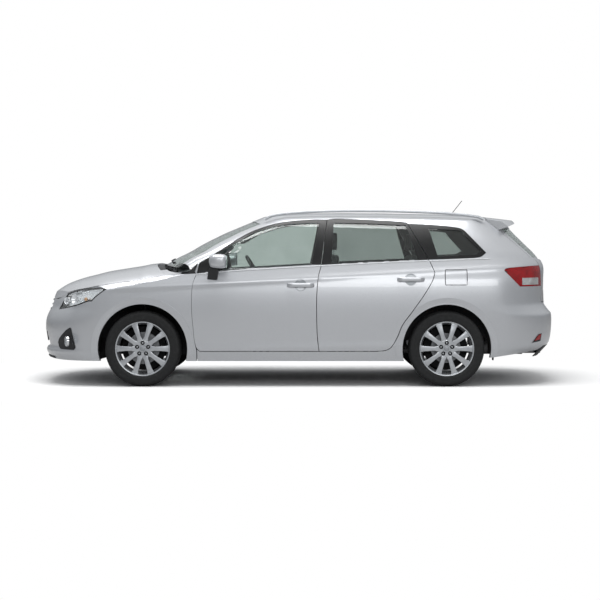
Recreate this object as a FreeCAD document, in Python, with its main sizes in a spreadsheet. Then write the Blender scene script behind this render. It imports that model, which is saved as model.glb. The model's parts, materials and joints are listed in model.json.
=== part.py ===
import FreeCAD, Part
import Sketcher
import math
import os
from types import SimpleNamespace
from FreeCAD import Placement, Rotation, Vector

# A five-door station wagon, built from its body panels, glass, running gear and cabin.
# X runs from the front bumper to the rear bumper, Y to the car's right and Z up.
# The origin is on the ground, half-way along the car, on its centreline.

doc = FreeCAD.newDocument("station_wagon")
sheet = doc.addObject("Spreadsheet::Sheet", "Sizes")

driving_sizes = {
    # the whole car
    "wheelbase": 2600.0,
    "front_overhang": 945.0,
    "rear_overhang": 1005.0,
    "body_width": 1750.0,
    "body_height": 1512.0,
    "track": 1496.0,
    # thickness of the walls and the gaps between them
    "door_thickness": 110.0,
    "pillar_thickness": 45.0,
    "panel_thickness": 60.0,
    "bonnet_thickness": 45.0,
    "roof_thickness": 35.0,
    "shut_gap": 6.0,
    "seat_gap": 0.3,
    "overrun": 40.0,
    "glass_setback": 8.0,
    "glass_thickness": 5.0,
    # how far back from the nose and the tail the corners start to turn, seen from above
    "nose_turn": 600.0,
    "tail_turn": 560.0,
    "windscreen_turn": 400.0,
    "backlight_turn": 500.0,
    # crown of the bonnet and of the roof
    "bonnet_drop": 236.0,
    "roof_crown": 30.0,
    "roof_edge_drop": 30.0,
    "roof_half_width": 600.0,
    # wheels and tyres
    "tyre_diameter": 647.0,
    "tyre_width": 215.0,
    "bead_diameter": 466.0,
    "shoulder_width": 22.0,
    "shoulder_height": 23.5,
    "rim_width": 188.0,
    "rim_wall": 9.0,
    "lip_slope": 12.0,
    "spoke_depth": 30.0,
    "spoke_root_diameter": 184.0,
    "spoke_tip_diameter": 404.0,
    "spoke_root_width": 35.0,
    "spoke_tip_width": 54.0,
    "spoke_count": 10.0,
    "window_rounding": 14.0,
    "hub_bore": 44.6,
    "hub_offset": 48.0,
    "hub_cap_depth": 20.0,
    "disc_diameter": 276.0,
    "disc_hat_diameter": 150.0,
    "disc_thickness": 24.0,
    "disc_gap": 8.0,
    "running_gap": 6.0,
    # wheel arches
    "front_arch_radius": 383.0,
    "rear_arch_radius": 380.0,
    "flare_width": 57.0,
    "flare_height": 7.0,
    # front suspension
    "kingpin_inset": 148.0,
    "kingpin_diameter": 18.0,
    "knuckle_height": 150.0,
    "knuckle_width": 70.0,
    "knuckle_length": 76.0,
    "arm_thickness": 22.0,
    "arm_width": 64.0,
    "strut_diameter": 52.0,
    "strut_relief": 1.5,
    "crossmember_height": 60.0,
    "crossmember_length": 130.0,
    "crossmember_width": 780.0,
    "spindle_diameter": 44.0,
    # rear axle
    "rear_beam_diameter": 76.0,
    "rear_hub_diameter": 120.0,
    "rear_hub_length": 40.0,
    "rear_beam_end": 78.0,
    "trailing_arm_length": 420.0,
    "trailing_arm_width": 60.0,
    "trailing_arm_inset": 90.0,
    # floor and firewall
    "floor_height": 232.0,
    "floor_thickness": 20.0,
    "floor_width": 1430.0,
    "tunnel_height": 150.0,
    "tunnel_width": 220.0,
    "firewall_thickness": 30.0,
    "wheelhouse_wall": 12.0,
    "front_house_inset": 310.0,
    "rear_house_inset": 140.0,
    "front_house_drop": 50.0,
    "front_house_clearance": 42.0,
    "rear_house_rise": 80.0,
    "front_rail_inset": 330.0,
    "front_rail_width": 114.0,
    "front_rail_height": 90.0,
    "front_rail_start": 180.0,
    # engine and exhaust
    "engine_length": 520.0,
    "engine_width": 640.0,
    "engine_height": 480.0,
    "engine_ahead": 360.0,
    "engine_chamfer": 30.0,
    "exhaust_diameter": 52.0,
    "exhaust_height": 250.0,
    "front_pipe_length": 2500.0,
    "silencer_length": 420.0,
    "silencer_diameter": 150.0,
    "silencer_height": 290.0,
    "tail_pipe_length": 200.0,
    "hanger_width": 24.0,
    # seats and dashboard
    "seat_width": 500.0,
    "seat_spacing": 700.0,
    "cushion_length": 500.0,
    "cushion_thickness": 140.0,
    "backrest_height": 600.0,
    "backrest_thickness": 120.0,
    "seat_base_height": 160.0,
    "seat_base_width": 380.0,
    "seat_bevel": 24.0,
    "cushion_dip": 30.0,
    "backrest_lean": 120.0,
    "headrest_width": 260.0,
    "headrest_thickness": 80.0,
    "headrest_height": 160.0,
    "headrest_stand": 24.0,
    "headrest_post": 12.0,
    "bench_width": 1180.0,
    "dashboard_width": 1360.0,
    "dashboard_depth": 420.0,
    "dashboard_height": 230.0,
    "dashboard_lip": 70.0,
    # steering wheel
    "steering_wheel_diameter": 375.0,
    "steering_rim_thickness": 30.0,
    "steering_hub_diameter": 120.0,
    "steering_hub_depth": 50.0,
    "steering_spoke_width": 34.0,
    "steering_spoke_depth": 14.0,
    "steering_rim_flat": 14.0,
    "steering_rake": 31.0,
    "column_diameter": 70.0,
    "column_length": 340.0,
    # small pieces outside
    "rail_height": 26.0,
    "rail_width": 34.0,
    "rail_foot": 12.0,
    "grille_bar": 14.0,
    "grille_depth": 40.0,
    "striker_length": 24.0,
    "striker_width": 60.0,
    "striker_height": 30.0,
    "striker_inset": 110.0,
    "mirror_length": 169.0,
    "mirror_height": 135.0,
    "mirror_reach": 150.0,
    "mirror_stand": 87.0,
    "mirror_rounding": 40.0,
    "mirror_foot_length": 100.0,
    "mirror_foot_ahead": 25.0,
    "mirror_foot_drop": 105.0,
    "spoiler_reach": 80.0,
    "handle_length": 228.0,
    "handle_height": 26.0,
    "handle_stand": 30.0,
    "handle_bar": 15.0,
    "handle_foot": 34.0,
    "flap_thickness": 4.0,
    "flap_depth": 38.0,
    "flap_hinge_inset": 12.0,
    "flap_hinge_depth": 7.5,
    "flap_pin_radius": 2.5,
    "flap_lug_height": 30.0,
    "flap_lug_depth": 13.0,
    "post_width": 110.0,
    "post_depth": 40.0,
    "post_clearance": 12.0,
    "cowl_drop": 12.0,
    "cowl_thickness": 6.0,
    "wiper_width": 16.0,
    "wiper_height": 12.0,
    "aerial_length": 150.0,
    "aerial_diameter": 6.0,
    "aerial_lean": 38.0,
    "aerial_foot_diameter": 60.0,
    "aerial_foot_height": 26.0,
    "mud_flap_width": 170.0,
    "mud_flap_height": 110.0,
    "mud_flap_thickness": 8.0,
}

for row, (alias, value) in enumerate(driving_sizes.items(), start=1):
    sheet.set("A%d" % row, alias.replace("_", " "))
    sheet.set("B%d" % row, str(value))
    sheet.setAlias("B%d" % row, alias)
doc.recompute()
car = SimpleNamespace(**{alias: float(sheet.get(alias)) for alias in driving_sizes})

half_width = car.body_width / 2
length = car.front_overhang + car.wheelbase + car.rear_overhang
nose_x = -length / 2
tail_x = length / 2
front_axle_x = nose_x + car.front_overhang
rear_axle_x = front_axle_x + car.wheelbase
hub_z = car.tyre_diameter / 2
half_gap = car.shut_gap / 2


def station(share):
    """Place along the car: below 0 the front overhang, 0 to 1 the wheelbase, above 1 the rear overhang."""
    if share < 0:
        return front_axle_x + share * car.front_overhang
    if share > 1:
        return rear_axle_x + (share - 1) * car.rear_overhang
    return front_axle_x + share * car.wheelbase


def station_share(x):
    """The share that station() would turn into this place."""
    if x < front_axle_x:
        return (x - front_axle_x) / car.front_overhang
    if x > rear_axle_x:
        return 1 + (x - rear_axle_x) / car.rear_overhang
    return (x - front_axle_x) / car.wheelbase


def height(share):
    return share * car.body_height


def follow(shares, at):
    """A smooth curve through hand-chosen pairs, straight beyond its ends."""
    last = len(shares) - 1
    if at <= shares[0][0]:
        low, high = shares[0], shares[1]
        return low[1] + (high[1] - low[1]) * (at - low[0]) / (high[0] - low[0])
    if at >= shares[last][0]:
        low, high = shares[last - 1], shares[last]
        return high[1] + (high[1] - low[1]) * (at - high[0]) / (high[0] - low[0])
    first = max(i for i in range(last) if shares[i][0] <= at)

    def slope(i):
        before, after = max(i - 1, 0), min(i + 1, last)
        return (shares[after][1] - shares[before][1]) / (shares[after][0] - shares[before][0])

    low, high = shares[first], shares[first + 1]
    span = high[0] - low[0]
    part = (at - low[0]) / span
    rise = part * part * (3 - 2 * part)
    start_pull = part * (1 - part) * (1 - part) * span * slope(first)
    end_pull = part * part * (part - 1) * span * slope(first + 1)
    return low[1] + rise * (high[1] - low[1]) + start_pull + end_pull


# The lower body: half its width, its nose and its tail at each height.
lower_side_shares = [
    (0.1435, 0.945), (0.198, 0.970), (0.265, 0.984), (0.364, 0.996), (0.430, 1.0), (0.516, 0.997),
    (0.582, 0.988), (0.615, 0.978), (0.651, 0.958), (0.688, 0.935), (0.744, 0.898),
]
lower_plan_shares = [
    (-0.5, 0.985), (0.0, 0.990), (0.3, 0.998), (0.6, 1.0), (0.9, 0.998), (1.3, 0.985), (1.7, 0.965),
]
nose_shares = [
    (0.1435, 0.045), (0.187, 0.005), (0.218, 0.022), (0.265, 0.012), (0.324, 0.0), (0.370, 0.007),
    (0.410, 0.032), (0.443, 0.060), (0.489, 0.080), (0.529, 0.106), (0.600, 0.150), (0.744, 0.240),
]
tail_shares = [
    (0.1435, 0.124), (0.187, 0.093), (0.210, 0.045), (0.234, 0.018), (0.300, 0.0), (0.400, 0.0),
    (0.420, 0.025), (0.444, 0.052), (0.468, 0.070), (0.600, 0.070), (0.680, 0.070), (0.744, 0.120),
]
nose_roundness = 2.4
tail_roundness = 2.5

# The greenhouse: half its width, the windscreen and the backlight at each height.
upper_side_shares = [
    (0.615, 0.925), (0.661, 0.915), (0.701, 0.900), (0.761, 0.868), (0.827, 0.822), (0.886, 0.770),
    (0.926, 0.727), (0.952, 0.690), (0.979, 0.640), (1.005, 0.580),
]
upper_plan_shares = [
    (0.0, 0.970), (0.3, 0.995), (0.6, 1.0), (0.9, 0.990), (1.2, 0.970), (1.5, 0.945), (1.9, 0.910),
]
windscreen_shares = [
    (0.615, -0.060), (0.661, 0.021), (0.698, 0.063), (0.724, 0.088), (0.760, 0.131), (0.802, 0.173),
    (0.839, 0.215), (0.874, 0.257), (0.905, 0.300), (0.935, 0.342), (0.959, 0.377), (1.005, 0.440),
]
backlight_shares = [
    (0.615, 1.945), (0.661, 1.938), (0.705, 1.917), (0.754, 1.863), (0.790, 1.808), (0.826, 1.753),
    (0.862, 1.698), (0.899, 1.645), (0.939, 1.589), (0.979, 1.527), (1.005, 1.488),
]
windscreen_roundness = 2.3
backlight_roundness = 2.2

# The bonnet and the roof: their height and their half width along the car.
bonnet_height_shares = [
    (-0.980, 0.480), (-0.919, 0.512), (-0.860, 0.542), (-0.802, 0.566), (-0.744, 0.584), (-0.628, 0.6085),
    (-0.511, 0.627), (-0.396, 0.645), (-0.221, 0.663), (-0.047, 0.681), (0.063, 0.698), (0.185, 0.716),
]
bonnet_width_shares = [
    (-0.980, 0.780), (-0.900, 0.800), (-0.725, 0.887), (-0.583, 0.950), (-0.390, 1.000), (-0.150, 1.008),
    (0.000, 1.008), (0.045, 1.012), (0.165, 1.063), (0.300, 1.120),
]
bonnet_roundness = 2.5
roof_height_shares = [
    (0.280, 0.900), (0.325, 0.929), (0.358, 0.9525), (0.400, 0.972), (0.450, 0.984), (0.550, 0.991),
    (0.665, 0.9925), (0.800, 0.991), (0.935, 0.987), (1.316, 0.974), (1.426, 0.966), (1.535, 0.958), (1.700, 0.944),
]


def lower_half_width(x, z):
    """Half the width of the lower body's side, before the corners turn in."""
    return half_width * follow(lower_side_shares, z / car.body_height) * follow(lower_plan_shares, station_share(x))


def upper_half_width(x, z):
    """Half the width of the greenhouse's side, before the corners turn in."""
    return half_width * follow(upper_side_shares, z / car.body_height) * follow(upper_plan_shares, station_share(x))


def side_skin(x, z):
    """Distance of the outer skin from the centreline, at the side."""
    if z < belt_z(x):
        return lower_half_width(x, z)
    return upper_half_width(x, z)


def lower_nose(z):
    return nose_x + car.front_overhang * follow(nose_shares, z / car.body_height)


def lower_tail(z):
    return tail_x - car.rear_overhang * follow(tail_shares, z / car.body_height)


def upper_nose(z):
    return station(follow(windscreen_shares, z / car.body_height))


def upper_tail(z):
    return station(follow(backlight_shares, z / car.body_height))


def bonnet_z(x, y):
    """Height of the bonnet and the tops of the fenders."""
    across = min(abs(y) / (half_width * follow(bonnet_width_shares, station_share(x))), bonnet_edge_share)
    fall = 1 - (1 - across ** bonnet_roundness) ** (1 / bonnet_roundness)
    return height(follow(bonnet_height_shares, station_share(x))) - car.bonnet_drop * fall


def roof_z(x, y):
    """Height of the roof, which falls off towards its two sides."""
    across = abs(y) / car.roof_half_width
    crown = car.roof_crown * across ** 2 + car.roof_edge_drop * across ** 8
    return height(follow(roof_height_shares, station_share(x))) - crown


bonnet_edge_share = 0.995

belt_shares = [
    (-0.60, 0.620), (-0.10, 0.624), (0.154, 0.637), (0.289, 0.658), (0.555, 0.685), (0.811, 0.707),
    (0.937, 0.716), (1.272, 0.727), (1.700, 0.729), (2.100, 0.729),
]


def belt_z(x):
    """Height of the line where the side windows meet the body."""
    return height(follow(belt_shares, station_share(x)))


def curve_edge(points):
    if len(points) == 2:
        return Part.LineSegment(points[0], points[1]).toShape()
    curve = Part.BSplineCurve()
    curve.interpolate(points)
    return curve.toShape()


corner_steps = 6
side_steps = 4


def ring(z, half_width_at, nose, tail, turns, roundness, inset):
    """Closed outline of the left half of the body at one height, seen from above."""
    front = nose(z) + inset
    rear = tail(z) - inset
    points = []
    for step in range(corner_steps + 1):
        angle = math.pi / 2 * step / corner_steps
        x = front + turns[0] * (1 - math.cos(angle) ** (2 / roundness[0]))
        points.append((x, math.sin(angle) ** (2 / roundness[0])))
    side_start = front + turns[0]
    side_end = rear - turns[1]
    for step in range(1, side_steps):
        points.append((side_start + (side_end - side_start) * step / side_steps, 1))
    for step in range(corner_steps, -1, -1):
        angle = math.pi / 2 * step / corner_steps
        x = rear - turns[1] * (1 - math.cos(angle) ** (2 / roundness[1]))
        points.append((x, math.sin(angle) ** (2 / roundness[1])))
    places = [Vector(x, -(half_width_at(x, z) - inset) * reach, z) for x, reach in points]
    return Part.Wire([curve_edge(places), Part.LineSegment(places[-1], places[0]).toShape()])


def lower_half(inset, every=1):
    """Left half of the lower body, as one solid, its walls moved in by the inset."""
    wires = [
        ring(height(level), lower_half_width, lower_nose, lower_tail, (car.nose_turn, car.tail_turn),
             (nose_roundness, tail_roundness), inset)
        for level, _ in lower_side_shares[::every]
    ]
    return Part.makeLoft(wires, True, True)


def upper_half(inset, every=1):
    """Left half of the greenhouse, as one solid, its walls moved in by the inset."""
    wires = [
        ring(height(level), upper_half_width, upper_nose, upper_tail, (car.windscreen_turn, car.backlight_turn),
             (windscreen_roundness, backlight_roundness), inset)
        for level, _ in upper_side_shares[::every]
    ]
    return Part.makeLoft(wires, True, True)


def space_above(surface_z, start, end, reach_shares, reach, lowered):
    """Solid of all that lies above a crowned surface, over the car's left half."""
    top = 2 * car.body_height
    steps = 14
    wires = []
    for share in reach_shares:
        y = reach * share
        places = []
        for step in range(steps + 1):
            x = start + (end - start) * step / steps
            places.append(Vector(x, -y, surface_z(x, y) - lowered))
        corners = [places[-1], Vector(end, -y, top), Vector(start, -y, top), places[0]]
        edges = [curve_edge(places)]
        for here, after in zip(corners, corners[1:]):
            edges.append(Part.LineSegment(here, after).toShape())
        wires.append(Part.Wire(edges))
    return Part.makeLoft(wires, True, True)


bonnet_reach_shares = [0.0, 0.35, 0.6, 0.75, 0.84, 0.90, 0.94, 0.97, 1.0, 1.1]
roof_reach_shares = [0.0, 0.35, 0.65, 0.85, 0.95, 1.02, 1.1, 1.25]
bonnet_back_share = 0.18


def bonnet_space(lowered):
    return space_above(bonnet_z, nose_x - car.overrun, station(bonnet_back_share), bonnet_reach_shares,
                       half_width, lowered)


def roof_space(lowered):
    return space_above(roof_z, station(-0.1), tail_x, roof_reach_shares, car.roof_half_width, lowered)


# Outlines. Each is a loop of runs, and a run of more than two points is a curve through them.
front_door_shares = [
    [(0.580, 0.200), (0.574, 0.296), (0.572, 0.420), (0.5725, 0.522), (0.578, 0.623), (0.587, 0.680)],
    [(0.587, 0.680), (0.608, 0.946)],
    [(0.608, 0.946), (0.553, 0.945), (0.457, 0.931), (0.381, 0.898), (0.324, 0.852),
     (0.257, 0.776), (0.186, 0.700)],
    [(0.186, 0.700), (0.177, 0.637), (0.1665, 0.586), (0.162, 0.521), (0.162, 0.431), (0.166, 0.340),
     (0.170, 0.265), (0.177, 0.220), (0.188, 0.200)],
    [(0.188, 0.200), (0.580, 0.200)],
]
rear_door_shares = [
    [(0.767, 0.200), (0.799, 0.206), (0.819, 0.228), (0.837, 0.282), (0.854, 0.351), (0.886, 0.426),
     (0.925, 0.521), (0.952, 0.600), (0.9595, 0.645)],
    [(0.9595, 0.645), (0.953, 0.673), (0.942, 0.716), (0.922, 0.781), (0.898, 0.854), (0.874, 0.928)],
    [(0.874, 0.928), (0.837, 0.935), (0.730, 0.945), (0.645, 0.950), (0.608, 0.946)],
    [(0.608, 0.946), (0.587, 0.680)],
    [(0.587, 0.680), (0.578, 0.623), (0.5725, 0.522), (0.572, 0.420), (0.574, 0.296), (0.580, 0.200)],
    [(0.580, 0.200), (0.767, 0.200)],
]
front_glass_shares = [
    [(0.555, 0.687), (0.582, 0.925)],
    [(0.582, 0.925), (0.553, 0.926), (0.458, 0.915), (0.381, 0.882), (0.324, 0.832), (0.252, 0.757)],
    [(0.252, 0.757), (0.262, 0.660)],
    [(0.262, 0.660), (0.400, 0.672), (0.555, 0.687)],
]
rear_glass_shares = [
    [(0.907, 0.717), (0.870, 0.914)],
    [(0.870, 0.914), (0.838, 0.915), (0.730, 0.924), (0.630, 0.927)],
    [(0.630, 0.927), (0.620, 0.694)],
    [(0.620, 0.694), (0.760, 0.706), (0.907, 0.717)],
]
quarter_glass_shares = [
    [(0.972, 0.737), (1.246, 0.745)],
    [(1.246, 0.745), (1.300, 0.765)],
    [(1.300, 0.765), (1.160, 0.862)],
    [(1.160, 0.862), (1.115, 0.884), (0.945, 0.895)],
    [(0.945, 0.895), (0.972, 0.737)],
]
fender_shares = [
    [(0.177, 0.1200), (0.177, 0.205)],
    [(0.177, 0.205), (0.170, 0.265), (0.166, 0.340), (0.162, 0.431), (0.162, 0.521),
     (0.1665, 0.586), (0.177, 0.637)],
    [(0.177, 0.637), (0.160, 0.669), (0.139, 0.692)],
    [(0.139, 0.692), (0.040, 0.720)],
    [(0.040, 0.720), (-0.500, 0.720)],
    [(-0.500, 0.720), (-0.405, 0.5680)],
    [(-0.405, 0.5680), (-0.319, 0.552)],
    [(-0.319, 0.552), (-0.408, 0.511), (-0.457, 0.481)],
    [(-0.457, 0.481), (-0.320, 0.436)],
    [(-0.320, 0.436), (-0.150, 0.380)],
    [(-0.150, 0.380), (-0.150, 0.120)],
    [(-0.150, 0.120), (0.177, 0.1200)],
]
headlamp_shares = [
    [(-0.319, 0.552), (-0.390, 0.5595), (-0.480, 0.5570), (-0.583, 0.5460), (-0.699, 0.523)],
    [(-0.699, 0.523), (-0.791, 0.431)],
    [(-0.791, 0.431), (-0.673, 0.445), (-0.583, 0.460), (-0.493, 0.480), (-0.457, 0.481)],
    [(-0.457, 0.481), (-0.408, 0.511), (-0.319, 0.552)],
]
front_bumper_shares = [
    [(-0.150, 0.380), (-0.320, 0.436)],
    [(-0.320, 0.436), (-0.457, 0.481)],
    [(-0.457, 0.481), (-0.493, 0.480), (-0.583, 0.460), (-0.673, 0.445), (-0.791, 0.431)],
    [(-0.791, 0.431), (-0.699, 0.523)],
    [(-0.699, 0.523), (-0.720, 0.620)],
    [(-0.720, 0.620), (-1.100, 0.620)],
    [(-1.100, 0.620), (-1.100, 0.100)],
    [(-1.100, 0.100), (-0.150, 0.100)],
    [(-0.150, 0.100), (-0.150, 0.380)],
]
rear_bumper_shares = [
    [(1.150, 0.380), (1.278, 0.452), (1.418, 0.469), (1.600, 0.489), (1.652, 0.507),
     (1.670, 0.532), (1.627, 0.565)],
    [(1.627, 0.565), (2.100, 0.565)],
    [(2.100, 0.565), (2.100, 0.198)],
    [(2.100, 0.198), (1.858, 0.198), (1.671, 0.188), (1.385, 0.163)],
    [(1.385, 0.163), (1.150, 0.150)],
    [(1.150, 0.150), (1.150, 0.380)],
]
tail_lamp_shares = [
    [(1.489, 0.655), (1.519, 0.670), (1.684, 0.679), (1.760, 0.682), (2.100, 0.690)],
    [(2.100, 0.690), (2.100, 0.565)],
    [(2.100, 0.565), (1.627, 0.565)],
    [(1.627, 0.565), (1.489, 0.655)],
]
fuel_flap_shares = [
    [(0.998, 0.575), (1.163, 0.575)],
    [(1.163, 0.575), (1.169, 0.582), (1.169, 0.652), (1.163, 0.660)],
    [(1.163, 0.660), (0.998, 0.660)],
    [(0.998, 0.660), (0.994, 0.652), (0.994, 0.582), (0.998, 0.575)],
]
# seen from above: shares of the half width against stations
bonnet_plan_shares = [
    [(0.030, -0.1), (0.031, 0.300), (0.038, 0.550), (0.052, 0.750), (0.070, 0.912)],
    [(0.070, 0.912), (0.015, 0.936), (-0.152, 0.924), (-0.390, 0.914), (-0.583, 0.848), (-0.725, 0.770),
     (-0.800, 0.690), (-0.860, 0.560), (-0.905, 0.350), (-0.920, 0.0), (-0.918, -0.1)],
    [(-0.918, -0.1), (0.070, -0.1)],
]
roof_seam_share = 1.373
roof_plan_shares = [
    [(0.372, -0.1), (0.3800, 0.300), (0.400, 0.560), (0.420, 0.625)],
    [(0.420, 0.625), (0.600, 0.636), (0.900, 0.632), (1.373, 0.610)],
    [(1.373, 0.610), (1.373, -0.1)],
    [(1.373, -0.1), (0.372, -0.1)],
]
# seen from in front or behind: shares of the half width against heights
windscreen_front_shares = [
    [(-0.1, 0.686), (0.400, 0.684), (0.790, 0.672)],
    [(0.790, 0.672), (0.725, 0.790), (0.620, 0.922)],
    [(0.620, 0.922), (0.400, 0.936), (-0.1, 0.942)],
    [(-0.1, 0.942), (-0.1, 0.686)],
]
tailgate_rear_shares = [
    [(-0.1, 0.470), (0.590, 0.470)],
    [(0.590, 0.470), (0.610, 0.565), (0.640, 0.690), (0.650, 0.800), (0.640, 0.900), (0.625, 1.050)],
    [(0.625, 1.050), (-0.1, 1.050)],
    [(-0.1, 1.050), (-0.1, 0.470)],
]
backlight_rear_shares = [
    [(-0.1, 0.712), (0.400, 0.716), (0.560, 0.726)],
    [(0.560, 0.726), (0.565, 0.800), (0.530, 0.890)],
    [(0.530, 0.890), (0.400, 0.898), (-0.1, 0.900)],
    [(-0.1, 0.900), (-0.1, 0.712)],
]
grille_front_shares = [
    [(-0.1, 0.420), (0.450, 0.420)],
    [(0.450, 0.420), (0.470, 0.500)],
    [(0.470, 0.500), (-0.1, 0.510)],
    [(-0.1, 0.510), (-0.1, 0.420)],
]
# the rest of the side: all that is neither door, fender, bumper nor lamp
side_limits_shares = [
    [(0.180, 0.120), (1.150, 0.120)],
    [(1.150, 0.120), (1.150, 0.380)],
    [(1.150, 0.380), (1.278, 0.452), (1.418, 0.469), (1.600, 0.489), (1.652, 0.507),
     (1.670, 0.532), (1.627, 0.565)],
    [(1.627, 0.565), (1.489, 0.655)],
    [(1.489, 0.655), (1.519, 0.670), (1.684, 0.679), (1.760, 0.682), (2.100, 0.690)],
    [(2.100, 0.690), (2.100, 1.100)],
    [(2.100, 1.100), (0.000, 1.100)],
    [(0.000, 1.100), (0.040, 0.720)],
    [(0.040, 0.720), (0.139, 0.692)],
    [(0.139, 0.692), (0.160, 0.669), (0.177, 0.637)],
    [(0.177, 0.637), (0.180, 0.120)],
]
spoiler_shares = [
    [(1.373, 1.020), (1.800, 1.020)],
    [(1.800, 1.020), (1.800, 0.960)],
    [(1.800, 0.960), (1.454, 0.883)],
    [(1.454, 0.883), (1.373, 0.860)],
    [(1.373, 0.860), (1.373, 1.020)],
]
spoiler_half_share = 0.62
# places on the side: station and height
front_handle_shares = (0.519, 0.575)
rear_handle_shares = (0.880, 0.606)
mirror_place_shares = (0.222, 0.660)
# the post between the doors: station, height, and how far inboard of the door's inner face
post_shares = [
    (0.556, 0.150, -2.0), (0.556, 0.178, -2.0), (0.556, 0.194, 2.4), (0.556, 0.300, 2.4), (0.556, 0.430, 1.5),
    (0.558, 0.520, 3.0), (0.560, 0.600, 3.3), (0.564, 0.650, 2.8), (0.565, 0.684, 1.6), (0.566, 0.692, 5.0),
    (0.567, 0.705, 2.2), (0.576, 0.830, 2.2), (0.584, 0.949, 2.2), (0.585, 0.968, -2.0),
]
cowl_front_share = 0.024
bulkhead_share = 0.096
heel_share = 0.677
load_floor_share = 0.900
load_height_share = 0.352
pan_height_share = 0.265
front_seat_share = 0.411
bench_share = 0.690
dash_height_share = 0.500
steering_place_shares = (0.370, 0.634)
grille_bar_shares = [0.430, 0.456, 0.482]
roof_rail_shares = (0.400, 1.345)
rail_breadth_share = 0.625
rail_arc_power = 0.35
# each wiper's foot and tip: half width, from the left, and height
wiper_shares = [[(0.62, 0.692), (0.03, 0.712)], [(-0.03, 0.700), (-0.62, 0.722)]]
aerial_share = 1.130
mud_flap_shares = (0.154, 1.405)
mud_flap_low_share = 0.135
intake_front_shares = [
    [(-0.1, 0.205), (0.560, 0.205)],
    [(0.560, 0.205), (0.500, 0.300)],
    [(0.500, 0.300), (-0.1, 0.300)],
    [(-0.1, 0.300), (-0.1, 0.205)],
]

mitre_share = 0.35
# heights, breadths and places that cutters reach to
bonnet_low_share = 0.300
waist_share = 0.700
tailgate_slope_share = 0.500
roof_low_share = 0.850
flare_low_share = 0.170
cowl_half_share = 0.900
straight_steps = 6


def grown(loop, gaps):
    """A closed loop of points, each moved outwards by its own gap."""
    count = len(loop)
    area = sum(loop[i - 1][0] * loop[i][1] - loop[i][0] * loop[i - 1][1] for i in range(count))
    turn = 1 if area > 0 else -1
    moved = []
    for i, here in enumerate(loop):
        normals = []
        for start, end in ((loop[i - 1], here), (here, loop[(i + 1) % count])):
            run = (end[0] - start[0], end[1] - start[1])
            size = math.hypot(run[0], run[1])
            normals.append((turn * run[1] / size, -turn * run[0] / size))
        mean = (normals[0][0] + normals[1][0], normals[0][1] + normals[1][1])
        size = math.hypot(mean[0], mean[1])
        mean = (mean[0] / size, mean[1] / size)
        mitre = max(mean[0] * normals[0][0] + mean[1] * normals[0][1], mitre_share)
        moved.append((here[0] + mean[0] * gaps[i] / mitre, here[1] + mean[1] * gaps[i] / mitre))
    return moved


def side_place(a, b, depth):
    return Vector(a, -depth, b)


def plan_place(a, b, depth):
    return Vector(a, -b, depth)


def end_place(a, b, depth):
    return Vector(depth, -a, b)


def real_runs(runs, first, second):
    """The runs of an outline at their real size: first and second turn its two shares into lengths."""
    return [[(first(a), second(b)) for a, b in run] for run in runs]


def breadth(share):
    return share * half_width


def cutter(runs, place, outer, inner, gap=0.0, skin=None, slope=None):
    """Solid between an outline's two ends. Where a skin and a slope are given, the
    outline is true at the skin and narrows inwards by the slope."""
    loop = [point for run in runs for point in run[:-1]]
    wires = []
    for depth in (outer, inner):
        gaps = [gap] * len(loop)
        if skin:
            gaps = [gap + slope(a, b) * abs(depth - skin(a, b)) * (1 if depth == outer else -1) for a, b in loop]
        moved = grown(loop, gaps)
        edges = []
        at = 0
        for run in runs:
            count = len(run) - 1
            points = [moved[(at + i) % len(moved)] for i in range(count + 1)]
            edges.append(curve_edge([place(a, b, depth) for a, b in points]))
            at += count
        wires.append(Part.Wire(edges))
    return Part.makeLoft(wires, True, True)


side_outer = half_width + car.overrun
side_inner = half_width - 2 * car.door_thickness - 2 * car.overrun


def side_cutter(runs_shares, gap=0.0):
    """Cutter for an outline seen from the side, with square edges."""
    return cutter(real_runs(runs_shares, station, height), side_place, side_outer, 0, gap)


def divided(run):
    """A straight run in short lengths, so that a sloped edge follows the curved skin along it."""
    if len(run) > 2:
        return run
    (start_a, start_b), (end_a, end_b) = run
    shares = [step / straight_steps for step in range(straight_steps + 1)]
    return [(start_a + (end_a - start_a) * share, start_b + (end_b - start_b) * share) for share in shares]


def door_cutter(runs_shares, gap):
    """Cutter for a door: its edges slope, so that its inner corners clear as it swings."""
    runs = [divided(run) for run in real_runs(runs_shares, station, height)]
    hinge_x = min(a for run in runs for a, _ in run)
    low_reach = max(a for a, b in runs[0]) - hinge_x

    def skin(a, b):
        return side_skin(a, b)

    def slope(a, b):
        wall = car.door_thickness if b < belt_z(a) else car.pillar_thickness
        return (half_width - side_skin(a, b) + wall) / low_reach

    return cutter(runs, side_place, side_outer, side_inner, gap, skin, slope)


bonnet_edge_slope = 0.42
tailgate_edge_slope = 0.25


def bonnet_cutter(gap):
    runs = real_runs(bonnet_plan_shares, station, breadth)

    def slope(a, b):
        return bonnet_edge_slope if a < front_axle_x and b >= 0 else 0

    return cutter(runs, plan_place, 2 * car.body_height, height(bonnet_low_share), gap, bonnet_z, slope)


def tailgate_cutter(gap):
    """Everything behind the roof seam and between the rear pillars."""
    runs = real_runs(tailgate_rear_shares, breadth, height)

    def skin(a, b):
        return upper_tail(b) if b > height(waist_share) else lower_tail(b)

    def slope(a, b):
        return tailgate_edge_slope if a > 0 and b > height(tailgate_slope_share) else 0

    seam = station(roof_seam_share)
    return cutter(runs, end_place, tail_x + car.overrun, seam - gap, gap, skin, slope)


def mirror_y(shape):
    return shape.mirror(Vector(0, 0, 0), Vector(0, 1, 0))


def both_halves(half):
    """A piece that crosses the centreline, joined from its left half and that half mirrored."""
    return half.fuse(mirror_y(half)).removeSplitter()


def biggest(shape):
    return max(shape.Solids, key=lambda solid: solid.Volume)


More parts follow.
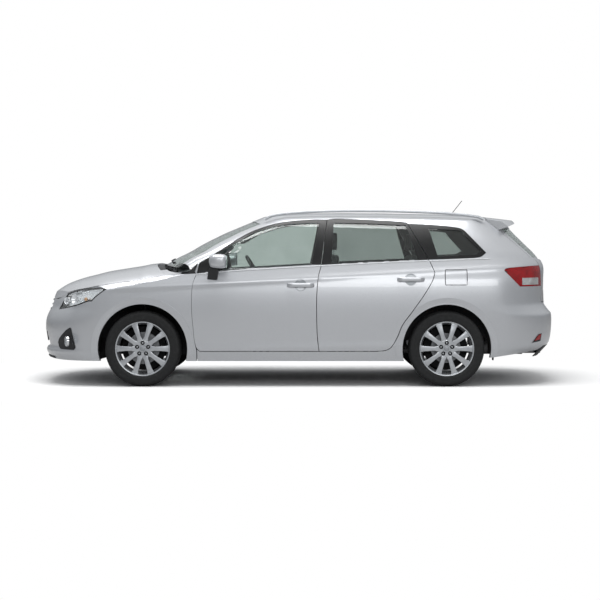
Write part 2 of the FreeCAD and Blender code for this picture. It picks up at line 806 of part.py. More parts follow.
def solids_only(shape, least_share=0.002):
    """The solids of a shape, without the slivers that a cut leaves."""
    largest = max(solid.Volume for solid in shape.Solids)
    kept = [solid for solid in shape.Solids if solid.Volume > least_share * largest]
    return kept[0] if len(kept) == 1 else Part.makeCompound(kept)


pieces = []


def add_piece(name, shape, placement=None):
    """One sub-part whose form is worked out above."""
    feature = doc.addObject("Part::Feature", name)
    feature.Label = name
    feature.Shape = shape
    if placement:
        feature.Placement = placement
    pieces.append(feature)
    return feature


def add_mirrored(name, source):
    """The right-hand twin of a left-hand sub-part."""
    feature = doc.addObject("Part::Mirroring", name)
    feature.Label = name
    feature.Source = source
    feature.Normal = Vector(0, 1, 0)
    feature.Base = Vector(0, 0, 0)
    pieces.append(feature)
    return feature


def add_pair(name, half):
    """Two like pieces, left and right, that share one sub-part."""
    return add_piece(name, Part.makeCompound([half, mirror_y(half)]))


# The body's walls, as left halves.
sky = 2 * car.body_height
belt_steps = 12
belt_ends = (nose_x - car.overrun, tail_x + car.overrun)
belt_places = []
for step in range(belt_steps + 1):
    x = belt_ends[0] + (belt_ends[1] - belt_ends[0]) * step / belt_steps
    belt_places.append(Vector(x, 0, belt_z(x)))
belt_corners = [belt_places[-1], Vector(belt_ends[1], 0, sky), Vector(belt_ends[0], 0, sky), belt_places[0]]
belt_edges = [curve_edge(belt_places)]
for here, after in zip(belt_corners, belt_corners[1:]):
    belt_edges.append(curve_edge([here, after]))
above_belt = Part.Face(Part.Wire(belt_edges)).extrude(Vector(0, -side_outer - car.overrun, 0))

bonnet_top = bonnet_space(0)
roof_top = roof_space(0)
lower_outer = lower_half(0).cut(above_belt).cut(bonnet_top)
upper_outer = upper_half(0).common(above_belt).cut(roof_top)
upper_inner = upper_half(car.pillar_thickness, 3).cut(roof_space(car.roof_thickness))
thick_lower = lower_outer.cut(lower_half(car.door_thickness, 5))
thin_lower = lower_outer.cut(lower_half(car.panel_thickness, 2))
upper_wall = upper_outer.cut(upper_inner)
side_shell = thick_lower.fuse(upper_wall)
end_shell = thin_lower.fuse(upper_wall)


def round_hole(radius, axle_x, start, end):
    """Cylinder across the car, between two distances to the left of the centreline."""
    return Part.makeCylinder(radius, start - end, Vector(axle_x, -start, hub_z), Vector(0, 1, 0))


front_arch = round_hole(car.front_arch_radius, front_axle_x, side_outer, side_inner)
rear_arch = round_hole(car.rear_arch_radius, rear_axle_x, side_outer, side_inner)


def flare(radius, axle_x, limits):
    """Raised band round a wheel arch."""
    band = round_hole(radius + car.flare_width, axle_x, side_outer, side_inner)
    raised = lower_half(-car.flare_height, 2).cut(lower_half(car.flare_height, 2)).common(band)
    low = Vector(axle_x - side_outer, -side_outer, 0)
    ground = Part.makeBox(2 * side_outer, side_outer, height(flare_low_share), low)
    return raised.cut(ground).common(limits)


front_door_piece = door_cutter(front_door_shares, -half_gap)
front_door_hole = door_cutter(front_door_shares, half_gap)
rear_door_piece = door_cutter(rear_door_shares, -half_gap)
rear_door_hole = door_cutter(rear_door_shares, half_gap)
front_glass_hole = side_cutter(front_glass_shares)
rear_glass_hole = side_cutter(rear_glass_shares)
quarter_glass_hole = side_cutter(quarter_glass_shares)


def handle(x, z):
    """Grip bar that stands off the door on two feet."""
    skin = side_skin(x, z)
    back = Part.makeBox(car.handle_length, car.handle_bar, car.handle_height, Vector(
        x - car.handle_length / 2, -skin - car.handle_stand, z - car.handle_height / 2))
    bar = back.makeChamfer(car.handle_bar / 3, back.Edges)
    feet = []
    for end in (-1, 1):
        foot_x = x + end * (car.handle_length / 2 - car.handle_foot) - car.handle_foot / 2
        feet.append(Part.makeBox(car.handle_foot, car.handle_stand, car.handle_height - car.handle_bar / 2,
                                 Vector(foot_x, -skin - car.handle_stand + car.handle_bar / 2,
                                        z - car.handle_height / 2 + car.handle_bar / 4)))
    return bar.fuse(feet)


front_handle = handle(station(front_handle_shares[0]), height(front_handle_shares[1]))
rear_handle = handle(station(rear_handle_shares[0]), height(rear_handle_shares[1]))
front_door = solids_only(side_shell.common(front_door_piece).cut(front_glass_hole)).fuse(front_handle)
rear_door = solids_only(side_shell.common(rear_door_piece).cut(rear_glass_hole).cut(rear_arch)).fuse(rear_handle)
front_door_left = add_piece("front_door_left", front_door)
rear_door_left = add_piece("rear_door_left", rear_door)

# Glass lies a little below the skin, in a pane of one thickness.
pane = upper_half(car.glass_setback, 3).cut(upper_half(car.glass_setback + car.glass_thickness, 3))
pane = pane.cut(roof_space(car.glass_setback))


def side_glass(runs_shares):
    return solids_only(pane.common(side_cutter(runs_shares, -car.seat_gap)))


front_glass_left = add_piece("front_door_glass_left", side_glass(front_glass_shares))
rear_glass_left = add_piece("rear_door_glass_left", side_glass(rear_glass_shares))
add_pair("quarter_glass", side_glass(quarter_glass_shares))


def end_cutter(runs_shares, back, front, gap=0.0):
    return cutter(real_runs(runs_shares, breadth, height), end_place, front, back, gap)


roof_seam = station(roof_seam_share)
windscreen_hole = end_cutter(windscreen_front_shares, nose_x, 0)
windscreen_piece = end_cutter(windscreen_front_shares, nose_x, 0, -car.seat_gap)
add_piece("windscreen", both_halves(solids_only(pane.common(windscreen_piece))))
backlight_hole = end_cutter(backlight_rear_shares, roof_seam, tail_x)
backlight_piece = end_cutter(backlight_rear_shares, roof_seam, tail_x, -car.seat_gap)
add_piece("tailgate_glass", both_halves(solids_only(pane.common(backlight_piece))))

tailgate_solid = tailgate_cutter(-half_gap)
tailgate_hole = tailgate_cutter(half_gap)
bonnet_solid = bonnet_cutter(-half_gap)
bonnet_hole = bonnet_cutter(half_gap)
roof_cut = cutter(real_runs(roof_plan_shares, station, breadth), plan_place, sky, height(roof_low_share))

tailgate_wall = solids_only(end_shell.common(tailgate_solid).cut(backlight_hole))
spoiler_slab = cutter(real_runs(spoiler_shares, station, height), side_place, breadth(spoiler_half_share), 0)
spoiler = upper_half(-car.spoiler_reach).cut(upper_half(0)).common(spoiler_slab).cut(roof_top)
spoiler = solids_only(spoiler.common(tailgate_solid).cut(backlight_hole))
tailgate = add_piece("tailgate", both_halves(tailgate_wall).fuse(both_halves(spoiler)))
add_piece("roof_panel", both_halves(solids_only(upper_wall.common(roof_cut).cut(tailgate_hole))))

bonnet_half = lower_half(0).common(bonnet_space(car.bonnet_thickness)).cut(bonnet_top).common(bonnet_solid)
bonnet = add_piece("bonnet", both_halves(solids_only(bonnet_half)))

headlamp = solids_only(thin_lower.common(side_cutter(headlamp_shares)).cut(bonnet_hole))
add_pair("headlamps", headlamp)
grille_hole = end_cutter(grille_front_shares, nose_x - car.overrun, front_axle_x)
intake_hole = end_cutter(intake_front_shares, nose_x - car.overrun, front_axle_x)
fender_limits = side_cutter(fender_shares)
fender = thin_lower.common(fender_limits).fuse(flare(car.front_arch_radius, front_axle_x, fender_limits))
add_pair("front_fenders", solids_only(fender.cut(front_arch).cut(bonnet_hole)))
front_bumper_cut = side_cutter(front_bumper_shares)
front_bumper = thin_lower.common(front_bumper_cut)
front_bumper = front_bumper.fuse(flare(car.front_arch_radius, front_axle_x, front_bumper_cut))
for opening in (front_arch, bonnet_hole, grille_hole, intake_hole):
    front_bumper = front_bumper.cut(opening)
add_piece("front_bumper", both_halves(solids_only(front_bumper)))

tail_lamp = solids_only(thin_lower.common(side_cutter(tail_lamp_shares)).cut(tailgate_hole))
add_pair("tail_lamps", tail_lamp)
rear_bumper_cut = side_cutter(rear_bumper_shares)
rear_bumper = thin_lower.common(rear_bumper_cut)
rear_bumper = rear_bumper.fuse(flare(car.rear_arch_radius, rear_axle_x, rear_bumper_cut))
rear_bumper = both_halves(solids_only(rear_bumper.cut(rear_arch).cut(tailgate_hole)))
striker_top = height(tailgate_rear_shares[0][0][1]) + half_gap - car.seat_gap
striker = Part.makeBox(car.striker_length, car.striker_width, car.striker_height, Vector(
    tail_x - car.striker_inset, -car.striker_width / 2, striker_top - car.striker_height))
add_piece("rear_bumper", rear_bumper.fuse(striker))

flap_piece = side_cutter(fuel_flap_shares, -half_gap)
flap_hole = cutter(real_runs(fuel_flap_shares, station, height), side_place, side_outer,
                   half_width - 2 * car.flap_depth, half_gap)
flap_skin = lower_half(0).cut(lower_half(car.flap_thickness))
flap = solids_only(flap_skin.common(flap_piece))
flap_low = height(fuel_flap_shares[0][0][1])
flap_high = height(fuel_flap_shares[2][0][1])
flap_middle = (flap_low + flap_high) / 2
pin_x = station(fuel_flap_shares[0][0][0]) + car.flap_hinge_inset


def pin_place(z):
    """The flap's hinge lies one depth below the skin, and leans with it."""
    return Vector(pin_x, car.flap_hinge_depth - side_skin(pin_x, z), z)


pin_low = pin_place(flap_low - car.shut_gap)
pin_way = pin_place(flap_high + car.shut_gap) - pin_low
pin_y = -pin_place(flap_middle).y
flap_lug = Part.makeBox(2 * car.flap_hinge_depth, car.overrun + car.flap_lug_depth, car.flap_lug_height, Vector(
    pin_x - car.flap_hinge_depth, -pin_y - car.overrun, flap_middle - car.flap_lug_height / 2))
flap_lug = flap_lug.common(lower_half(car.flap_thickness / 2))
flap_lug = flap_lug.cut(Part.makeCylinder(car.flap_pin_radius + car.seat_gap, pin_way.Length, pin_low, pin_way))
add_piece("fuel_flap", solids_only(flap.fuse(flap_lug)))
flap_pin = Part.makeCylinder(car.flap_pin_radius, pin_way.Length, pin_low, pin_way)

side_limits = side_cutter(side_limits_shares)
side_wall = side_shell.common(side_limits)
side_wall = side_wall.fuse(flare(car.rear_arch_radius, rear_axle_x, side_limits))
for opening in (front_door_hole, rear_door_hole, rear_arch, quarter_glass_hole, windscreen_hole, tailgate_hole,
                roof_cut, flap_hole):
    side_wall = side_wall.cut(opening)

# The post between the doors stands inboard of them, from the sill to the roof's side rail.
post_rings = []
for place, level, inboard in post_shares:
    x = station(place)
    z = height(level)
    wall = car.door_thickness if z < belt_z(x) else car.pillar_thickness
    outer = side_skin(x, z) - wall - car.post_clearance * inboard
    corners = [(x, outer), (x + car.post_width, outer), (x + car.post_width, outer - car.post_depth),
               (x, outer - car.post_depth), (x, outer)]
    post_rings.append(Part.makePolygon([Vector(a, -b, z) for a, b in corners]))
post = Part.makeLoft(post_rings, True, True)
side_wall = side_wall.fuse(post.cut(roof_cut)).fuse(flap_pin)
side_panel_left = add_piece("side_panel_left", solids_only(side_wall))
add_mirrored("side_panel_right", side_panel_left)


def mirror_head():
    """Door mirror: a rounded head on a foot that stands on the door below the glass."""
    x = station(mirror_place_shares[0])
    z = height(mirror_place_shares[1])
    inner = side_skin(x, z) + car.mirror_stand
    head = Part.makeBox(car.mirror_length, car.mirror_reach, car.mirror_height, Vector(x, -inner - car.mirror_reach, z))
    head = head.makeChamfer(car.mirror_rounding, head.Edges)
    foot_x = x - car.mirror_foot_ahead
    foot_z = z - car.mirror_foot_drop
    foot_skin = side_skin(foot_x, foot_z)
    reach = inner + car.mirror_rounding
    corners = [(foot_skin - car.overrun, foot_z), (foot_skin, foot_z), (reach, z + car.mirror_rounding / 2),
               (reach, z + car.mirror_height / 2), (foot_skin - car.overrun, z)]
    corners.append(corners[0])
    web = Part.Face(Part.makePolygon([Vector(foot_x, -a, b) for a, b in corners]))
    return head.fuse(web.extrude(Vector(car.mirror_foot_length, 0, 0)))


door_mirror_left = add_piece("door_mirror_left", mirror_head().cut(lower_half(-car.seat_gap)))

for name, source in (
    ("front_door_right", front_door_left),
    ("rear_door_right", rear_door_left),
    ("front_door_glass_right", front_glass_left),
    ("rear_door_glass_right", rear_glass_left),
    ("door_mirror_right", door_mirror_left),
):
    add_mirrored(name, source)

# Cowl: the strip between the bonnet's rear edge and the windscreen.
cowl_start = station(cowl_front_share)
cowl_half = breadth(cowl_half_share)
cowl_box = Part.makeBox(station(bonnet_back_share) - cowl_start, cowl_half, sky, Vector(cowl_start, -cowl_half, 0))
cowl = bonnet_space(car.cowl_drop + car.cowl_thickness).cut(bonnet_space(car.cowl_drop)).common(cowl_box)
cowl = cowl.cut(upper_half(0)).cut(bonnet_hole).common(lower_half(car.panel_thickness + car.seat_gap, 2))
add_piece("cowl_panel", both_halves(solids_only(cowl)))


class Sized:
    """A length worked out from the sheet: its value now, and the formula that binds a property to it."""

    def __init__(self, value, formula):
        self.value = value
        self.formula = formula

    def joined(self, other, sign, value):
        text = other.formula if isinstance(other, Sized) else repr(other)
        return Sized(value, "(%s %s %s)" % (self.formula, sign, text))

    def __add__(self, other):
        return self.joined(other, "+", self.value + number(other))

    def __sub__(self, other):
        return self.joined(other, "-", self.value - number(other))

    def __mul__(self, other):
        return self.joined(other, "*", self.value * number(other))

    def __truediv__(self, other):
        return self.joined(other, "/", self.value / number(other))

    def __radd__(self, other):
        return Sized(other + self.value, "(%r + %s)" % (other, self.formula))

    def __rsub__(self, other):
        return Sized(other - self.value, "(%r - %s)" % (other, self.formula))

    def __neg__(self):
        return Sized(-self.value, "(-%s)" % self.formula)


def number(length):
    return length.value if isinstance(length, Sized) else length


sized = SimpleNamespace(**{alias: Sized(value, "Sizes." + alias) for alias, value in vars(car).items()})


def bind(item, **lengths):
    """Give an object's properties their sizes, and bind each to the sheet."""
    for name, length in lengths.items():
        if isinstance(length, Sized):
            setattr(item, name, length.value)
            item.setExpression(name, length.formula)
        else:
            setattr(item, name, length)
    return item


def placed(item, x=0, y=0, z=0, turn=None):
    """Put an object at its place. Each coordinate follows the sheet."""
    item.Placement = Placement(Vector(number(x), number(y), number(z)), turn or Rotation())
    for name, length in (("x", x), ("y", y), ("z", z)):
        if isinstance(length, Sized):
            item.setExpression("Placement.Base." + name, length.formula)
    return item


def solid(kind, name, x=0, y=0, z=0, turn=None, **lengths):
    """One of the simple solids that a larger piece is joined from."""
    return placed(bind(doc.addObject("Part::" + kind, name), **lengths), x, y, z, turn)


def join(name, solids, kept=True):
    item = doc.addObject("Part::MultiFuse", name)
    item.Shapes = solids
    item.Label = name
    if kept:
        pieces.append(item)
    return item


def cut_away(name, base, tool, kept=True):
    item = doc.addObject("Part::Cut", name)
    item.Base = base
    item.Tool = tool
    item.Label = name
    if kept:
        pieces.append(item)
    return item


def origin_plane(body, role):
    return next(feature for feature in body.Origin.OriginFeatures if feature.Role == role)


def profile(body, name, plane, points):
    """Sketch of a closed outline: every corner is held by its two distances from the sketch's axes."""
    sketch = body.newObject("Sketcher::SketchObject", name)
    sketch.AttachmentSupport = [(origin_plane(body, plane), "")]
    sketch.MapMode = "FlatFace"
    corners = [(number(a), number(b)) for a, b in points]
    for i, here in enumerate(corners):
        after = corners[(i + 1) % len(corners)]
        sketch.addGeometry(Part.LineSegment(Vector(here[0], here[1], 0), Vector(after[0], after[1], 0)))
    for i in range(len(corners)):
        sketch.addConstraint(Sketcher.Constraint("Coincident", i, 2, (i + 1) % len(corners), 1))
    for i, point in enumerate(points):
        for kind, axis, length in (("DistanceX", -2, point[0]), ("DistanceY", -1, point[1])):
            if number(length) == 0:
                sketch.addConstraint(Sketcher.Constraint("PointOnObject", i, 1, axis))
                continue
            ends = (-1, 1, i, 1) if number(length) > 0 else (i, 1, -1, 1)
            held = sketch.addConstraint(Sketcher.Constraint(kind, *ends, abs(number(length))))
            if isinstance(length, Sized):
                text = length.formula if number(length) > 0 else "-" + length.formula
                sketch.setExpression("Constraints[%d]" % held, text)
    return sketch


def circle(body, name, plane, centre, diameter):
    """Sketch of one circle, its centre on the sketch's upright axis."""
    sketch = body.newObject("Sketcher::SketchObject", name)
    sketch.AttachmentSupport = [(origin_plane(body, plane), "")]
    sketch.MapMode = "FlatFace"
    sketch.addGeometry(Part.Circle(Vector(0, number(centre), 0), Vector(0, 0, 1), number(diameter) / 2))
    held = sketch.addConstraint(Sketcher.Constraint("Diameter", 0, number(diameter)))
    if isinstance(diameter, Sized):
        sketch.setExpression("Constraints[%d]" % held, diameter.formula)
    sketch.addConstraint(Sketcher.Constraint("PointOnObject", 0, 3, -2))
    if number(centre) == 0:
        sketch.addConstraint(Sketcher.Constraint("PointOnObject", 0, 3, -1))
    else:
        held = sketch.addConstraint(Sketcher.Constraint("DistanceY", -1, 1, 0, 3, number(centre)))
        sketch.setExpression("Constraints[%d]" % held, centre.formula)
    return sketch


def turned(body, name, sketch):
    """Revolve a sketch all the way round the body's own Z axis."""
    feature = body.newObject("PartDesign::Revolution", name)
    feature.Profile = sketch
    feature.ReferenceAxis = (sketch, ["V_Axis"])
    feature.Angle = 360
    return feature


def through_cut(body, name, sketch, length=None, backwards=False):
    feature = body.newObject("PartDesign::Pocket", name)
    feature.Profile = sketch
    if length is None:
        feature.Type = "ThroughAll"
        feature.Midplane = True
    else:
        bind(feature, Length=length)
        feature.Reversed = backwards
    return feature


def repeated(body, name, feature, count):
    """The feature again and again round the body's own Z axis."""
    pattern = body.newObject("PartDesign::PolarPattern", name)
    pattern.Originals = [feature]
    pattern.Axis = (origin_plane(body, "Z_Axis"), [""])
    pattern.Angle = 360
    pattern.Occurrences = int(number(count))
    pattern.setExpression("Occurrences", count.formula)
    body.Tip = pattern
    return pattern


pan_low = height(pan_height_share)

# Wheels. Each is turned about its own Z axis, which points outboard.
outboard_turns = {-1: Rotation(Vector(1, 0, 0), 90), 1: Rotation(Vector(1, 0, 0), -90)}
bead_radius = sized.bead_diameter / 2
rim_half = sized.rim_width / 2
hub_face = sized.hub_offset + sized.spoke_depth
spoke_root = sized.spoke_root_diameter / 2
spoke_tip = sized.spoke_tip_diameter / 2
tyre_radius = sized.tyre_diameter / 2
tyre_half = sized.tyre_width / 2
wheel_height = tyre_radius


def make_rim(name, x, side):
    """Alloy wheel with ten spokes, its brake disc behind it on the same hub."""
    body = doc.addObject("PartDesign::Body", name)
    body.Label = name
    barrel_inner = bead_radius - sized.rim_wall
    section = [
        (sized.hub_bore / 2, sized.hub_offset), (sized.hub_bore / 2, sized.hub_offset + sized.hub_cap_depth),
        (0, sized.hub_offset + sized.hub_cap_depth), (0, hub_face), (spoke_tip + sized.lip_slope, hub_face),
        (bead_radius, rim_half), (bead_radius, -rim_half), (barrel_inner, -rim_half),
        (barrel_inner, sized.hub_offset), (sized.disc_hat_diameter / 2, sized.hub_offset),
        (sized.disc_hat_diameter / 2, sized.hub_offset - sized.disc_gap),
        (sized.disc_diameter / 2, sized.hub_offset - sized.disc_gap),
        (sized.disc_diameter / 2, sized.hub_offset - sized.disc_gap - sized.disc_thickness),
        (sized.hub_bore / 2 + sized.rim_wall, sized.hub_offset - sized.disc_gap - sized.disc_thickness),
        (sized.hub_bore / 2 + sized.rim_wall, sized.hub_offset),
    ]
    turned(body, name + "_turning", profile(body, name + "_section", "XZ_Plane", section))
    half_pitch = math.pi / car.spoke_count

    def window_half(radius, width):
        """Half the width of the gap between two spokes at a radius."""
        return Sized(radius.value * math.sin(half_pitch) - width.value / 2,
                     "(%s * sin(180 / %s) - %s / 2)" % (radius.formula, sized.spoke_count.formula, width.formula))

    root_half = window_half(spoke_root, sized.spoke_root_width)
    tip_half = window_half(spoke_tip, sized.spoke_tip_width)
    window = [(-root_half, spoke_root), (root_half, spoke_root), (tip_half, spoke_tip - sized.window_rounding),
              (tip_half - sized.window_rounding, spoke_tip), (-(tip_half - sized.window_rounding), spoke_tip),
              (-tip_half, spoke_tip - sized.window_rounding)]
    opening = through_cut(body, name + "_window", profile(body, name + "_window_outline", "XY_Plane", window))
    repeated(body, name + "_windows", opening, sized.spoke_count)
    placed(body, x, sized.track / 2 * side, wheel_height, outboard_turns[side])
    pieces.append(body)
    return body


def make_tyre(name, x, hand):
    body = doc.addObject("PartDesign::Body", name)
    body.Label = name
    side = (bead_radius + sized.seat_gap, tyre_half)
    shoulder = (tyre_radius - sized.shoulder_height, tyre_half)
    tread = (tyre_radius, tyre_half - sized.shoulder_width)
    half = [side, shoulder, tread]
    section = half + [(radius, -reach) for radius, reach in reversed(half)]
    turned(body, name + "_turning", profile(body, name + "_section", "XZ_Plane", section))
    placed(body, x, sized.track / 2 * hand, wheel_height, outboard_turns[hand])
    pieces.append(body)
    return body


front_x = -(sized.front_overhang + sized.wheelbase + sized.rear_overhang) / 2 + sized.front_overhang
rear_x = front_x + sized.wheelbase
corners = (
    ("front_left", front_x, -1), ("front_right", front_x, 1), ("rear_left", rear_x, -1), ("rear_right", rear_x, 1),
)
for corner, axle_x, side in corners:
    make_rim("rim_" + corner, axle_x, side)
    make_tyre("tyre_" + corner, axle_x, side)

# Front knuckles: a block on the kingpin, with the spindle that the wheel turns on.
across_turn = Rotation(Vector(1, 0, 0), 90)
kingpin_y = sized.track / 2 - sized.kingpin_inset
spindle_end = sized.track / 2 + sized.hub_offset + sized.hub_cap_depth - sized.seat_gap
for name, side in (("knuckle_left", -1), ("knuckle_right", 1)):
    block = solid("Box", name + "_block", front_x - sized.knuckle_length / 2,
                  kingpin_y * side - sized.knuckle_width / 2, wheel_height - sized.knuckle_height / 2,
                  Length=sized.knuckle_length, Width=sized.knuckle_width, Height=sized.knuckle_height)
    spindle = solid("Cylinder", name + "_spindle", front_x, kingpin_y * side, wheel_height, outboard_turns[side],
                    Radius=sized.spindle_diameter / 2, Height=spindle_end - kingpin_y)
    joined = join(name + "_joined", [block, spindle], kept=False)
    bore = solid("Cylinder", name + "_kingpin_bore", front_x, kingpin_y * side,
                 wheel_height - sized.knuckle_height / 2 - sized.overrun,
                 Radius=sized.kingpin_diameter / 2 + sized.seat_gap, Height=sized.knuckle_height + sized.overrun * 2)
    cut_away(name, joined, bore)

# Front subframe: crossmember, lower arms, kingpins and struts.
arm_top = wheel_height - sized.knuckle_height / 2 - sized.seat_gap
crossmember = solid("Box", "crossmember", front_x - sized.crossmember_length / 2, -sized.crossmember_width / 2,
                    arm_top - sized.crossmember_height, Length=sized.crossmember_length,
                    Width=sized.crossmember_width, Height=sized.crossmember_height)
subframe = [crossmember]
for name, side in (("left", -1), ("right", 1)):
    arm_start = -(kingpin_y + sized.kingpin_diameter) if side < 0 else sized.crossmember_width / 2 - sized.overrun
    subframe.append(solid("Box", "lower_arm_" + name, front_x - sized.arm_width / 2, arm_start,
                          arm_top - sized.arm_thickness, Length=sized.arm_width,
                          Width=kingpin_y + sized.kingpin_diameter - sized.crossmember_width / 2 + sized.overrun,
                          Height=sized.arm_thickness))
    subframe.append(solid("Cylinder", "kingpin_" + name, front_x, kingpin_y * side, arm_top - sized.arm_thickness,
                          Radius=sized.kingpin_diameter / 2,
                          Height=sized.arm_thickness * 2 + sized.knuckle_height + sized.seat_gap * 2))
    subframe.append(solid("Cylinder", "strut_" + name, front_x, kingpin_y * side,
                          wheel_height + sized.knuckle_height / 2 + sized.seat_gap,
                          Radius=sized.strut_diameter / 2,
                          Height=sized.front_arch_radius + sized.front_house_clearance - sized.knuckle_height / 2
                          - sized.strut_relief))
join("front_subframe", subframe)

# Rear axle: a beam with a hub at each end, and the stub that carries each wheel.
beam = solid("Cylinder", "rear_beam", rear_x, sized.track / 2 - sized.rear_beam_end, wheel_height, across_turn,
             Radius=sized.rear_beam_diameter / 2, Height=sized.track - sized.rear_beam_end * 2)
axle = [beam]
for name, side in (("left", -1), ("right", 1)):
    axle.append(solid("Cylinder", "rear_hub_" + name, rear_x, (sized.track / 2 - sized.rear_beam_end) * side,
                      wheel_height, outboard_turns[side], Radius=sized.rear_hub_diameter / 2, Height=sized.rear_hub_length))
    axle.append(solid("Cylinder", "rear_stub_" + name, rear_x, (sized.track / 2 - sized.rear_beam_end) * side,
                      wheel_height, outboard_turns[side], Radius=sized.spindle_diameter / 2,
                      Height=spindle_end - sized.track / 2 + sized.rear_beam_end))
for name, side in (("left", -1), ("right", 1)):
    axle.append(solid("Box", "trailing_arm_" + name, rear_x - sized.trailing_arm_length,
                      (sized.track / 2 - sized.rear_beam_end - sized.trailing_arm_inset) * side
                      - sized.trailing_arm_width / 2,
                      wheel_height - sized.arm_thickness / 2, Length=sized.trailing_arm_length,
                      Width=sized.trailing_arm_width, Height=sized.arm_thickness))
    axle.append(solid("Box", "trailing_bush_" + name, rear_x - sized.trailing_arm_length,
                      (sized.track / 2 - sized.rear_beam_end - sized.trailing_arm_inset) * side
                      - sized.trailing_arm_width / 2, wheel_height - sized.arm_thickness / 2,
                      Length=sized.trailing_arm_width, Width=sized.trailing_arm_width,
                      Height=pan_low - car.floor_thickness - car.seat_gap - hub_z + car.arm_thickness / 2))
join("rear_axle_beam", axle)


# Engine: one block at its real place, on the crossmember and between the struts.
def padded(name, plane, outline, length, x=0, y=0, z=0, turn=None):
    """Body with one outline made solid over a length."""
    body = doc.addObject("PartDesign::Body", name)
    body.Label = name
    pad = body.newObject("PartDesign::Pad", name + "_pad")
    pad.Profile = profile(body, name + "_outline", plane, outline)
    bind(pad, Length=length)
    placed(body, x, y, z, turn)
    return body, pad


def chamfered(body, name, feature, size):
    """Bevel every edge of a feature."""
    doc.recompute()
    bevel = body.newObject("PartDesign::Chamfer", name)
    bevel.Base = (feature, ["Edge%d" % (i + 1) for i in range(len(feature.Shape.Edges))])
    return bind(bevel, Size=size)




engine_body, engine_pad = padded("engine_block", "XY_Plane", [
    (0, -(sized.engine_width / 2)), (sized.engine_length, -(sized.engine_width / 2)),
    (sized.engine_length, sized.engine_width / 2), (0, sized.engine_width / 2)], sized.engine_height,
    front_x - sized.engine_ahead, 0, arm_top + sized.seat_gap)
chamfered(engine_body, "engine_bevel", engine_pad, sized.engine_chamfer)
pieces.append(engine_body)


# Floor, firewall and wheelhouses: one sheet assembly inside the side panels.
def box(low, high):
    """Block between two corners, of which each has a place along, across and up."""
    return Part.makeBox(high[0] - low[0], high[1] - low[1], high[2] - low[2], Vector(*low))


firewall_x = front_axle_x + car.front_arch_radius + car.overrun
toe_x = firewall_x + car.firewall_thickness
bulkhead_x = station(bulkhead_share)
heel_x = station(heel_share)
load_x = station(load_floor_share)
rear_edge_x = lower_tail(height(load_height_share)) - car.panel_thickness - car.seat_gap
floor_low = car.floor_height
floor_top = floor_low + car.floor_thickness
load_low = height(load_height_share)
shelf_low = hub_z + car.front_arch_radius + car.wheelhouse_wall
front_house_radius = car.front_arch_radius + car.front_house_clearance
wide = -side_outer
narrow = -car.floor_width / 2
tunnel_half = car.tunnel_width / 2
sheet_wall = car.floor_thickness
over = car.overrun
floor_half = box((firewall_x, wide, floor_low), (heel_x + sheet_wall, -tunnel_half, floor_top))
for part in (
    box((firewall_x, -tunnel_half - sheet_wall, floor_low),
        (heel_x + sheet_wall, -tunnel_half, floor_low + car.tunnel_height)),
    box((firewall_x, -tunnel_half - sheet_wall, floor_low + car.tunnel_height - sheet_wall),
        (heel_x + sheet_wall, 0, floor_low + car.tunnel_height)),
    box((heel_x, narrow, floor_low), (heel_x + sheet_wall, -tunnel_half, pan_low)),
    box((heel_x, narrow, pan_low - sheet_wall), (load_x, 0, pan_low)),
    box((load_x - sheet_wall, narrow, pan_low - sheet_wall), (load_x, 0, load_low)),
    box((load_x - sheet_wall, wide, load_low), (rear_edge_x, 0, load_low + sheet_wall)),
    box((firewall_x, narrow, floor_low), (toe_x, -tunnel_half, shelf_low)),
    box((firewall_x, narrow, floor_low + car.tunnel_height - sheet_wall), (toe_x, 0, shelf_low)),
    box((bulkhead_x, narrow, shelf_low - car.firewall_thickness), (toe_x, 0, shelf_low)),
    box((bulkhead_x, narrow, shelf_low - car.firewall_thickness),
        (bulkhead_x + car.firewall_thickness, 0, car.body_height)),
):
    floor_half = floor_half.fuse(part)


def wheelhouse(radius, axle_x, inner):
    """Half-round shell over a wheel, closed on its inner side."""
    shell = round_hole(radius + car.wheelhouse_wall, axle_x, side_outer, inner)
    return shell.cut(round_hole(radius, axle_x, side_outer + over, inner + car.wheelhouse_wall))


front_house_y = car.track / 2 - car.front_house_inset
rear_house_y = car.track / 2 - car.rear_house_inset
front_ground = box((nose_x, wide - over, 0), (front_axle_x + side_outer, 0, hub_z - car.front_house_drop))
rear_ground = box((front_axle_x, wide - over, 0), (tail_x, 0, hub_z + car.rear_house_rise))
front_house = wheelhouse(front_house_radius, front_axle_x, front_house_y).cut(front_ground)
rear_house = wheelhouse(car.rear_arch_radius, rear_axle_x, rear_house_y).cut(rear_ground)
floor_half = floor_half.cut(round_hole(car.rear_arch_radius, rear_axle_x, side_outer + over, rear_house_y))
floor_half = floor_half.cut(round_hole(front_house_radius, front_axle_x, side_outer + over, front_house_y))
floor_half = floor_half.fuse(front_house).fuse(rear_house)
rail_low = arm_top.value + car.seat_gap
front_rail = box((nose_x + car.front_rail_start, -car.front_rail_width - car.front_rail_inset, rail_low),
                 (toe_x, -car.front_rail_inset, rail_low + car.front_rail_height))
floor_half = floor_half.fuse(front_rail)
for covered in (bonnet_space(car.cowl_drop + car.cowl_thickness + car.seat_gap), side_panel_left.Shape):
    floor_half = floor_half.cut(covered)
floor_half = floor_half.common(lower_half(car.panel_thickness + car.seat_gap, 2))
add_piece("floor_pan", both_halves(solids_only(floor_half)))


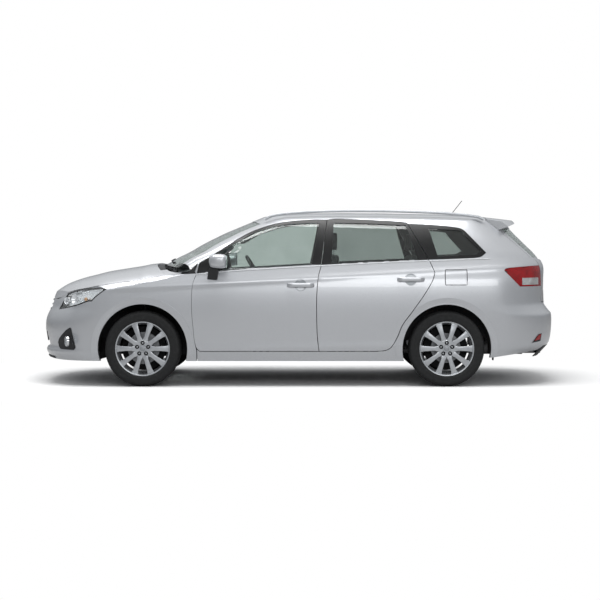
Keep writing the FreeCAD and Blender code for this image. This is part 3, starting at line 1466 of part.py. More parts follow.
# Exhaust: a pipe in the tunnel, a silencer before the rear axle's end and a tail pipe.
along = Rotation(Vector(0, 1, 0), 90)
pipe_start = firewall_x + car.overrun
exhaust = [
    solid("Cylinder", "front_pipe", pipe_start, 0, sized.exhaust_height, along,
          Radius=sized.exhaust_diameter / 2, Height=sized.front_pipe_length),
    solid("Cylinder", "silencer", pipe_start + car.front_pipe_length - car.running_gap, 0, sized.silencer_height,
          along, Radius=sized.silencer_diameter / 2, Height=sized.silencer_length),
    solid("Cylinder", "tail_pipe", pipe_start + car.front_pipe_length + car.silencer_length - car.overrun, 0,
          sized.exhaust_height, along, Radius=sized.exhaust_diameter / 2, Height=sized.tail_pipe_length),
    solid("Box", "front_hanger", pipe_start + car.overrun, -sized.hanger_width / 2, sized.exhaust_height,
          Length=sized.hanger_width, Width=sized.hanger_width,
          Height=sized.floor_height + sized.tunnel_height - sized.floor_thickness - sized.seat_gap
          - sized.exhaust_height),
    solid("Box", "rear_hanger", pipe_start + car.front_pipe_length + car.silencer_length / 2,
          -sized.hanger_width / 2, sized.silencer_height, Length=sized.hanger_width, Width=sized.hanger_width,
          Height=load_low - car.seat_gap - car.silencer_height),
]
join("exhaust", exhaust)

# Seats: one outline, seen from the side, gives cushion and backrest.
def seat_outline(lift):
    """Side outline of a seat: its cushion, and a backrest that leans back."""
    cushion_top = sized.cushion_thickness + lift
    heel = sized.cushion_length - sized.backrest_thickness
    lean = sized.backrest_lean
    head = cushion_top + sized.backrest_height
    return [
        (0, lift), (0, cushion_top), (heel, cushion_top - sized.cushion_dip), (heel + lean, head),
        (sized.cushion_length + lean, head), (sized.cushion_length, lift),
    ]


def seat(name, x, y, z, width, lift):
    body, pad = padded(name, "XZ_Plane", seat_outline(lift), width, x, y, z)
    pad.SideType = "Symmetric"
    chamfered(body, name + "_bevel", pad, sized.seat_bevel)
    return body


def headrest(name, x, y, z):
    lift = sized.cushion_thickness + sized.backrest_height
    pad = solid("Box", name + "_pad", x, y - sized.headrest_width / 2, z + sized.headrest_stand,
                Length=sized.headrest_thickness, Width=sized.headrest_width, Height=sized.headrest_height)
    return join(name, [
        pad,
        solid("Cylinder", name + "_left_post", x + sized.headrest_thickness / 2, y - sized.headrest_width / 4,
              z - sized.overrun, Radius=sized.headrest_post / 2, Height=sized.headrest_stand + sized.overrun * 2),
        solid("Cylinder", name + "_right_post", x + sized.headrest_thickness / 2, y + sized.headrest_width / 4,
              z - sized.overrun, Radius=sized.headrest_post / 2, Height=sized.headrest_stand + sized.overrun * 2),
    ], kept=False)


seat_parts = []
for name, side in (("left", -1), ("right", 1)):
    seat_y = sized.seat_spacing / 2 * side
    seat_x = station(front_seat_share)
    floor_top_z = sized.floor_height + sized.floor_thickness + sized.seat_gap
    seat_parts.append(seat("front_seat_" + name, seat_x, seat_y, floor_top_z, sized.seat_width, sized.seat_base_height))
    seat_parts.append(headrest("front_headrest_" + name, seat_x + car.cushion_length - car.backrest_thickness
                               + car.backrest_lean, seat_y,
                               floor_top_z + sized.seat_base_height + sized.cushion_thickness + sized.backrest_height))
    seat_parts.append(solid("Box", "seat_base_" + name, seat_x + car.overrun, seat_y - sized.seat_base_width / 2,
                            floor_top_z, Length=sized.cushion_length - sized.overrun * 2,
                            Width=sized.seat_base_width, Height=sized.seat_base_height + sized.overrun))
join("front_seats", seat_parts)
bench_z = pan_low + car.seat_gap
bench_x = station(bench_share)
bench = [seat("rear_bench_cushions", bench_x, 0, bench_z, sized.bench_width, 0)]
for name, side in (("left", -1), ("right", 1)):
    bench.append(headrest("rear_headrest_" + name, bench_x + car.cushion_length - car.backrest_thickness
                          + car.backrest_lean, sized.seat_spacing / 2 * side,
                          sized.cushion_thickness + sized.backrest_height + bench_z))
join("rear_bench", bench)

# Dashboard: a block with a sloping face, its hood, and the steering column's tube.
dash_x = bulkhead_x + car.firewall_thickness + car.seat_gap
dash_low = height(dash_height_share)
dash_outline = [
    (0, 0), (0, sized.dashboard_height), (sized.dashboard_depth - sized.dashboard_lip, sized.dashboard_height),
    (sized.dashboard_depth, sized.dashboard_height - sized.dashboard_lip),
    (sized.dashboard_depth - sized.dashboard_lip, 0),
]
dash_body, dash_pad = padded("dashboard_block", "XZ_Plane", dash_outline, sized.dashboard_width, dash_x, 0, dash_low)
dash_pad.SideType = "Symmetric"
wheel_x = station(steering_place_shares[0])
wheel_z = height(steering_place_shares[1])
driver_y = sized.seat_spacing / -2
rake = math.radians(car.steering_rake)
column_turn = Rotation(Vector(0, 1, 0), -90 - car.steering_rake)
ahead = (math.cos(rake), math.sin(rake))


def on_column(distance):
    """Place on the steering column's axis, so far ahead of the wheel's centre."""
    return wheel_x - ahead[0] * distance, wheel_z - ahead[1] * distance


def column_solid(kind, name, distance, **lengths):
    x, z = on_column(distance)
    return solid(kind, name, x, driver_y, z, column_turn, **lengths)


column_end = car.steering_hub_depth + car.seat_gap
tube = column_solid("Cylinder", "column_tube", column_end, Radius=sized.column_diameter / 2, Height=sized.column_length)
join("dashboard", [dash_body, tube])

ring_middle = (sized.steering_wheel_diameter - sized.steering_rim_thickness) / 2
ring_half = sized.steering_rim_thickness / 2
ring_flat = sized.steering_rim_flat / 2
ring_body = doc.addObject("PartDesign::Body", "steering_rim")
turned(ring_body, "steering_rim_turning", profile(ring_body, "steering_rim_section", "XZ_Plane", [
    (ring_middle - ring_half, -ring_flat), (ring_middle - ring_flat, -ring_half), (ring_middle + ring_flat, -ring_half),
    (ring_middle + ring_half, -ring_flat), (ring_middle + ring_half, ring_flat), (ring_middle + ring_flat, ring_half),
    (ring_middle - ring_flat, ring_half), (ring_middle - ring_half, ring_flat)]))
placed(ring_body, wheel_x, driver_y, wheel_z, column_turn)
steering = [
    ring_body,
    column_solid("Cylinder", "steering_hub", 0, Radius=sized.steering_hub_diameter / 2, Height=sized.steering_hub_depth),
]
for name, turn in (("left", 90), ("right", -90), ("lower", 0)):
    spoke = solid("Box", "steering_spoke_" + name, 0, 0, 0, None,
                  Length=sized.steering_spoke_width,
                  Width=(sized.steering_wheel_diameter - sized.steering_rim_thickness) / 2,
                  Height=sized.steering_spoke_depth)
    spin = Rotation(Vector(0, 0, 1), turn + 90)
    low = (column_turn * spin).multVec(Vector(-car.steering_spoke_width / 2, 0, 0))
    spoke.Placement = Placement(Vector(wheel_x, driver_y.value, wheel_z) + low, column_turn * spin)
    steering.append(spoke)
join("steering_wheel", steering)

# Grille: bars across the opening, in front of a dark sheet.
grille_half = thin_lower.common(end_cutter(grille_front_shares, nose_x - over, front_axle_x, -car.seat_gap))
grille_half = solids_only(grille_half.cut(bonnet_hole))
bars = []
for level in grille_bar_shares:
    z = height(level)
    bars.append(box((nose_x - over, -half_width, z - car.grille_bar / 2), (front_axle_x, 0, z + car.grille_bar / 2)))
grille_sheet = grille_half.common(lower_half(car.grille_depth, 2))
grille_bars = grille_half.cut(lower_half(car.grille_depth + car.seat_gap, 2))
grille_bars = Part.makeCompound([grille_bars.common(bar) for bar in bars])
add_piece("grille", both_halves(grille_sheet.fuse(grille_bars.Solids)))
intake_half = thin_lower.common(end_cutter(intake_front_shares, nose_x - over, front_axle_x, -car.seat_gap))
intake_sheet = intake_half.common(lower_half(car.grille_depth, 2))
add_piece("lower_intake", both_halves(solids_only(intake_sheet)))

# Roof rails: a bar along each side of the roof, on feet.
rail_steps = 8
rail_start, rail_end = (station(share) for share in roof_rail_shares)
rail_y = breadth(rail_breadth_share)
top_line = []
for step in range(rail_steps + 1):
    x = rail_start + (rail_end - rail_start) * step / rail_steps
    arc = math.sin(math.pi * step / rail_steps) ** rail_arc_power
    top_line.append(Vector(x, -rail_y, roof_z(x, rail_y) + car.rail_height * arc + car.rail_foot))
low_line = [Vector(p.x, p.y, roof_z(p.x, rail_y) - car.rail_foot) for p in (top_line[-1], top_line[0])]
rail_edge = [curve_edge(top_line), curve_edge([top_line[-1], low_line[0]]), curve_edge(low_line),
             curve_edge([low_line[1], top_line[0]])]
rail = Part.Face(Part.Wire(rail_edge)).extrude(Vector(0, -car.rail_width, 0))
rail = rail.cut(upper_half(-car.seat_gap).cut(roof_space(0)))
add_pair("roof_rails", solids_only(rail))

# Wipers lie along the foot of the windscreen, just above the glass. The aerial stands on the roof.
wiper_band = upper_half(car.glass_setback - car.seat_gap - car.wiper_height, 3).cut(
    upper_half(car.glass_setback - car.seat_gap, 3))
wiper_band = wiper_band.fuse(mirror_y(wiper_band))
wiper_parts = []
for foot, tip in wiper_shares:
    corners = [(breadth(a), height(b)) for a, b in (foot, tip)]
    corners += [(a, b + car.wiper_width) for a, b in reversed(corners)]
    outline = Part.makePolygon([end_place(a, b, nose_x) for a, b in corners + corners[:1]])
    blade = Part.Face(outline).extrude(Vector(front_axle_x - nose_x + car.front_arch_radius, 0, 0))
    wiper_parts.append(biggest(wiper_band.common(blade)))
add_piece("wipers", Part.makeCompound(wiper_parts))
aerial_x = station(aerial_share)
aerial_z = roof_z(aerial_x - car.aerial_foot_diameter / 2, 0) + car.seat_gap
aerial = [
    solid("Cone", "aerial_foot", aerial_x, 0, aerial_z, None,
          Radius1=sized.aerial_foot_diameter / 2, Radius2=sized.aerial_diameter, Height=sized.aerial_foot_height),
    solid("Cylinder", "aerial_rod", aerial_x, 0, aerial_z + car.aerial_foot_height / 2,
          Rotation(Vector(0, 1, 0), car.aerial_lean), Radius=sized.aerial_diameter / 2, Height=sized.aerial_length),
]
join("aerial", aerial)

# Mud flaps hang from the inside of the walls, behind each wheel.
flaps = []
for place in mud_flap_shares:
    low = (station(place), -half_width, height(mud_flap_low_share))
    sheet_piece = box(low, (low[0] + car.mud_flap_thickness, car.mud_flap_width - car.track / 2 - car.tyre_width / 2,
                            low[2] + car.mud_flap_height))
    hung = sheet_piece.common(lower_half(car.panel_thickness + car.seat_gap, 2)).cut(floor_half)
    flaps.append(solids_only(hung))
add_pair("mud_flaps", Part.makeCompound(flaps))

doc.recompute()
faults = [item.Name for item in doc.Objects if "Invalid" in item.State or "Error" in item.State]
faults += [item.Label for item in pieces if item.Shape.isNull() or not item.Shape.isValid()]
if faults:
    raise SystemExit("these did not build: " + ", ".join(faults))

os.makedirs("parts", exist_ok=True)
for item in pieces:
    item.Shape.exportStep(os.path.join("parts", item.Label + ".step"))
    print(item.Label, len(item.Shape.Solids), round(item.Shape.Volume / 1e6, 2))
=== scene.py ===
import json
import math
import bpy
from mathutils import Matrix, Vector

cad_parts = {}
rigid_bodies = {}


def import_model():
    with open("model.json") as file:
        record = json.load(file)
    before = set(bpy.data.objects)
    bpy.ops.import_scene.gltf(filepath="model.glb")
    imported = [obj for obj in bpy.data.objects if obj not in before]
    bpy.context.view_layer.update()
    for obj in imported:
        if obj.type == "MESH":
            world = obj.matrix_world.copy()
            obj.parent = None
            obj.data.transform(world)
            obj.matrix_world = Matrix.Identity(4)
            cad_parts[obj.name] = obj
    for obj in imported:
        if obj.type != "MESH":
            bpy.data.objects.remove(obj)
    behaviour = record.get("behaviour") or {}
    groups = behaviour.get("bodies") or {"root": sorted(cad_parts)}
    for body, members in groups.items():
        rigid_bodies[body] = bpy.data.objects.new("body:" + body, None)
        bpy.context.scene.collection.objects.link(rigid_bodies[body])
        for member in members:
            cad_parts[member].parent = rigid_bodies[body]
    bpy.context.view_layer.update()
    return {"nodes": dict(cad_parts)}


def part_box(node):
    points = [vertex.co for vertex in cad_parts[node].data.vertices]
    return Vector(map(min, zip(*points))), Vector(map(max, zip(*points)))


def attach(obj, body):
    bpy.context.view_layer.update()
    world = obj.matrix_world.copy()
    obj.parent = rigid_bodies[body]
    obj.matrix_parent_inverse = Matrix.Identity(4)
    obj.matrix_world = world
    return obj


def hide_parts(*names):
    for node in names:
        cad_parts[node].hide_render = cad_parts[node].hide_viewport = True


bl_info = {
    "name": "Station wagon",
    "version": (1, 0, 0),
    "blender": (4, 5, 0),
    "location": "View3D > Sidebar > Wagon",
    "description": "Body panels, glass, lamps, wheels and cabin of a five-door station wagon",
    "category": "Object",
}

import bmesh
import bpy
from mathutils import Matrix, Vector
from mathutils.bvhtree import BVHTree

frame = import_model()

# The same driving sizes as the solids, in metres.
WHEELBASE = 2.600
FRONT_OVERHANG = 0.945
REAR_OVERHANG = 1.005
HALF_WIDTH = 0.875
HEIGHT = 1.512
NOSE_X = -(FRONT_OVERHANG + WHEELBASE + REAR_OVERHANG) / 2
TAIL_X = -NOSE_X
FRONT_AXLE = NOSE_X + FRONT_OVERHANG
REAR_AXLE = FRONT_AXLE + WHEELBASE
HUB_Z = 0.3235
TRACK = 1.496
DOOR_WALL = 0.110
PANEL_WALL = 0.060
PILLAR_WALL = 0.045
BONNET_WALL = 0.045
ROOF_WALL = 0.035
SHUT_GAP = 0.006
CORNER_TURNS = (0.600, 0.560)
GLASS_TURNS = (0.400, 0.500)
BONNET_DROP = 0.236
ROOF_CROWN = 0.030
ROOF_HALF = 0.600
ARCHES = ((FRONT_AXLE, 0.383), (REAR_AXLE, 0.380))

# Outlines and curves as shares of the sizes above, the same as those of the solids.
LOWER_SIDE_SHARES = [
    (0.1435, 0.945), (0.198, 0.970), (0.265, 0.984), (0.364, 0.996), (0.430, 1.0), (0.516, 0.997),
    (0.582, 0.988), (0.615, 0.978), (0.651, 0.958), (0.688, 0.935), (0.744, 0.898),
]
LOWER_PLAN_SHARES = [(-0.5, 0.985), (0.0, 0.990), (0.3, 0.998), (0.6, 1.0), (0.9, 0.998), (1.3, 0.985), (1.7, 0.965)]
NOSE_SHARES = [
    (0.1435, 0.045), (0.187, 0.005), (0.218, 0.022), (0.265, 0.012), (0.324, 0.0), (0.370, 0.007),
    (0.410, 0.032), (0.443, 0.060), (0.489, 0.080), (0.529, 0.106), (0.600, 0.150), (0.744, 0.240),
]
TAIL_SHARES = [
    (0.1435, 0.124), (0.187, 0.093), (0.210, 0.045), (0.234, 0.018), (0.300, 0.0), (0.400, 0.0),
    (0.420, 0.025), (0.444, 0.052), (0.468, 0.070), (0.600, 0.070), (0.680, 0.070), (0.744, 0.120),
]
UPPER_SIDE_SHARES = [
    (0.615, 0.925), (0.661, 0.915), (0.701, 0.900), (0.761, 0.868), (0.827, 0.822), (0.886, 0.770),
    (0.926, 0.727), (0.952, 0.690), (0.979, 0.640), (1.005, 0.580),
]
UPPER_PLAN_SHARES = [(0.0, 0.970), (0.3, 0.995), (0.6, 1.0), (0.9, 0.990), (1.2, 0.970), (1.5, 0.945), (1.9, 0.910)]
WINDSCREEN_SHARES = [
    (0.615, -0.060), (0.661, 0.021), (0.698, 0.063), (0.724, 0.088), (0.760, 0.131), (0.802, 0.173),
    (0.839, 0.215), (0.874, 0.257), (0.905, 0.300), (0.935, 0.342), (0.959, 0.377), (1.005, 0.440),
]
BACKLIGHT_SHARES = [
    (0.615, 1.945), (0.661, 1.938), (0.705, 1.917), (0.754, 1.863), (0.790, 1.808), (0.826, 1.753),
    (0.862, 1.698), (0.899, 1.645), (0.939, 1.589), (0.979, 1.527), (1.005, 1.488),
]
BONNET_HEIGHT_SHARES = [
    (-0.980, 0.480), (-0.919, 0.512), (-0.860, 0.542), (-0.802, 0.566), (-0.744, 0.584), (-0.628, 0.6085),
    (-0.511, 0.627), (-0.396, 0.645), (-0.221, 0.663), (-0.047, 0.681), (0.063, 0.698), (0.185, 0.716),
]
BONNET_WIDTH_SHARES = [
    (-0.980, 0.780), (-0.900, 0.800), (-0.725, 0.887), (-0.583, 0.950), (-0.390, 1.000), (-0.150, 1.008),
    (0.000, 1.008), (0.045, 1.012), (0.165, 1.063), (0.300, 1.120),
]
ROOF_HEIGHT_SHARES = [
    (0.280, 0.900), (0.325, 0.929), (0.358, 0.9525), (0.400, 0.972), (0.450, 0.984), (0.550, 0.991),
    (0.665, 0.9925), (0.800, 0.991), (0.935, 0.987), (1.316, 0.974), (1.426, 0.966), (1.535, 0.958), (1.700, 0.944),
]
BELT_SHARES = [
    (-0.60, 0.620), (-0.10, 0.624), (0.154, 0.637), (0.289, 0.658), (0.555, 0.685), (0.811, 0.707),
    (0.937, 0.716), (1.272, 0.727), (1.700, 0.729), (2.100, 0.729),
]
FRONT_DOOR_SHARES = [
    [(0.580, 0.200), (0.574, 0.296), (0.572, 0.420), (0.5725, 0.522), (0.578, 0.623), (0.587, 0.680)],
    [(0.587, 0.680), (0.608, 0.946)],
    [(0.608, 0.946), (0.553, 0.945), (0.457, 0.931), (0.381, 0.898), (0.324, 0.852), (0.257, 0.776), (0.186, 0.700)],
    [(0.186, 0.700), (0.177, 0.637), (0.1665, 0.586), (0.162, 0.521), (0.162, 0.431), (0.166, 0.340),
     (0.170, 0.265), (0.177, 0.220), (0.188, 0.200)],
    [(0.188, 0.200), (0.580, 0.200)],
]
REAR_DOOR_SHARES = [
    [(0.767, 0.200), (0.799, 0.206), (0.819, 0.228), (0.837, 0.282), (0.854, 0.351), (0.886, 0.426),
     (0.925, 0.521), (0.952, 0.600), (0.9595, 0.645)],
    [(0.9595, 0.645), (0.953, 0.673), (0.942, 0.716), (0.922, 0.781), (0.898, 0.854), (0.874, 0.928)],
    [(0.874, 0.928), (0.837, 0.935), (0.730, 0.945), (0.645, 0.950), (0.608, 0.946)],
    [(0.608, 0.946), (0.587, 0.680)],
    [(0.587, 0.680), (0.578, 0.623), (0.5725, 0.522), (0.572, 0.420), (0.574, 0.296), (0.580, 0.200)],
    [(0.580, 0.200), (0.767, 0.200)],
]
FRONT_GLASS_SHARES = [
    [(0.555, 0.687), (0.582, 0.925)],
    [(0.582, 0.925), (0.553, 0.926), (0.458, 0.915), (0.381, 0.882), (0.324, 0.832), (0.252, 0.757)],
    [(0.252, 0.757), (0.262, 0.660)],
    [(0.262, 0.660), (0.400, 0.672), (0.555, 0.687)],
]
REAR_GLASS_SHARES = [
    [(0.907, 0.717), (0.870, 0.914)],
    [(0.870, 0.914), (0.838, 0.915), (0.730, 0.924), (0.630, 0.927)],
    [(0.630, 0.927), (0.620, 0.694)],
    [(0.620, 0.694), (0.760, 0.706), (0.907, 0.717)],
]
QUARTER_GLASS_SHARES = [
    [(0.972, 0.737), (1.246, 0.745)],
    [(1.246, 0.745), (1.300, 0.765)],
    [(1.300, 0.765), (1.160, 0.862)],
    [(1.160, 0.862), (1.115, 0.884), (0.945, 0.895)],
    [(0.945, 0.895), (0.972, 0.737)],
]
FENDER_SHARES = [
    [(0.177, 0.1200), (0.177, 0.205)],
    [(0.177, 0.205), (0.170, 0.265), (0.166, 0.340), (0.162, 0.431), (0.162, 0.521), (0.1665, 0.586), (0.177, 0.637)],
    [(0.177, 0.637), (0.160, 0.669), (0.139, 0.692)],
    [(0.139, 0.692), (0.040, 0.720)],
    [(0.040, 0.720), (-0.500, 0.720)],
    [(-0.500, 0.720), (-0.405, 0.5680)],
    [(-0.405, 0.5680), (-0.319, 0.552)],
    [(-0.319, 0.552), (-0.408, 0.511), (-0.457, 0.481)],
    [(-0.457, 0.481), (-0.320, 0.436)],
    [(-0.320, 0.436), (-0.150, 0.380)],
    [(-0.150, 0.380), (-0.150, 0.120)],
    [(-0.150, 0.120), (0.177, 0.1200)],
]
HEADLAMP_SHARES = [
    [(-0.319, 0.552), (-0.390, 0.5595), (-0.480, 0.5570), (-0.583, 0.5460), (-0.699, 0.523)],
    [(-0.699, 0.523), (-0.791, 0.431)],
    [(-0.791, 0.431), (-0.673, 0.445), (-0.583, 0.460), (-0.493, 0.480), (-0.457, 0.481)],
    [(-0.457, 0.481), (-0.408, 0.511), (-0.319, 0.552)],
]
FRONT_BUMPER_SHARES = [
    [(-0.150, 0.380), (-0.320, 0.436)],
    [(-0.320, 0.436), (-0.457, 0.481)],
    [(-0.457, 0.481), (-0.493, 0.480), (-0.583, 0.460), (-0.673, 0.445), (-0.791, 0.431)],
    [(-0.791, 0.431), (-0.699, 0.523)],
    [(-0.699, 0.523), (-0.720, 0.620)],
    [(-0.720, 0.620), (-1.100, 0.620)],
    [(-1.100, 0.620), (-1.100, 0.100)],
    [(-1.100, 0.100), (-0.150, 0.100)],
    [(-0.150, 0.100), (-0.150, 0.380)],
]
REAR_BUMPER_SHARES = [
    [(1.150, 0.380), (1.278, 0.452), (1.418, 0.469), (1.600, 0.489), (1.652, 0.507), (1.670, 0.532), (1.627, 0.565)],
    [(1.627, 0.565), (2.100, 0.565)],
    [(2.100, 0.565), (2.100, 0.198)],
    [(2.100, 0.198), (1.858, 0.198), (1.671, 0.188), (1.385, 0.163)],
    [(1.385, 0.163), (1.150, 0.150)],
    [(1.150, 0.150), (1.150, 0.380)],
]
TAIL_LAMP_SHARES = [
    [(1.489, 0.655), (1.519, 0.670), (1.684, 0.679), (1.760, 0.682), (2.100, 0.690)],
    [(2.100, 0.690), (2.100, 0.565)],
    [(2.100, 0.565), (1.627, 0.565)],
    [(1.627, 0.565), (1.489, 0.655)],
]
FUEL_FLAP_SHARES = [
    [(0.998, 0.575), (1.163, 0.575)],
    [(1.163, 0.575), (1.169, 0.582), (1.169, 0.652), (1.163, 0.660)],
    [(1.163, 0.660), (0.998, 0.660)],
    [(0.998, 0.660), (0.994, 0.652), (0.994, 0.582), (0.998, 0.575)],
]
BONNET_PLAN_SHARES = [
    [(0.030, -0.1), (0.031, 0.300), (0.038, 0.550), (0.052, 0.750), (0.070, 0.912)],
    [(0.070, 0.912), (0.015, 0.936), (-0.152, 0.924), (-0.390, 0.914), (-0.583, 0.848), (-0.725, 0.770),
     (-0.800, 0.690), (-0.860, 0.560), (-0.905, 0.350), (-0.920, 0.0), (-0.918, -0.1)],
    [(-0.918, -0.1), (0.070, -0.1)],
]
ROOF_PLAN_SHARES = [
    [(0.372, -0.1), (0.3800, 0.300), (0.400, 0.560), (0.420, 0.625)],
    [(0.420, 0.625), (0.600, 0.636), (0.900, 0.632), (1.373, 0.610)],
    [(1.373, 0.610), (1.373, -0.1)],
    [(1.373, -0.1), (0.372, -0.1)],
]
WINDSCREEN_FRONT_SHARES = [
    [(-0.1, 0.686), (0.400, 0.684), (0.790, 0.672)],
    [(0.790, 0.672), (0.725, 0.790), (0.620, 0.922)],
    [(0.620, 0.922), (0.400, 0.936), (-0.1, 0.942)],
    [(-0.1, 0.942), (-0.1, 0.686)],
]
TAILGATE_REAR_SHARES = [
    [(-0.1, 0.470), (0.590, 0.470)],
    [(0.590, 0.470), (0.610, 0.565), (0.640, 0.690), (0.650, 0.800), (0.640, 0.900), (0.625, 1.050)],
    [(0.625, 1.050), (-0.1, 1.050)],
    [(-0.1, 1.050), (-0.1, 0.470)],
]
BACKLIGHT_REAR_SHARES = [
    [(-0.1, 0.712), (0.400, 0.716), (0.560, 0.726)],
    [(0.560, 0.726), (0.565, 0.800), (0.530, 0.890)],
    [(0.530, 0.890), (0.400, 0.898), (-0.1, 0.900)],
    [(-0.1, 0.900), (-0.1, 0.712)],
]
GRILLE_FRONT_SHARES = [
    [(-0.1, 0.420), (0.450, 0.420)],
    [(0.450, 0.420), (0.470, 0.500)],
    [(0.470, 0.500), (-0.1, 0.510)],
    [(-0.1, 0.510), (-0.1, 0.420)],
]
INTAKE_FRONT_SHARES = [
    [(-0.1, 0.205), (0.560, 0.205)],
    [(0.560, 0.205), (0.500, 0.300)],
    [(0.500, 0.300), (-0.1, 0.300)],
    [(-0.1, 0.300), (-0.1, 0.205)],
]
SIDE_LIMITS_SHARES = [
    [(0.180, 0.120), (1.150, 0.120)],
    [(1.150, 0.120), (1.150, 0.380)],
    [(1.150, 0.380), (1.278, 0.452), (1.418, 0.469), (1.600, 0.489), (1.652, 0.507), (1.670, 0.532), (1.627, 0.565)],
    [(1.627, 0.565), (1.489, 0.655)],
    [(1.489, 0.655), (1.519, 0.670), (1.684, 0.679), (1.760, 0.682), (2.100, 0.690)],
    [(2.100, 0.690), (2.100, 1.100)],
    [(2.100, 1.100), (0.000, 1.100)],
    [(0.000, 1.100), (0.040, 0.720)],
    [(0.040, 0.720), (0.139, 0.692)],
    [(0.139, 0.692), (0.160, 0.669), (0.177, 0.637)],
    [(0.177, 0.637), (0.180, 0.120)],
]
SPOILER_SHARES = [
    [(1.373, 1.020), (1.800, 1.020)],
    [(1.800, 1.020), (1.800, 0.960)],
    [(1.800, 0.960), (1.454, 0.883)],
    [(1.454, 0.883), (1.373, 0.860)],
    [(1.373, 0.860), (1.373, 1.020)],
]


def station(share):
    """Place along the car: below 0 the front overhang, 0 to 1 the wheelbase, above 1 the rear."""
    if share < 0:
        return FRONT_AXLE + share * FRONT_OVERHANG
    if share > 1:
        return REAR_AXLE + (share - 1) * REAR_OVERHANG
    return FRONT_AXLE + share * WHEELBASE


def station_share(x):
    if x < FRONT_AXLE:
        return (x - FRONT_AXLE) / FRONT_OVERHANG
    if x > REAR_AXLE:
        return 1 + (x - REAR_AXLE) / REAR_OVERHANG
    return (x - FRONT_AXLE) / WHEELBASE


def height(share):
    return share * HEIGHT


def breadth(share):
    return share * HALF_WIDTH


def follow(shares, at):
    """A smooth curve through pairs of shares, straight beyond its ends."""
    last = len(shares) - 1
    if at <= shares[0][0]:
        low, high = shares[0], shares[1]
        return low[1] + (high[1] - low[1]) * (at - low[0]) / (high[0] - low[0])
    if at >= shares[last][0]:
        low, high = shares[last - 1], shares[last]
        return high[1] + (high[1] - low[1]) * (at - high[0]) / (high[0] - low[0])
    first = max(i for i in range(last) if shares[i][0] <= at)

    def slope(i):
        before, after = max(i - 1, 0), min(i + 1, last)
        return (shares[after][1] - shares[before][1]) / (shares[after][0] - shares[before][0])

    low, high = shares[first], shares[first + 1]
    span = high[0] - low[0]
    part = (at - low[0]) / span
    rise = part * part * (3 - 2 * part)
    start_pull = part * (1 - part) * (1 - part) * span * slope(first)
    end_pull = part * part * (part - 1) * span * slope(first + 1)
    return low[1] + rise * (high[1] - low[1]) + start_pull + end_pull


def lower_half_width(x, z):
    return HALF_WIDTH * follow(LOWER_SIDE_SHARES, z / HEIGHT) * follow(LOWER_PLAN_SHARES, station_share(x))


def upper_half_width(x, z):
    return HALF_WIDTH * follow(UPPER_SIDE_SHARES, z / HEIGHT) * follow(UPPER_PLAN_SHARES, station_share(x))


def belt_z(x):
    return height(follow(BELT_SHARES, station_share(x)))


def side_skin(x, z):
    return lower_half_width(x, z) if z < belt_z(x) else upper_half_width(x, z)


def lower_nose(z):
    return NOSE_X + FRONT_OVERHANG * follow(NOSE_SHARES, z / HEIGHT)


def lower_tail(z):
    return TAIL_X - REAR_OVERHANG * follow(TAIL_SHARES, z / HEIGHT)


def upper_nose(z):
    return station(follow(WINDSCREEN_SHARES, z / HEIGHT))


def upper_tail(z):
    return station(follow(BACKLIGHT_SHARES, z / HEIGHT))


def bonnet_z(x, y):
    across = min(abs(y) / (HALF_WIDTH * follow(BONNET_WIDTH_SHARES, station_share(x))), 0.995)
    fall = 1 - (1 - across ** 2.5) ** (1 / 2.5)
    return height(follow(BONNET_HEIGHT_SHARES, station_share(x))) - BONNET_DROP * fall


def roof_z(x, y):
    across = abs(y) / ROOF_HALF
    return height(follow(ROOF_HEIGHT_SHARES, station_share(x))) - ROOF_CROWN * (across ** 2 + across ** 8)


# Mesh tools. A solid is a closed mesh object; solids are cut from one another as a fitter would.
bench = bpy.data.collections.new("bench")
pieces = bpy.data.collections.new("pieces")


def keep_object(name, bm):
    """Turn a bmesh into an object on the bench, where only tools and unfinished pieces lie."""
    mesh = bpy.data.meshes.new(name)
    bm.to_mesh(mesh)
    bm.free()
    obj = bpy.data.objects.new(name, mesh)
    bench.objects.link(obj)
    return obj


def clear_bench():
    for obj in list(bench.objects):
        bpy.data.objects.remove(obj)


def loft(name, loops):
    """Closed solid through loops of equally many points."""
    bm = bmesh.new()
    rings = []
    for loop in loops:
        ring = bmesh.ops.create_circle(bm, segments=len(loop), radius=1)["verts"]
        for vert, place in zip(ring, loop):
            vert.co = place
        rings.append(ring)
    bm.edges.ensure_lookup_table()
    ring_edges = [[bm.edges.get((ring[i - 1], ring[i])) for i in range(len(ring))] for ring in rings]
    for low, high in zip(ring_edges, ring_edges[1:]):
        bmesh.ops.bridge_loops(bm, edges=low + high)
    for edges in (ring_edges[0], ring_edges[-1]):
        bmesh.ops.contextual_create(bm, geom=edges)
    bmesh.ops.recalc_face_normals(bm, faces=bm.faces[:])
    return keep_object(name, bm)


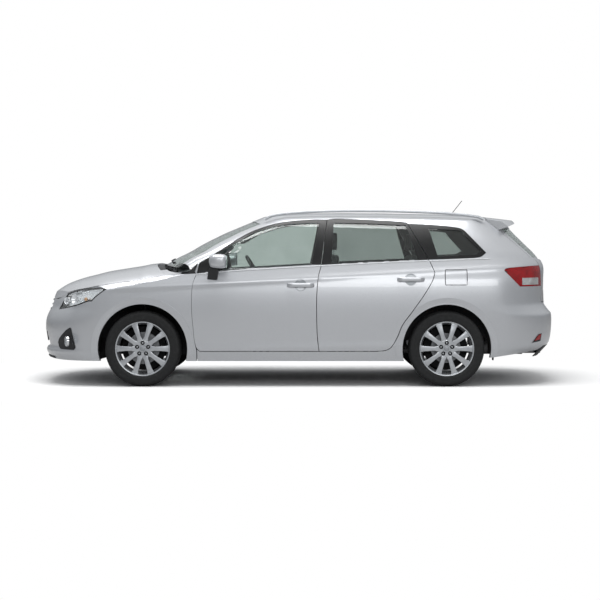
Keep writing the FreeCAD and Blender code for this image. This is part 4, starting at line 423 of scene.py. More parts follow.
def body_ring(kind, z, inset, corner_steps=22, side_steps=56):
    """Points all the way round the body at one height, from the nose by the left side."""
    if kind == "lower":
        half, nose, tail, turns, power = lower_half_width, lower_nose, lower_tail, CORNER_TURNS, (2.4, 2.5)
    else:
        half, nose, tail, turns, power = upper_half_width, upper_nose, upper_tail, GLASS_TURNS, (2.3, 2.2)
    front, rear = nose(z) + inset, tail(z) - inset
    points = []
    for step in range(corner_steps + 1):
        angle = math.pi / 2 * step / corner_steps
        points.append((front + turns[0] * (1 - math.cos(angle) ** (2 / power[0])), math.sin(angle) ** (2 / power[0])))
    start, end = front + turns[0], rear - turns[1]
    for step in range(1, side_steps):
        points.append((start + (end - start) * step / side_steps, 1))
    for step in range(corner_steps, -1, -1):
        angle = math.pi / 2 * step / corner_steps
        points.append((rear - turns[1] * (1 - math.cos(angle) ** (2 / power[1])), math.sin(angle) ** (2 / power[1])))
    stands = relief if inset <= 0 else (lambda *place: 0.0)
    left = [Vector((x, -(half(x, z) + stands(kind, x, z) - inset) * reach, z)) for x, reach in points]
    return left + [Vector((p.x, -p.y, z)) for p in reversed(left[1:-1])]


def fade(x, start, end, run):
    """1 between two places, falling smoothly to 0 over a run beyond each."""
    beyond = max(start - x, x - end, 0.0) / run
    return math.exp(-3 * beyond * beyond)


def relief(kind, x, z):
    """The two creases that stand out from the plain side."""
    if kind != "lower":
        return 0.0
    out = 0.0
    crease = 0.902 + (x + 0.367) * (0.984 - 0.902) / 1.523
    out += 0.006 * math.exp(-((z - crease) / 0.022) ** 2) * fade(x, -1.30, 1.75, 0.5)
    low_crease = 0.330 + (x + 0.367) * 0.0150
    out += 0.005 * math.exp(-((z - low_crease) / 0.03) ** 2) * fade(x, -0.80, 0.85, 0.15)
    return out


def body_solid(kind, inset, steps):
    low, high = (0.1435, 0.744) if kind == "lower" else (0.615, 1.005)
    levels = [height(low + (high - low) * step / steps) for step in range(steps + 1)]
    return loft(kind + "_solid", [body_ring(kind, z, inset) for z in levels])


def space_above(surface, start, end, reach, lowered, along=70, across=64):
    """Closed solid of all that lies above a crowned surface."""
    bm = bmesh.new()
    grid = bmesh.ops.create_grid(bm, x_segments=along, y_segments=across, size=1)["verts"]
    for vert in grid:
        x = start + (end - start) * (vert.co.x + 1) / 2
        y = reach * math.sin(vert.co.y * math.pi / 2)
        vert.co = (x, y, surface(x, y) - lowered)
    up = bmesh.ops.extrude_face_region(bm, geom=bm.faces[:])["geom"]
    for vert in up:
        if isinstance(vert, bmesh.types.BMVert):
            vert.co.z = 3
    bmesh.ops.recalc_face_normals(bm, faces=bm.faces[:])
    return keep_object("space", bm)


def bonnet_space(lowered):
    return space_above(bonnet_z, NOSE_X - 0.04, station(0.18), 0.99, lowered)


def roof_space(lowered):
    return space_above(roof_z, station(-0.1), TAIL_X, 0.75, lowered)


def prism(name, loop, low, high, axis="y"):
    """Solid of one outline between two distances along an axis."""
    def place(a, b, depth):
        return {"y": Vector((a, depth, b)), "x": Vector((depth, a, b)), "z": Vector((a, b, depth))}[axis]
    return loft(name, [[place(a, b, depth) for a, b in loop] for depth in (low, high)])


def combine(base, tool, how, drop=True):
    """Cut one solid from another, join them, or keep what they share."""
    change = base.modifiers.new("cut", "BOOLEAN")
    change.operation = how
    change.solver = "MANIFOLD"
    change.object = tool
    result = bpy.data.meshes.new_from_object(base.evaluated_get(bpy.context.evaluated_depsgraph_get()))
    base.modifiers.clear()
    base.data = result
    if drop:
        bpy.data.objects.remove(tool)
    return base


def copy_of(obj, name="copy"):
    twin = obj.copy()
    twin.data = obj.data.copy()
    twin.name = name
    bench.objects.link(twin)
    return twin


def cut(base, *tools, drop=False):
    for tool in tools:
        combine(base, tool, "DIFFERENCE", drop)
    return base


def share_of(base, tool, name, drop=False):
    """What a solid has in common with a cutter, as a new object."""
    return combine(copy_of(base, name), tool, "INTERSECT", drop)


def curved(points, steps):
    """Points along a smooth curve through the given ones."""
    if len(points) == 2:
        return [points[0]]
    found = []
    for i in range(len(points) - 1):
        p0, p1, p2, p3 = points[max(i - 1, 0)], points[i], points[i + 1], points[min(i + 2, len(points) - 1)]
        for step in range(steps):
            t = step / steps
            found.append(tuple(
                0.5 * (2 * b + (c - a) * t + (2 * a - 5 * b + 4 * c - d) * t * t + (3 * b - a - 3 * c + d) * t ** 3)
                for a, b, c, d in zip(p0, p1, p2, p3)))
    return found


def outline(runs, first, second, steps=6):
    """One loop of points from an outline's runs."""
    loop = []
    for run in runs:
        loop += curved([(first(a), second(b)) for a, b in run], steps)
    return loop


def grown(loop, gaps):
    """A loop whose points are each moved outwards by their own gap."""
    count = len(loop)
    area = sum(loop[i - 1][0] * loop[i][1] - loop[i][0] * loop[i - 1][1] for i in range(count))
    turn = 1 if area > 0 else -1
    moved = []
    for i, here in enumerate(loop):
        normals = []
        for start, end in ((loop[i - 1], here), (here, loop[(i + 1) % count])):
            run = (end[0] - start[0], end[1] - start[1])
            size = max(math.hypot(run[0], run[1]), 1e-9)
            normals.append((turn * run[1] / size, -turn * run[0] / size))
        mean = (normals[0][0] + normals[1][0], normals[0][1] + normals[1][1])
        size = max(math.hypot(mean[0], mean[1]), 1e-9)
        mean = (mean[0] / size, mean[1] / size)
        mitre = max(mean[0] * normals[0][0] + mean[1] * normals[0][1], 0.35)
        moved.append((here[0] + mean[0] * gaps[i] / mitre, here[1] + mean[1] * gaps[i] / mitre))
    return moved


def side_prism(runs, gap=0.0, sides=-1, reach=1.0):
    """Cutter for an outline seen from the side: left only, or both sides at once."""
    loop = outline(runs, station, height)
    loop = grown(loop, [gap] * len(loop))
    return prism("side_cut", loop, -reach, 0.0 if sides == -1 else reach)


def divided(run):
    """A straight run in short lengths, so that a sloped edge follows the curved skin along it."""
    if len(run) > 2:
        return run
    (a0, b0), (a1, b1) = run
    return [(a0 + (a1 - a0) * step / 6, b0 + (b1 - b0) * step / 6) for step in range(7)]


def door_prism(runs, gap):
    """Cutter for a left door: its edges slope, so that its inner corners clear as it swings."""
    loop = outline([divided(run) for run in runs], station, height)
    hinge_x = min(a for a, b in loop)
    low_reach = max(station(a) for a, b in runs[0]) - hinge_x
    loops = []
    for depth in (0.915, 0.575):
        gaps = []
        for a, b in loop:
            wall = DOOR_WALL if b < belt_z(a) else PILLAR_WALL
            slope = (HALF_WIDTH - side_skin(a, b) + wall) / low_reach
            gaps.append(gap + slope * abs(depth - side_skin(a, b)) * (1 if depth > 0.9 else -1))
        loops.append([Vector((a, -depth, b)) for a, b in grown(loop, gaps)])
    return loft("door_cut", loops)


def end_prism(runs, back, front, gap=0.0):
    """Cutter for an outline seen from the front or the back. Both halves at once."""
    loop = outline(runs, breadth, height)
    loop = grown(loop, [gap] * len(loop))
    left = prism("end_cut", [(-a, b) for a, b in loop], back, front, "x")
    right = prism("end_cut", loop, back, front, "x")
    return combine(left, right, "UNION")


def plan_prism(runs, low, high, gap=0.0):
    """Cutter for an outline seen from above. Both halves at once."""
    loop = outline(runs, station, breadth)
    loop = grown(loop, [gap] * len(loop))
    left = prism("plan_cut", [(a, -b) for a, b in loop], low, high, "z")
    right = prism("plan_cut", loop, low, high, "z")
    return combine(left, right, "UNION")


def mirrored(obj, name):
    twin = copy_of(obj, name)
    bm = bmesh.new()
    bm.from_mesh(twin.data)
    bmesh.ops.scale(bm, vec=(1, -1, 1), verts=bm.verts[:])
    bmesh.ops.reverse_faces(bm, faces=bm.faces[:])
    bm.to_mesh(twin.data)
    bm.free()
    return twin


# Materials. Pattern scales are real sizes in millimetres; coordinates are the object's own, in metres.
def rgb(text):
    """A colour written as six hex digits, as the light it stands for."""
    parts = [int(text[i:i + 2], 16) / 255 for i in (1, 3, 5)]
    return tuple(p / 12.92 if p <= 0.04045 else ((p + 0.055) / 1.055) ** 2.4 for p in parts) + (1,)


made = {}


def blank(name):
    """A new material with its nodes and its shader."""
    material = bpy.data.materials.new(name)
    material.use_nodes = True
    return material, material.node_tree, material.node_tree.nodes["Principled BSDF"]


def node(tree, kind, links=(), **values):
    """Add a node. Values name its inputs, or its own settings where no input has that name; a value can be
    another node's socket."""
    made_now = tree.nodes.new(kind)
    for key, value in values.items():
        label = key.replace("_", " ").title() if key.replace("_", " ").title() in made_now.inputs else key
        if label in made_now.inputs:
            put(tree, made_now.inputs[label], value)
        else:
            setattr(made_now, key, value)
    for socket, value in links:
        put(tree, made_now.inputs[socket], value)
    return made_now


def put(tree, socket, value):
    if isinstance(value, bpy.types.NodeSocket):
        tree.links.new(value, socket)
    else:
        socket.default_value = value


def settings(tree, shader, **values):
    """Set a shader's sockets: plain numbers and colours stay on the socket itself."""
    for key, value in values.items():
        put(tree, shader.inputs[key.replace("_", " ")], value)


def per_mm(size):
    """Noise or wave scale for a pattern of one size in millimetres."""
    return 1000.0 / size


def coordinates(tree):
    return tree.nodes.new("ShaderNodeTexCoord").outputs["Object"]


def noise(tree, size, detail=2.0, place=None):
    return node(tree, "ShaderNodeTexNoise", vector=place or coordinates(tree), scale=per_mm(size), detail=detail).outputs["Fac"]


def ramp(tree, factor, stops):
    """Colours between positions."""
    found = node(tree, "ShaderNodeValToRGB", [("Fac", factor)])
    bar = found.color_ramp.elements
    while len(bar) < len(stops):
        bar.new(0.5)
    for element, (position, colour) in zip(bar, stops):
        element.position = position
        element.color = rgb(colour)
    return found.outputs["Color"]


def span(tree, factor, low, high, start=0.0, end=1.0):
    """A factor stretched to another range."""
    return node(tree, "ShaderNodeMapRange", [("Value", factor), ("From Min", start), ("From Max", end), ("To Min", low),
                                             ("To Max", high)]).outputs["Result"]


def bump(tree, shader, factor, depth_mm, strength=1.0):
    """Raise the surface by a factor times a depth."""
    found = node(tree, "ShaderNodeBump", [("Height", factor), ("Distance", depth_mm / 1000), ("Strength", strength)])
    tree.links.new(found.outputs["Normal"], shader.inputs["Normal"])


def car_paint(name="silver metallic paint", colours=("#B2B5B9", "#C0C2C6", "#CCCED1")):
    """Two-coat metallic car paint: fine aluminium flake under a clear coat."""
    material, tree, shader = blank(name)
    flakes = node(tree, "ShaderNodeTexVoronoi", vector=coordinates(tree), scale=per_mm(0.9)).outputs["Color"]
    tone = node(tree, "ShaderNodeSeparateColor", color=flakes).outputs["Red"]
    shader_colour = ramp(tree, tone, [(0.0, colours[0]), (0.5, colours[1]), (1.0, colours[2])])
    settings(tree, shader, Base_Color=shader_colour, Metallic=0.62, Roughness=span(tree, tone, 0.30, 0.40),
             Coat_Weight=1.0, Coat_Roughness=0.04)
    bump(tree, shader, noise(tree, 6.0, 3.0), 0.006)
    return material


def gloss_black(name="black window frame paint"):
    """Smooth semi-gloss black paint of the window frames and pillar covers."""
    material, tree, shader = blank(name)
    haze = noise(tree, 40.0, 3.0)
    settings(tree, shader, Base_Color=ramp(tree, haze, [(0.0, "#060708"), (1.0, "#0E0F10")]),
             Roughness=span(tree, haze, 0.28, 0.40), Specular_IOR_Level=0.35)
    bump(tree, shader, noise(tree, 0.8), 0.004)
    return material


def grained(name, colours, grain_mm=1.2, roughness=(0.55, 0.72), depth=0.05):
    """Moulded polypropylene with a fine pebble grain."""
    material, tree, shader = blank(name)
    grain = node(tree, "ShaderNodeTexVoronoi", vector=coordinates(tree), scale=per_mm(grain_mm)).outputs["Distance"]
    tone = noise(tree, 90.0, 4.0)
    settings(tree, shader, Base_Color=ramp(tree, tone, [(0.2, colours[0]), (0.8, colours[1])]),
             Roughness=span(tree, grain, *roughness))
    bump(tree, shader, grain, depth)
    return material


def tinted_glass(name="tempered window glass", colour="#CDD6D3", darker="#C2CCC8"):
    """Green-grey tinted safety glass, with a faint film that varies in large patches."""
    material, tree, shader = blank(name)
    film = noise(tree, 220.0, 3.0)
    settings(tree, shader, Base_Color=ramp(tree, film, [(0.25, darker), (0.75, colour)]), IOR=1.5,
             Roughness=span(tree, film, 0.0, 0.02), Transmission_Weight=1.0)
    return material


def lens(name, colours, flute_mm, transmission=1.0, roughness=0.03, depth=0.12):
    """Moulded acrylic lens with fine upright flutes on its inner face."""
    material, tree, shader = blank(name)
    flutes = node(tree, "ShaderNodeTexWave", vector=coordinates(tree), scale=per_mm(flute_mm) / math.tau,
                  distortion=0.0).outputs["Fac"]
    settings(tree, shader, Base_Color=ramp(tree, noise(tree, 60.0), [(0.3, colours[0]), (0.7, colours[1])]), IOR=1.49,
             Roughness=roughness, Transmission_Weight=transmission)
    bump(tree, shader, flutes, depth, 0.35)
    return material


def metal(name, colours, roughness, streak_mm=0.6, depth=0.01, metallic=1.0):
    """Bare or plated metal with fine turning or polishing marks."""
    material, tree, shader = blank(name)
    marks = noise(tree, streak_mm, 4.0)
    settings(tree, shader, Base_Color=ramp(tree, noise(tree, 30.0, 3.0), [(0.25, colours[0]), (0.75, colours[1])]),
             Metallic=metallic, Roughness=span(tree, marks, *roughness))
    bump(tree, shader, marks, depth)
    return material


def tyre_rubber():
    """Tyre rubber: near black, dusty in patches, with a fine grain."""
    material, tree, shader = blank("tyre rubber")
    dust = noise(tree, 26.0, 5.0)
    fine = noise(tree, 1.6, 3.0)
    settings(tree, shader, Base_Color=ramp(tree, dust, [(0.25, "#101112"), (0.55, "#18191A"), (0.85, "#242526")]),
             Roughness=span(tree, fine, 0.72, 0.9))
    bump(tree, shader, fine, 0.12)
    return material


def woven(name, colours, thread_mm=1.1, depth=0.25):
    """Flat woven seat cloth: crossing threads, in a tone that varies in small patches."""
    material, tree, shader = blank(name)
    place = coordinates(tree)
    threads = []
    for axis in ("X", "Z"):
        threads.append(node(tree, "ShaderNodeTexWave", vector=place, scale=per_mm(thread_mm) / math.tau,
                            bands_direction=axis, distortion=1.2).outputs["Fac"])
    weave = node(tree, "ShaderNodeMath", [(0, threads[0]), (1, threads[1])], operation="MAXIMUM").outputs[0]
    patches = noise(tree, 14.0, 4.0)
    settings(tree, shader, Base_Color=ramp(tree, patches, [(0.3, colours[0]), (0.7, colours[1])]),
             Roughness=span(tree, weave, 0.85, 0.98), Sheen_Weight=0.4, Sheen_Roughness=0.5)
    bump(tree, shader, weave, depth)
    return material


def cast_iron(name, colours, rust="#6B4A38"):
    """Cast or welded steel under a thin film of dust and surface rust."""
    material, tree, shader = blank(name)
    spots = noise(tree, 18.0, 6.0)
    grit = noise(tree, 1.5, 3.0)
    settings(tree, shader, Base_Color=ramp(tree, spots, [(0.3, colours[0]), (0.6, colours[1]), (0.85, rust)]),
             Metallic=0.7, Roughness=span(tree, spots, 0.45, 0.85))
    bump(tree, shader, grit, 0.15)
    return material


def seen_through(tree):
    """1 for the camera and for what it sees through glass, else 0."""
    path = tree.nodes.new("ShaderNodeLightPath")
    return node(tree, "ShaderNodeMath", [(0, path.outputs["Is Camera Ray"]), (1, path.outputs["Is Transmission Ray"])],
                operation="MAXIMUM").outputs[0]


def studio_floor():
    """Pale floor that keeps the shadow near the car and runs out into plain white further off.

    Only the camera, and glass in front of it, see it pale; the paint mirrors a mid grey ground.
    """
    material, tree, shader = blank("pale studio floor")
    grit = noise(tree, 3.0, 3.0)
    settings(tree, shader, Base_Color=ramp(tree, grit, [(0.3, "#F1F1F1"), (0.7, "#F6F6F6")]),
             Roughness=span(tree, grit, 0.7, 0.8))
    ground = node(tree, "ShaderNodeBsdfDiffuse", [("Color", rgb("#ADADAD"))])
    seen = seen_through(tree)
    near = node(tree, "ShaderNodeMixShader", [("Fac", seen), (1, ground.outputs[0]), (2, shader.outputs[0])])
    place = node(tree, "ShaderNodeVectorMath", [(0, coordinates(tree)), (1, (0.30, 0.52, 0.0))],
                 operation="MULTIPLY").outputs[0]
    away = node(tree, "ShaderNodeVectorMath", [(0, place)], operation="LENGTH").outputs["Value"]
    white = node(tree, "ShaderNodeEmission", [("Color", rgb("#FFFFFF")), ("Strength", 1.0)])
    far = node(tree, "ShaderNodeMath", [(0, span(tree, away, 0.0, 1.0, 0.72, 1.25)), (1, seen)],
               operation="MULTIPLY").outputs[0]
    mix = node(tree, "ShaderNodeMixShader", [("Fac", far), (1, near.outputs[0]), (2, white.outputs[0])])
    tree.links.new(mix.outputs[0], tree.nodes["Material Output"].inputs["Surface"])
    material.cycles.emission_sampling = "NONE"
    return material


makers = {
    "paint": car_paint,
    # The handle dish gets the body's paint made darker: painted shade in the recess.
    "dish_painted_shade": lambda: car_paint("silver paint darkened as painted shade in the handle dish", ("#8B8F93", "#969A9E", "#A1A5A8")),
    "frame": gloss_black,
    "trim": lambda: grained("grey door trim plastic", ("#37383B", "#424347"), 1.6),
    "plastic": lambda: grained("soft dashboard skin", ("#232427", "#2C2D31"), 1.8, (0.6, 0.8), 0.12),
    "black": lambda: grained("black bumper plastic", ("#17181A", "#222326"), 0.9, (0.45, 0.62), 0.04),
    # Near-black for places in shade: painted shade in the nut wells, on the splash shields and arch liners, and behind
    # the grille.
    "shadow": lambda: grained("near-black plastic as painted shade", ("#060607", "#0B0B0C"), 2.0, (0.85, 0.95), 0.05),
    "leather": lambda: grained("grained steering wheel leather", ("#1B1B1D", "#242427"), 1.4, (0.45, 0.6), 0.1),
    "glass": tinted_glass,
    "rear_glass": lambda: tinted_glass("dark tempered rear glass", "#B5BDBA", "#AAB3B0"),
    "clear_lens": lambda: lens("clear polycarbonate lamp cover", ("#F4F6F7", "#EDF0F1"), 9.0, 1.0, 0.015, 0.02),
    "red_lens": lambda: lens("red acrylic lamp lens", ("#A00A10", "#BC0E15"), 4.0, 0.45, 0.05, 0.12),
    "white_lens": lambda: lens("clear fluted acrylic lamp lens", ("#E9ECEC", "#F4F6F6"), 3.0, 0.7, 0.05, 0.12),
    "fog_glass": lambda: lens("fluted fog lamp glass", ("#D7DDE0", "#E6EAEC"), 4.0, 0.6, 0.04, 0.15),
    "amber": lambda: lens("amber indicator lens", ("#DDB088", "#E8C29E"), 3.0, 0.4, 0.08, 0.1),
    "reflex": lambda: lens("red reflex reflector", ("#9C1216", "#B51C20"), 2.5, 0.15, 0.12, 0.3),
    "bulb": lambda: lens("lamp bulb glass", ("#F2F4F5", "#FFFFFF"), 6.0, 0.8, 0.05, 0.01),
    "tail_bowl": lambda: metal("tail lamp reflector bowl", ("#8C9093", "#A2A6A9"), (0.15, 0.3), 2.0, 0.02),
    "reflector": lambda: metal("vacuum-plated lamp reflector", ("#E4E7EA", "#F2F4F6"), (0.22, 0.34), 3.0, 0.01, 0.6),
    "chrome": lambda: metal("bright chromium plate", ("#CDD0D3", "#DCDFE1"), (0.05, 0.12), 1.0, 0.003),
    "bright_trim": lambda: metal("anodised aluminium moulding", ("#C0C3C6", "#D2D4D6"), (0.22, 0.34), 0.5, 0.006),
    "mirror": lambda: metal("silvered mirror glass", ("#C6CDD1", "#D2D8DB"), (0.01, 0.03), 4.0, 0.001),
    "alloy": lambda: metal("painted cast alloy wheel", ("#B2B5B9", "#BFC2C5"), (0.28, 0.38), 1.2, 0.012, 0.75),
    "cap": lambda: metal("grey wheel cap plastic", ("#8E9195", "#9B9EA2"), (0.35, 0.45), 0.8, 0.01, 0.4),
    "rail": lambda: metal("satin aluminium roof rail", ("#A9ACB0", "#B9BCBF"), (0.32, 0.42), 0.6, 0.01),
    "steel_bright": lambda: metal("zinc-plated wheel nut", ("#B8BBBE", "#CDD0D2"), (0.2, 0.32), 0.6, 0.01),
    "iron": lambda: metal("turned iron brake disc", ("#7C7D7F", "#8D8E90"), (0.35, 0.5), 0.5, 0.02),
    "steel": lambda: cast_iron("black painted chassis steel", ("#1E1F21", "#2B2C2E")),
    "engine": lambda: cast_iron("grey cast engine block", ("#5C5E60", "#6D6F71"), "#4C4540"),
    "exhaust": lambda: cast_iron("aluminised exhaust steel", ("#7E7F80", "#96979A"), "#7A5C46"),
    "rubber": lambda: grained("moulded black rubber", ("#131314", "#1C1C1E"), 1.0, (0.7, 0.85), 0.06),
    "tyre": tyre_rubber,
    "cloth": lambda: woven("grey woven seat cloth", ("#4A4C50", "#5A5C60")),
    "headliner": lambda: woven("light knitted headliner", ("#B0ADA4", "#BCB9B1"), 1.6, 0.15),
    "carpet": lambda: woven("needled floor carpet", ("#2A2B2D", "#38393B"), 2.4, 0.6),
    "plate": lambda: grained("blank plate enamel", ("#E2E2DE", "#EBEBE7"), 3.0, (0.3, 0.4), 0.01),
    "floor": studio_floor,
}


def look(key):
    """The material of one name, made the first time that it is asked for."""
    if key not in made:
        made[key] = makers[key]()
    return made[key]


# What the solids that stay in view are made of.
NODE_LOOKS = {
    "floor_pan": "steel", "engine_block": "engine", "exhaust": "exhaust", "front_subframe": "steel",
    "rear_axle_beam": "steel", "knuckle_left": "engine", "knuckle_right": "engine", "cowl_panel": "black",
    "mud_flaps": "rubber", "aerial": "black",
}


def dress_nodes():
    """Give every solid that no piece replaces its material."""
    for name, key in NODE_LOOKS.items():
        obj = frame["nodes"][name]
        if not obj.material_slots:
            obj.data.materials.append(None)
        for slot in obj.material_slots:
            slot.material = look(key)


# The walls that the body's pieces are cut from, made once.
walls = {}


def make_walls():
    """Outer skins, hollowed to each wall's thickness."""
    xs = [NOSE_X - 0.04 + (TAIL_X - NOSE_X + 0.08) * step / 90 for step in range(91)]
    above = prism("above_belt", [(x, belt_z(x)) for x in xs] + [(xs[-1], 3), (xs[0], 3)], -1, 1)
    bonnet_top = bonnet_space(0)
    roof_top = roof_space(0)
    full = body_solid("lower", 0, 60)
    lower = cut(copy_of(full, "lower_outer"), above, bonnet_top)
    upper = share_of(body_solid("upper", 0, 48), above, "upper_outer")
    cut(upper, roof_top)
    find_skin([lower, upper])
    inner = body_solid("upper", PILLAR_WALL, 24)
    combine(inner, roof_space(ROOF_WALL), "DIFFERENCE", True)
    walls["full"] = full
    walls["above"] = above
    walls["bonnet_top"] = bonnet_top
    walls["roof_top"] = roof_top
    walls["lower"] = lower
    walls["thick"] = cut(copy_of(lower, "thick_lower"), body_solid("lower", DOOR_WALL, 20), drop=True)
    walls["thin"] = cut(copy_of(lower, "thin_lower"), body_solid("lower", PANEL_WALL, 40), drop=True)
    walls["frame"] = cut(upper, inner, drop=True)
    pane = body_solid("upper", 0.008, 48)
    combine(pane, body_solid("upper", 0.013, 48), "DIFFERENCE", True)
    combine(pane, roof_space(0.008), "DIFFERENCE", True)
    walls["pane"] = pane
    for x, radius in ARCHES:
        walls["arch", x] = round_bar("arch", (x, -1, HUB_Z), (x, 1, HUB_Z), radius, 96)
    walls["raised"] = cut(body_solid("lower", -0.007, 60), body_solid("lower", 0.007, 30), drop=True)


COWL_TRIM_HALF = 0.640
skin_trees = []


def find_skin(solids):
    """Keep the outer skins as search trees, by which faces are told apart later."""
    for solid in solids:
        bm = bmesh.new()
        bm.from_mesh(solid.data)
        skin_trees.append(BVHTree.FromBMesh(bm))
        bm.free()


def below_skin(centre, depth=0.014):
    """Whether a point lies deeper than a depth below the car's outer skin."""
    for tree in skin_trees:
        place, normal, _, away = tree.find_nearest(centre)
        if away < depth or (centre - place).dot(normal) > 0:
            return False
    return True


def round_bar(name, start, end, radius, segments=32, end_radius=None):
    """Closed round bar or cone between two points."""
    start, end = Vector(start), Vector(end)
    bm = bmesh.new()
    length = (end - start).length
    bmesh.ops.create_cone(bm, cap_ends=True, segments=segments, radius1=radius,
                          radius2=radius if end_radius is None else end_radius, depth=length)
    turn = Vector((0, 0, 1)).rotation_difference(end - start).to_matrix().to_4x4()
    bmesh.ops.transform(bm, matrix=Matrix.Translation((start + end) / 2) @ turn, verts=bm.verts[:])
    return keep_object(name, bm)


def block(name, low, high, bevel=0.0, segments=2):
    """Box with softened edges."""
    bm = bmesh.new()
    low, high = Vector(low), Vector(high)
    bmesh.ops.create_cube(bm, size=1)
    bmesh.ops.scale(bm, vec=high - low, verts=bm.verts[:])
    bmesh.ops.translate(bm, vec=(low + high) / 2, verts=bm.verts[:])
    if bevel:
        bmesh.ops.bevel(bm, geom=bm.edges[:], offset=bevel, segments=segments, profile=0.5, affect="EDGES",
                        material=-1)
    return keep_object(name, bm)


def flare(axle, radius, limits):
    band = round_bar("band", (axle, -1, HUB_Z), (axle, 1, HUB_Z), radius + 0.057, 96)
    raised = share_of(walls["raised"], band, "flare", True)
    ground = block("ground", (axle - 1, -1, -0.1), (axle + 1, 1, height(0.17)))
    combine(raised, ground, "DIFFERENCE", True)
    combine(raised, limits, "INTERSECT", False)
    for vert in raised.data.vertices:
        x, y, z = vert.co
        away = math.hypot(x - axle, z - HUB_Z) - radius
        if abs(y) > side_skin(x, z) - 0.004:
            vert.co.y -= math.copysign(0.009 * (1 - min(1.0, max(0.0, away / 0.057))), y)
    return raised


def joined(name, parts):
    """One object from several, its doubles left as they are."""
    bm = bmesh.new()
    for part in parts:
        bm.from_mesh(part.data)
        bpy.data.objects.remove(part)
    return keep_object(name, bm)


def finish_panel(obj, slots, sort=None, sharp=28):
    """Give a piece its materials, sorted by face, and soft shading between its sharp edges."""
    mesh = obj.data
    mesh.materials.clear()
    for material in slots:
        mesh.materials.append(material)
    if sort:
        for face in mesh.polygons:
            face.material_index = sort(face.center, face.normal)
    mesh.shade_smooth()
    mesh.set_sharp_from_angle(angle=math.radians(sharp))
    return obj


def add(obj, name, body, nodes=(), slots=None, sort=None, sharp=28):
    """Name a finished piece, put it on its body and say which solids it stands for."""
    obj.name = name
    obj.data.name = name
    if slots:
        finish_panel(obj, slots, sort, sharp)
    bench.objects.unlink(obj)
    pieces.objects.link(obj)
    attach(obj, body)
    if nodes:
        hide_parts(*nodes)
    return obj


def side_sort(centre, normal):
    """0 the outside paint, 2 the cabin's trim."""
    return 2 if below_skin(centre) else 0


def door_sort(centre, normal):
    """0 the outside paint, 1 the window frame, 2 the cabin's trim."""
    if below_skin(centre):
        return 2
    return 1 if centre.z > belt_z(centre.x) + 0.002 else 0


def panel_sort(centre, normal):
    """0 the outside paint, 1 what lies behind it."""
    return 1 if below_skin(centre) else 0


def bonnet_sort(centre, normal):
    """0 the outside paint, 1 the underside."""
    return 0 if centre.z > bonnet_z(centre.x, centre.y) - 0.012 or not below_skin(centre) else 1


def make_doors():
    half = SHUT_GAP / 2
    for name, runs, glass in (("front_door", FRONT_DOOR_SHARES, FRONT_GLASS_SHARES),
                              ("rear_door", REAR_DOOR_SHARES, REAR_GLASS_SHARES)):
        piece = door_prism(runs, -half)
        opening = side_prism(glass)
        parts = [share_of(walls["thick"], piece, name + "_low"), share_of(walls["frame"], piece, name + "_high")]
        for part in parts:
            cut(part, opening)
            if name == "rear_door":
                cut(part, walls["arch", REAR_AXLE])
        left = joined(name + "_left", parts)
        right = mirrored(left, name + "_right")
        for obj, side in ((left, "left"), (right, "right")):
            body = name + "_" + side
            add(obj, body + "_panel", body, [body], [look("paint"), look("frame"), look("trim")], door_sort)
        pane = share_of(walls["pane"], side_prism(glass, -0.0003), name + "_glass", True)
        for obj, side in ((pane, "left"), (mirrored(pane, "pane"), "right")):
            body = name + "_" + side
            add(obj, name + "_pane_" + side, body, [name + "_glass_" + side],
                [look("glass" if name == "front_door" else "rear_glass")])


def make_sides():
    half = SHUT_GAP / 2
    openings = [door_prism(FRONT_DOOR_SHARES, half), door_prism(REAR_DOOR_SHARES, half),
                side_prism(QUARTER_GLASS_SHARES), end_prism(WINDSCREEN_FRONT_SHARES, NOSE_X, 0),
                tailgate_prism(half), plan_prism(ROOF_PLAN_SHARES, height(0.85), 3), walls["arch", REAR_AXLE]]
    limits = side_prism(SIDE_LIMITS_SHARES)
    low = share_of(walls["thick"], limits, "low")
    high = share_of(walls["frame"], limits, "high")
    flap_hole = side_prism(FUEL_FLAP_SHARES, half)
    deep = body_solid("lower", 0.044, 20)
    pocket = cut(flap_hole, deep, drop=True)
    for part in (low, high):
        cut(part, *openings)
    arch_lip = flare(REAR_AXLE, 0.380, limits)
    cut(arch_lip, walls["arch", REAR_AXLE], openings[1])
    cut(low, pocket)
    left = joined("side_left", [low, high, arch_lip])
    for obj, side in ((left, "left"), (mirrored(left, "side_right"), "right")):
        add(obj, "side_wall_" + side, "car_body", ["side_panel_" + side],
            [look("paint"), look("frame"), look("trim")], side_sort)
    pane = share_of(walls["pane"], side_prism(QUARTER_GLASS_SHARES, -0.0003), "pane", True)
    both = joined("panes", [pane, mirrored(pane, "pane_right")])
    add(both, "quarter_panes", "car_body", ["quarter_glass"], [look("rear_glass")])
    flap = cut(copy_of(walls["lower"], "flap"), body_solid("lower", 0.004, 30), drop=True)
    combine(flap, side_prism(FUEL_FLAP_SHARES, -half), "INTERSECT", True)
    add(flap, "fuel_flap_panel", "fuel_flap", ["fuel_flap"], [look("paint")])
    for tool in openings[:-1] + [limits, pocket]:
        bpy.data.objects.remove(tool)


def tailgate_prism(gap):
    """Cutter for everything behind the roof seam and between the rear pillars."""
    loop = outline(TAILGATE_REAR_SHARES, breadth, height)
    loops = []
    for depth in (station(1.373) - gap, TAIL_X + 0.02):
        gaps = []
        for a, b in loop:
            skin = upper_tail(b) if b > height(0.7) else lower_tail(b)
            slope = 0.25 if a > 0 and b > height(0.5) else 0
            gaps.append(gap + slope * abs(depth - skin) * (1 if depth > TAIL_X else -1))
        loops.append([Vector((depth, a, b)) for a, b in grown(loop, gaps)])
    right = loft("tailgate_cut", loops)
    return combine(right, mirrored(right, "left"), "UNION", True)


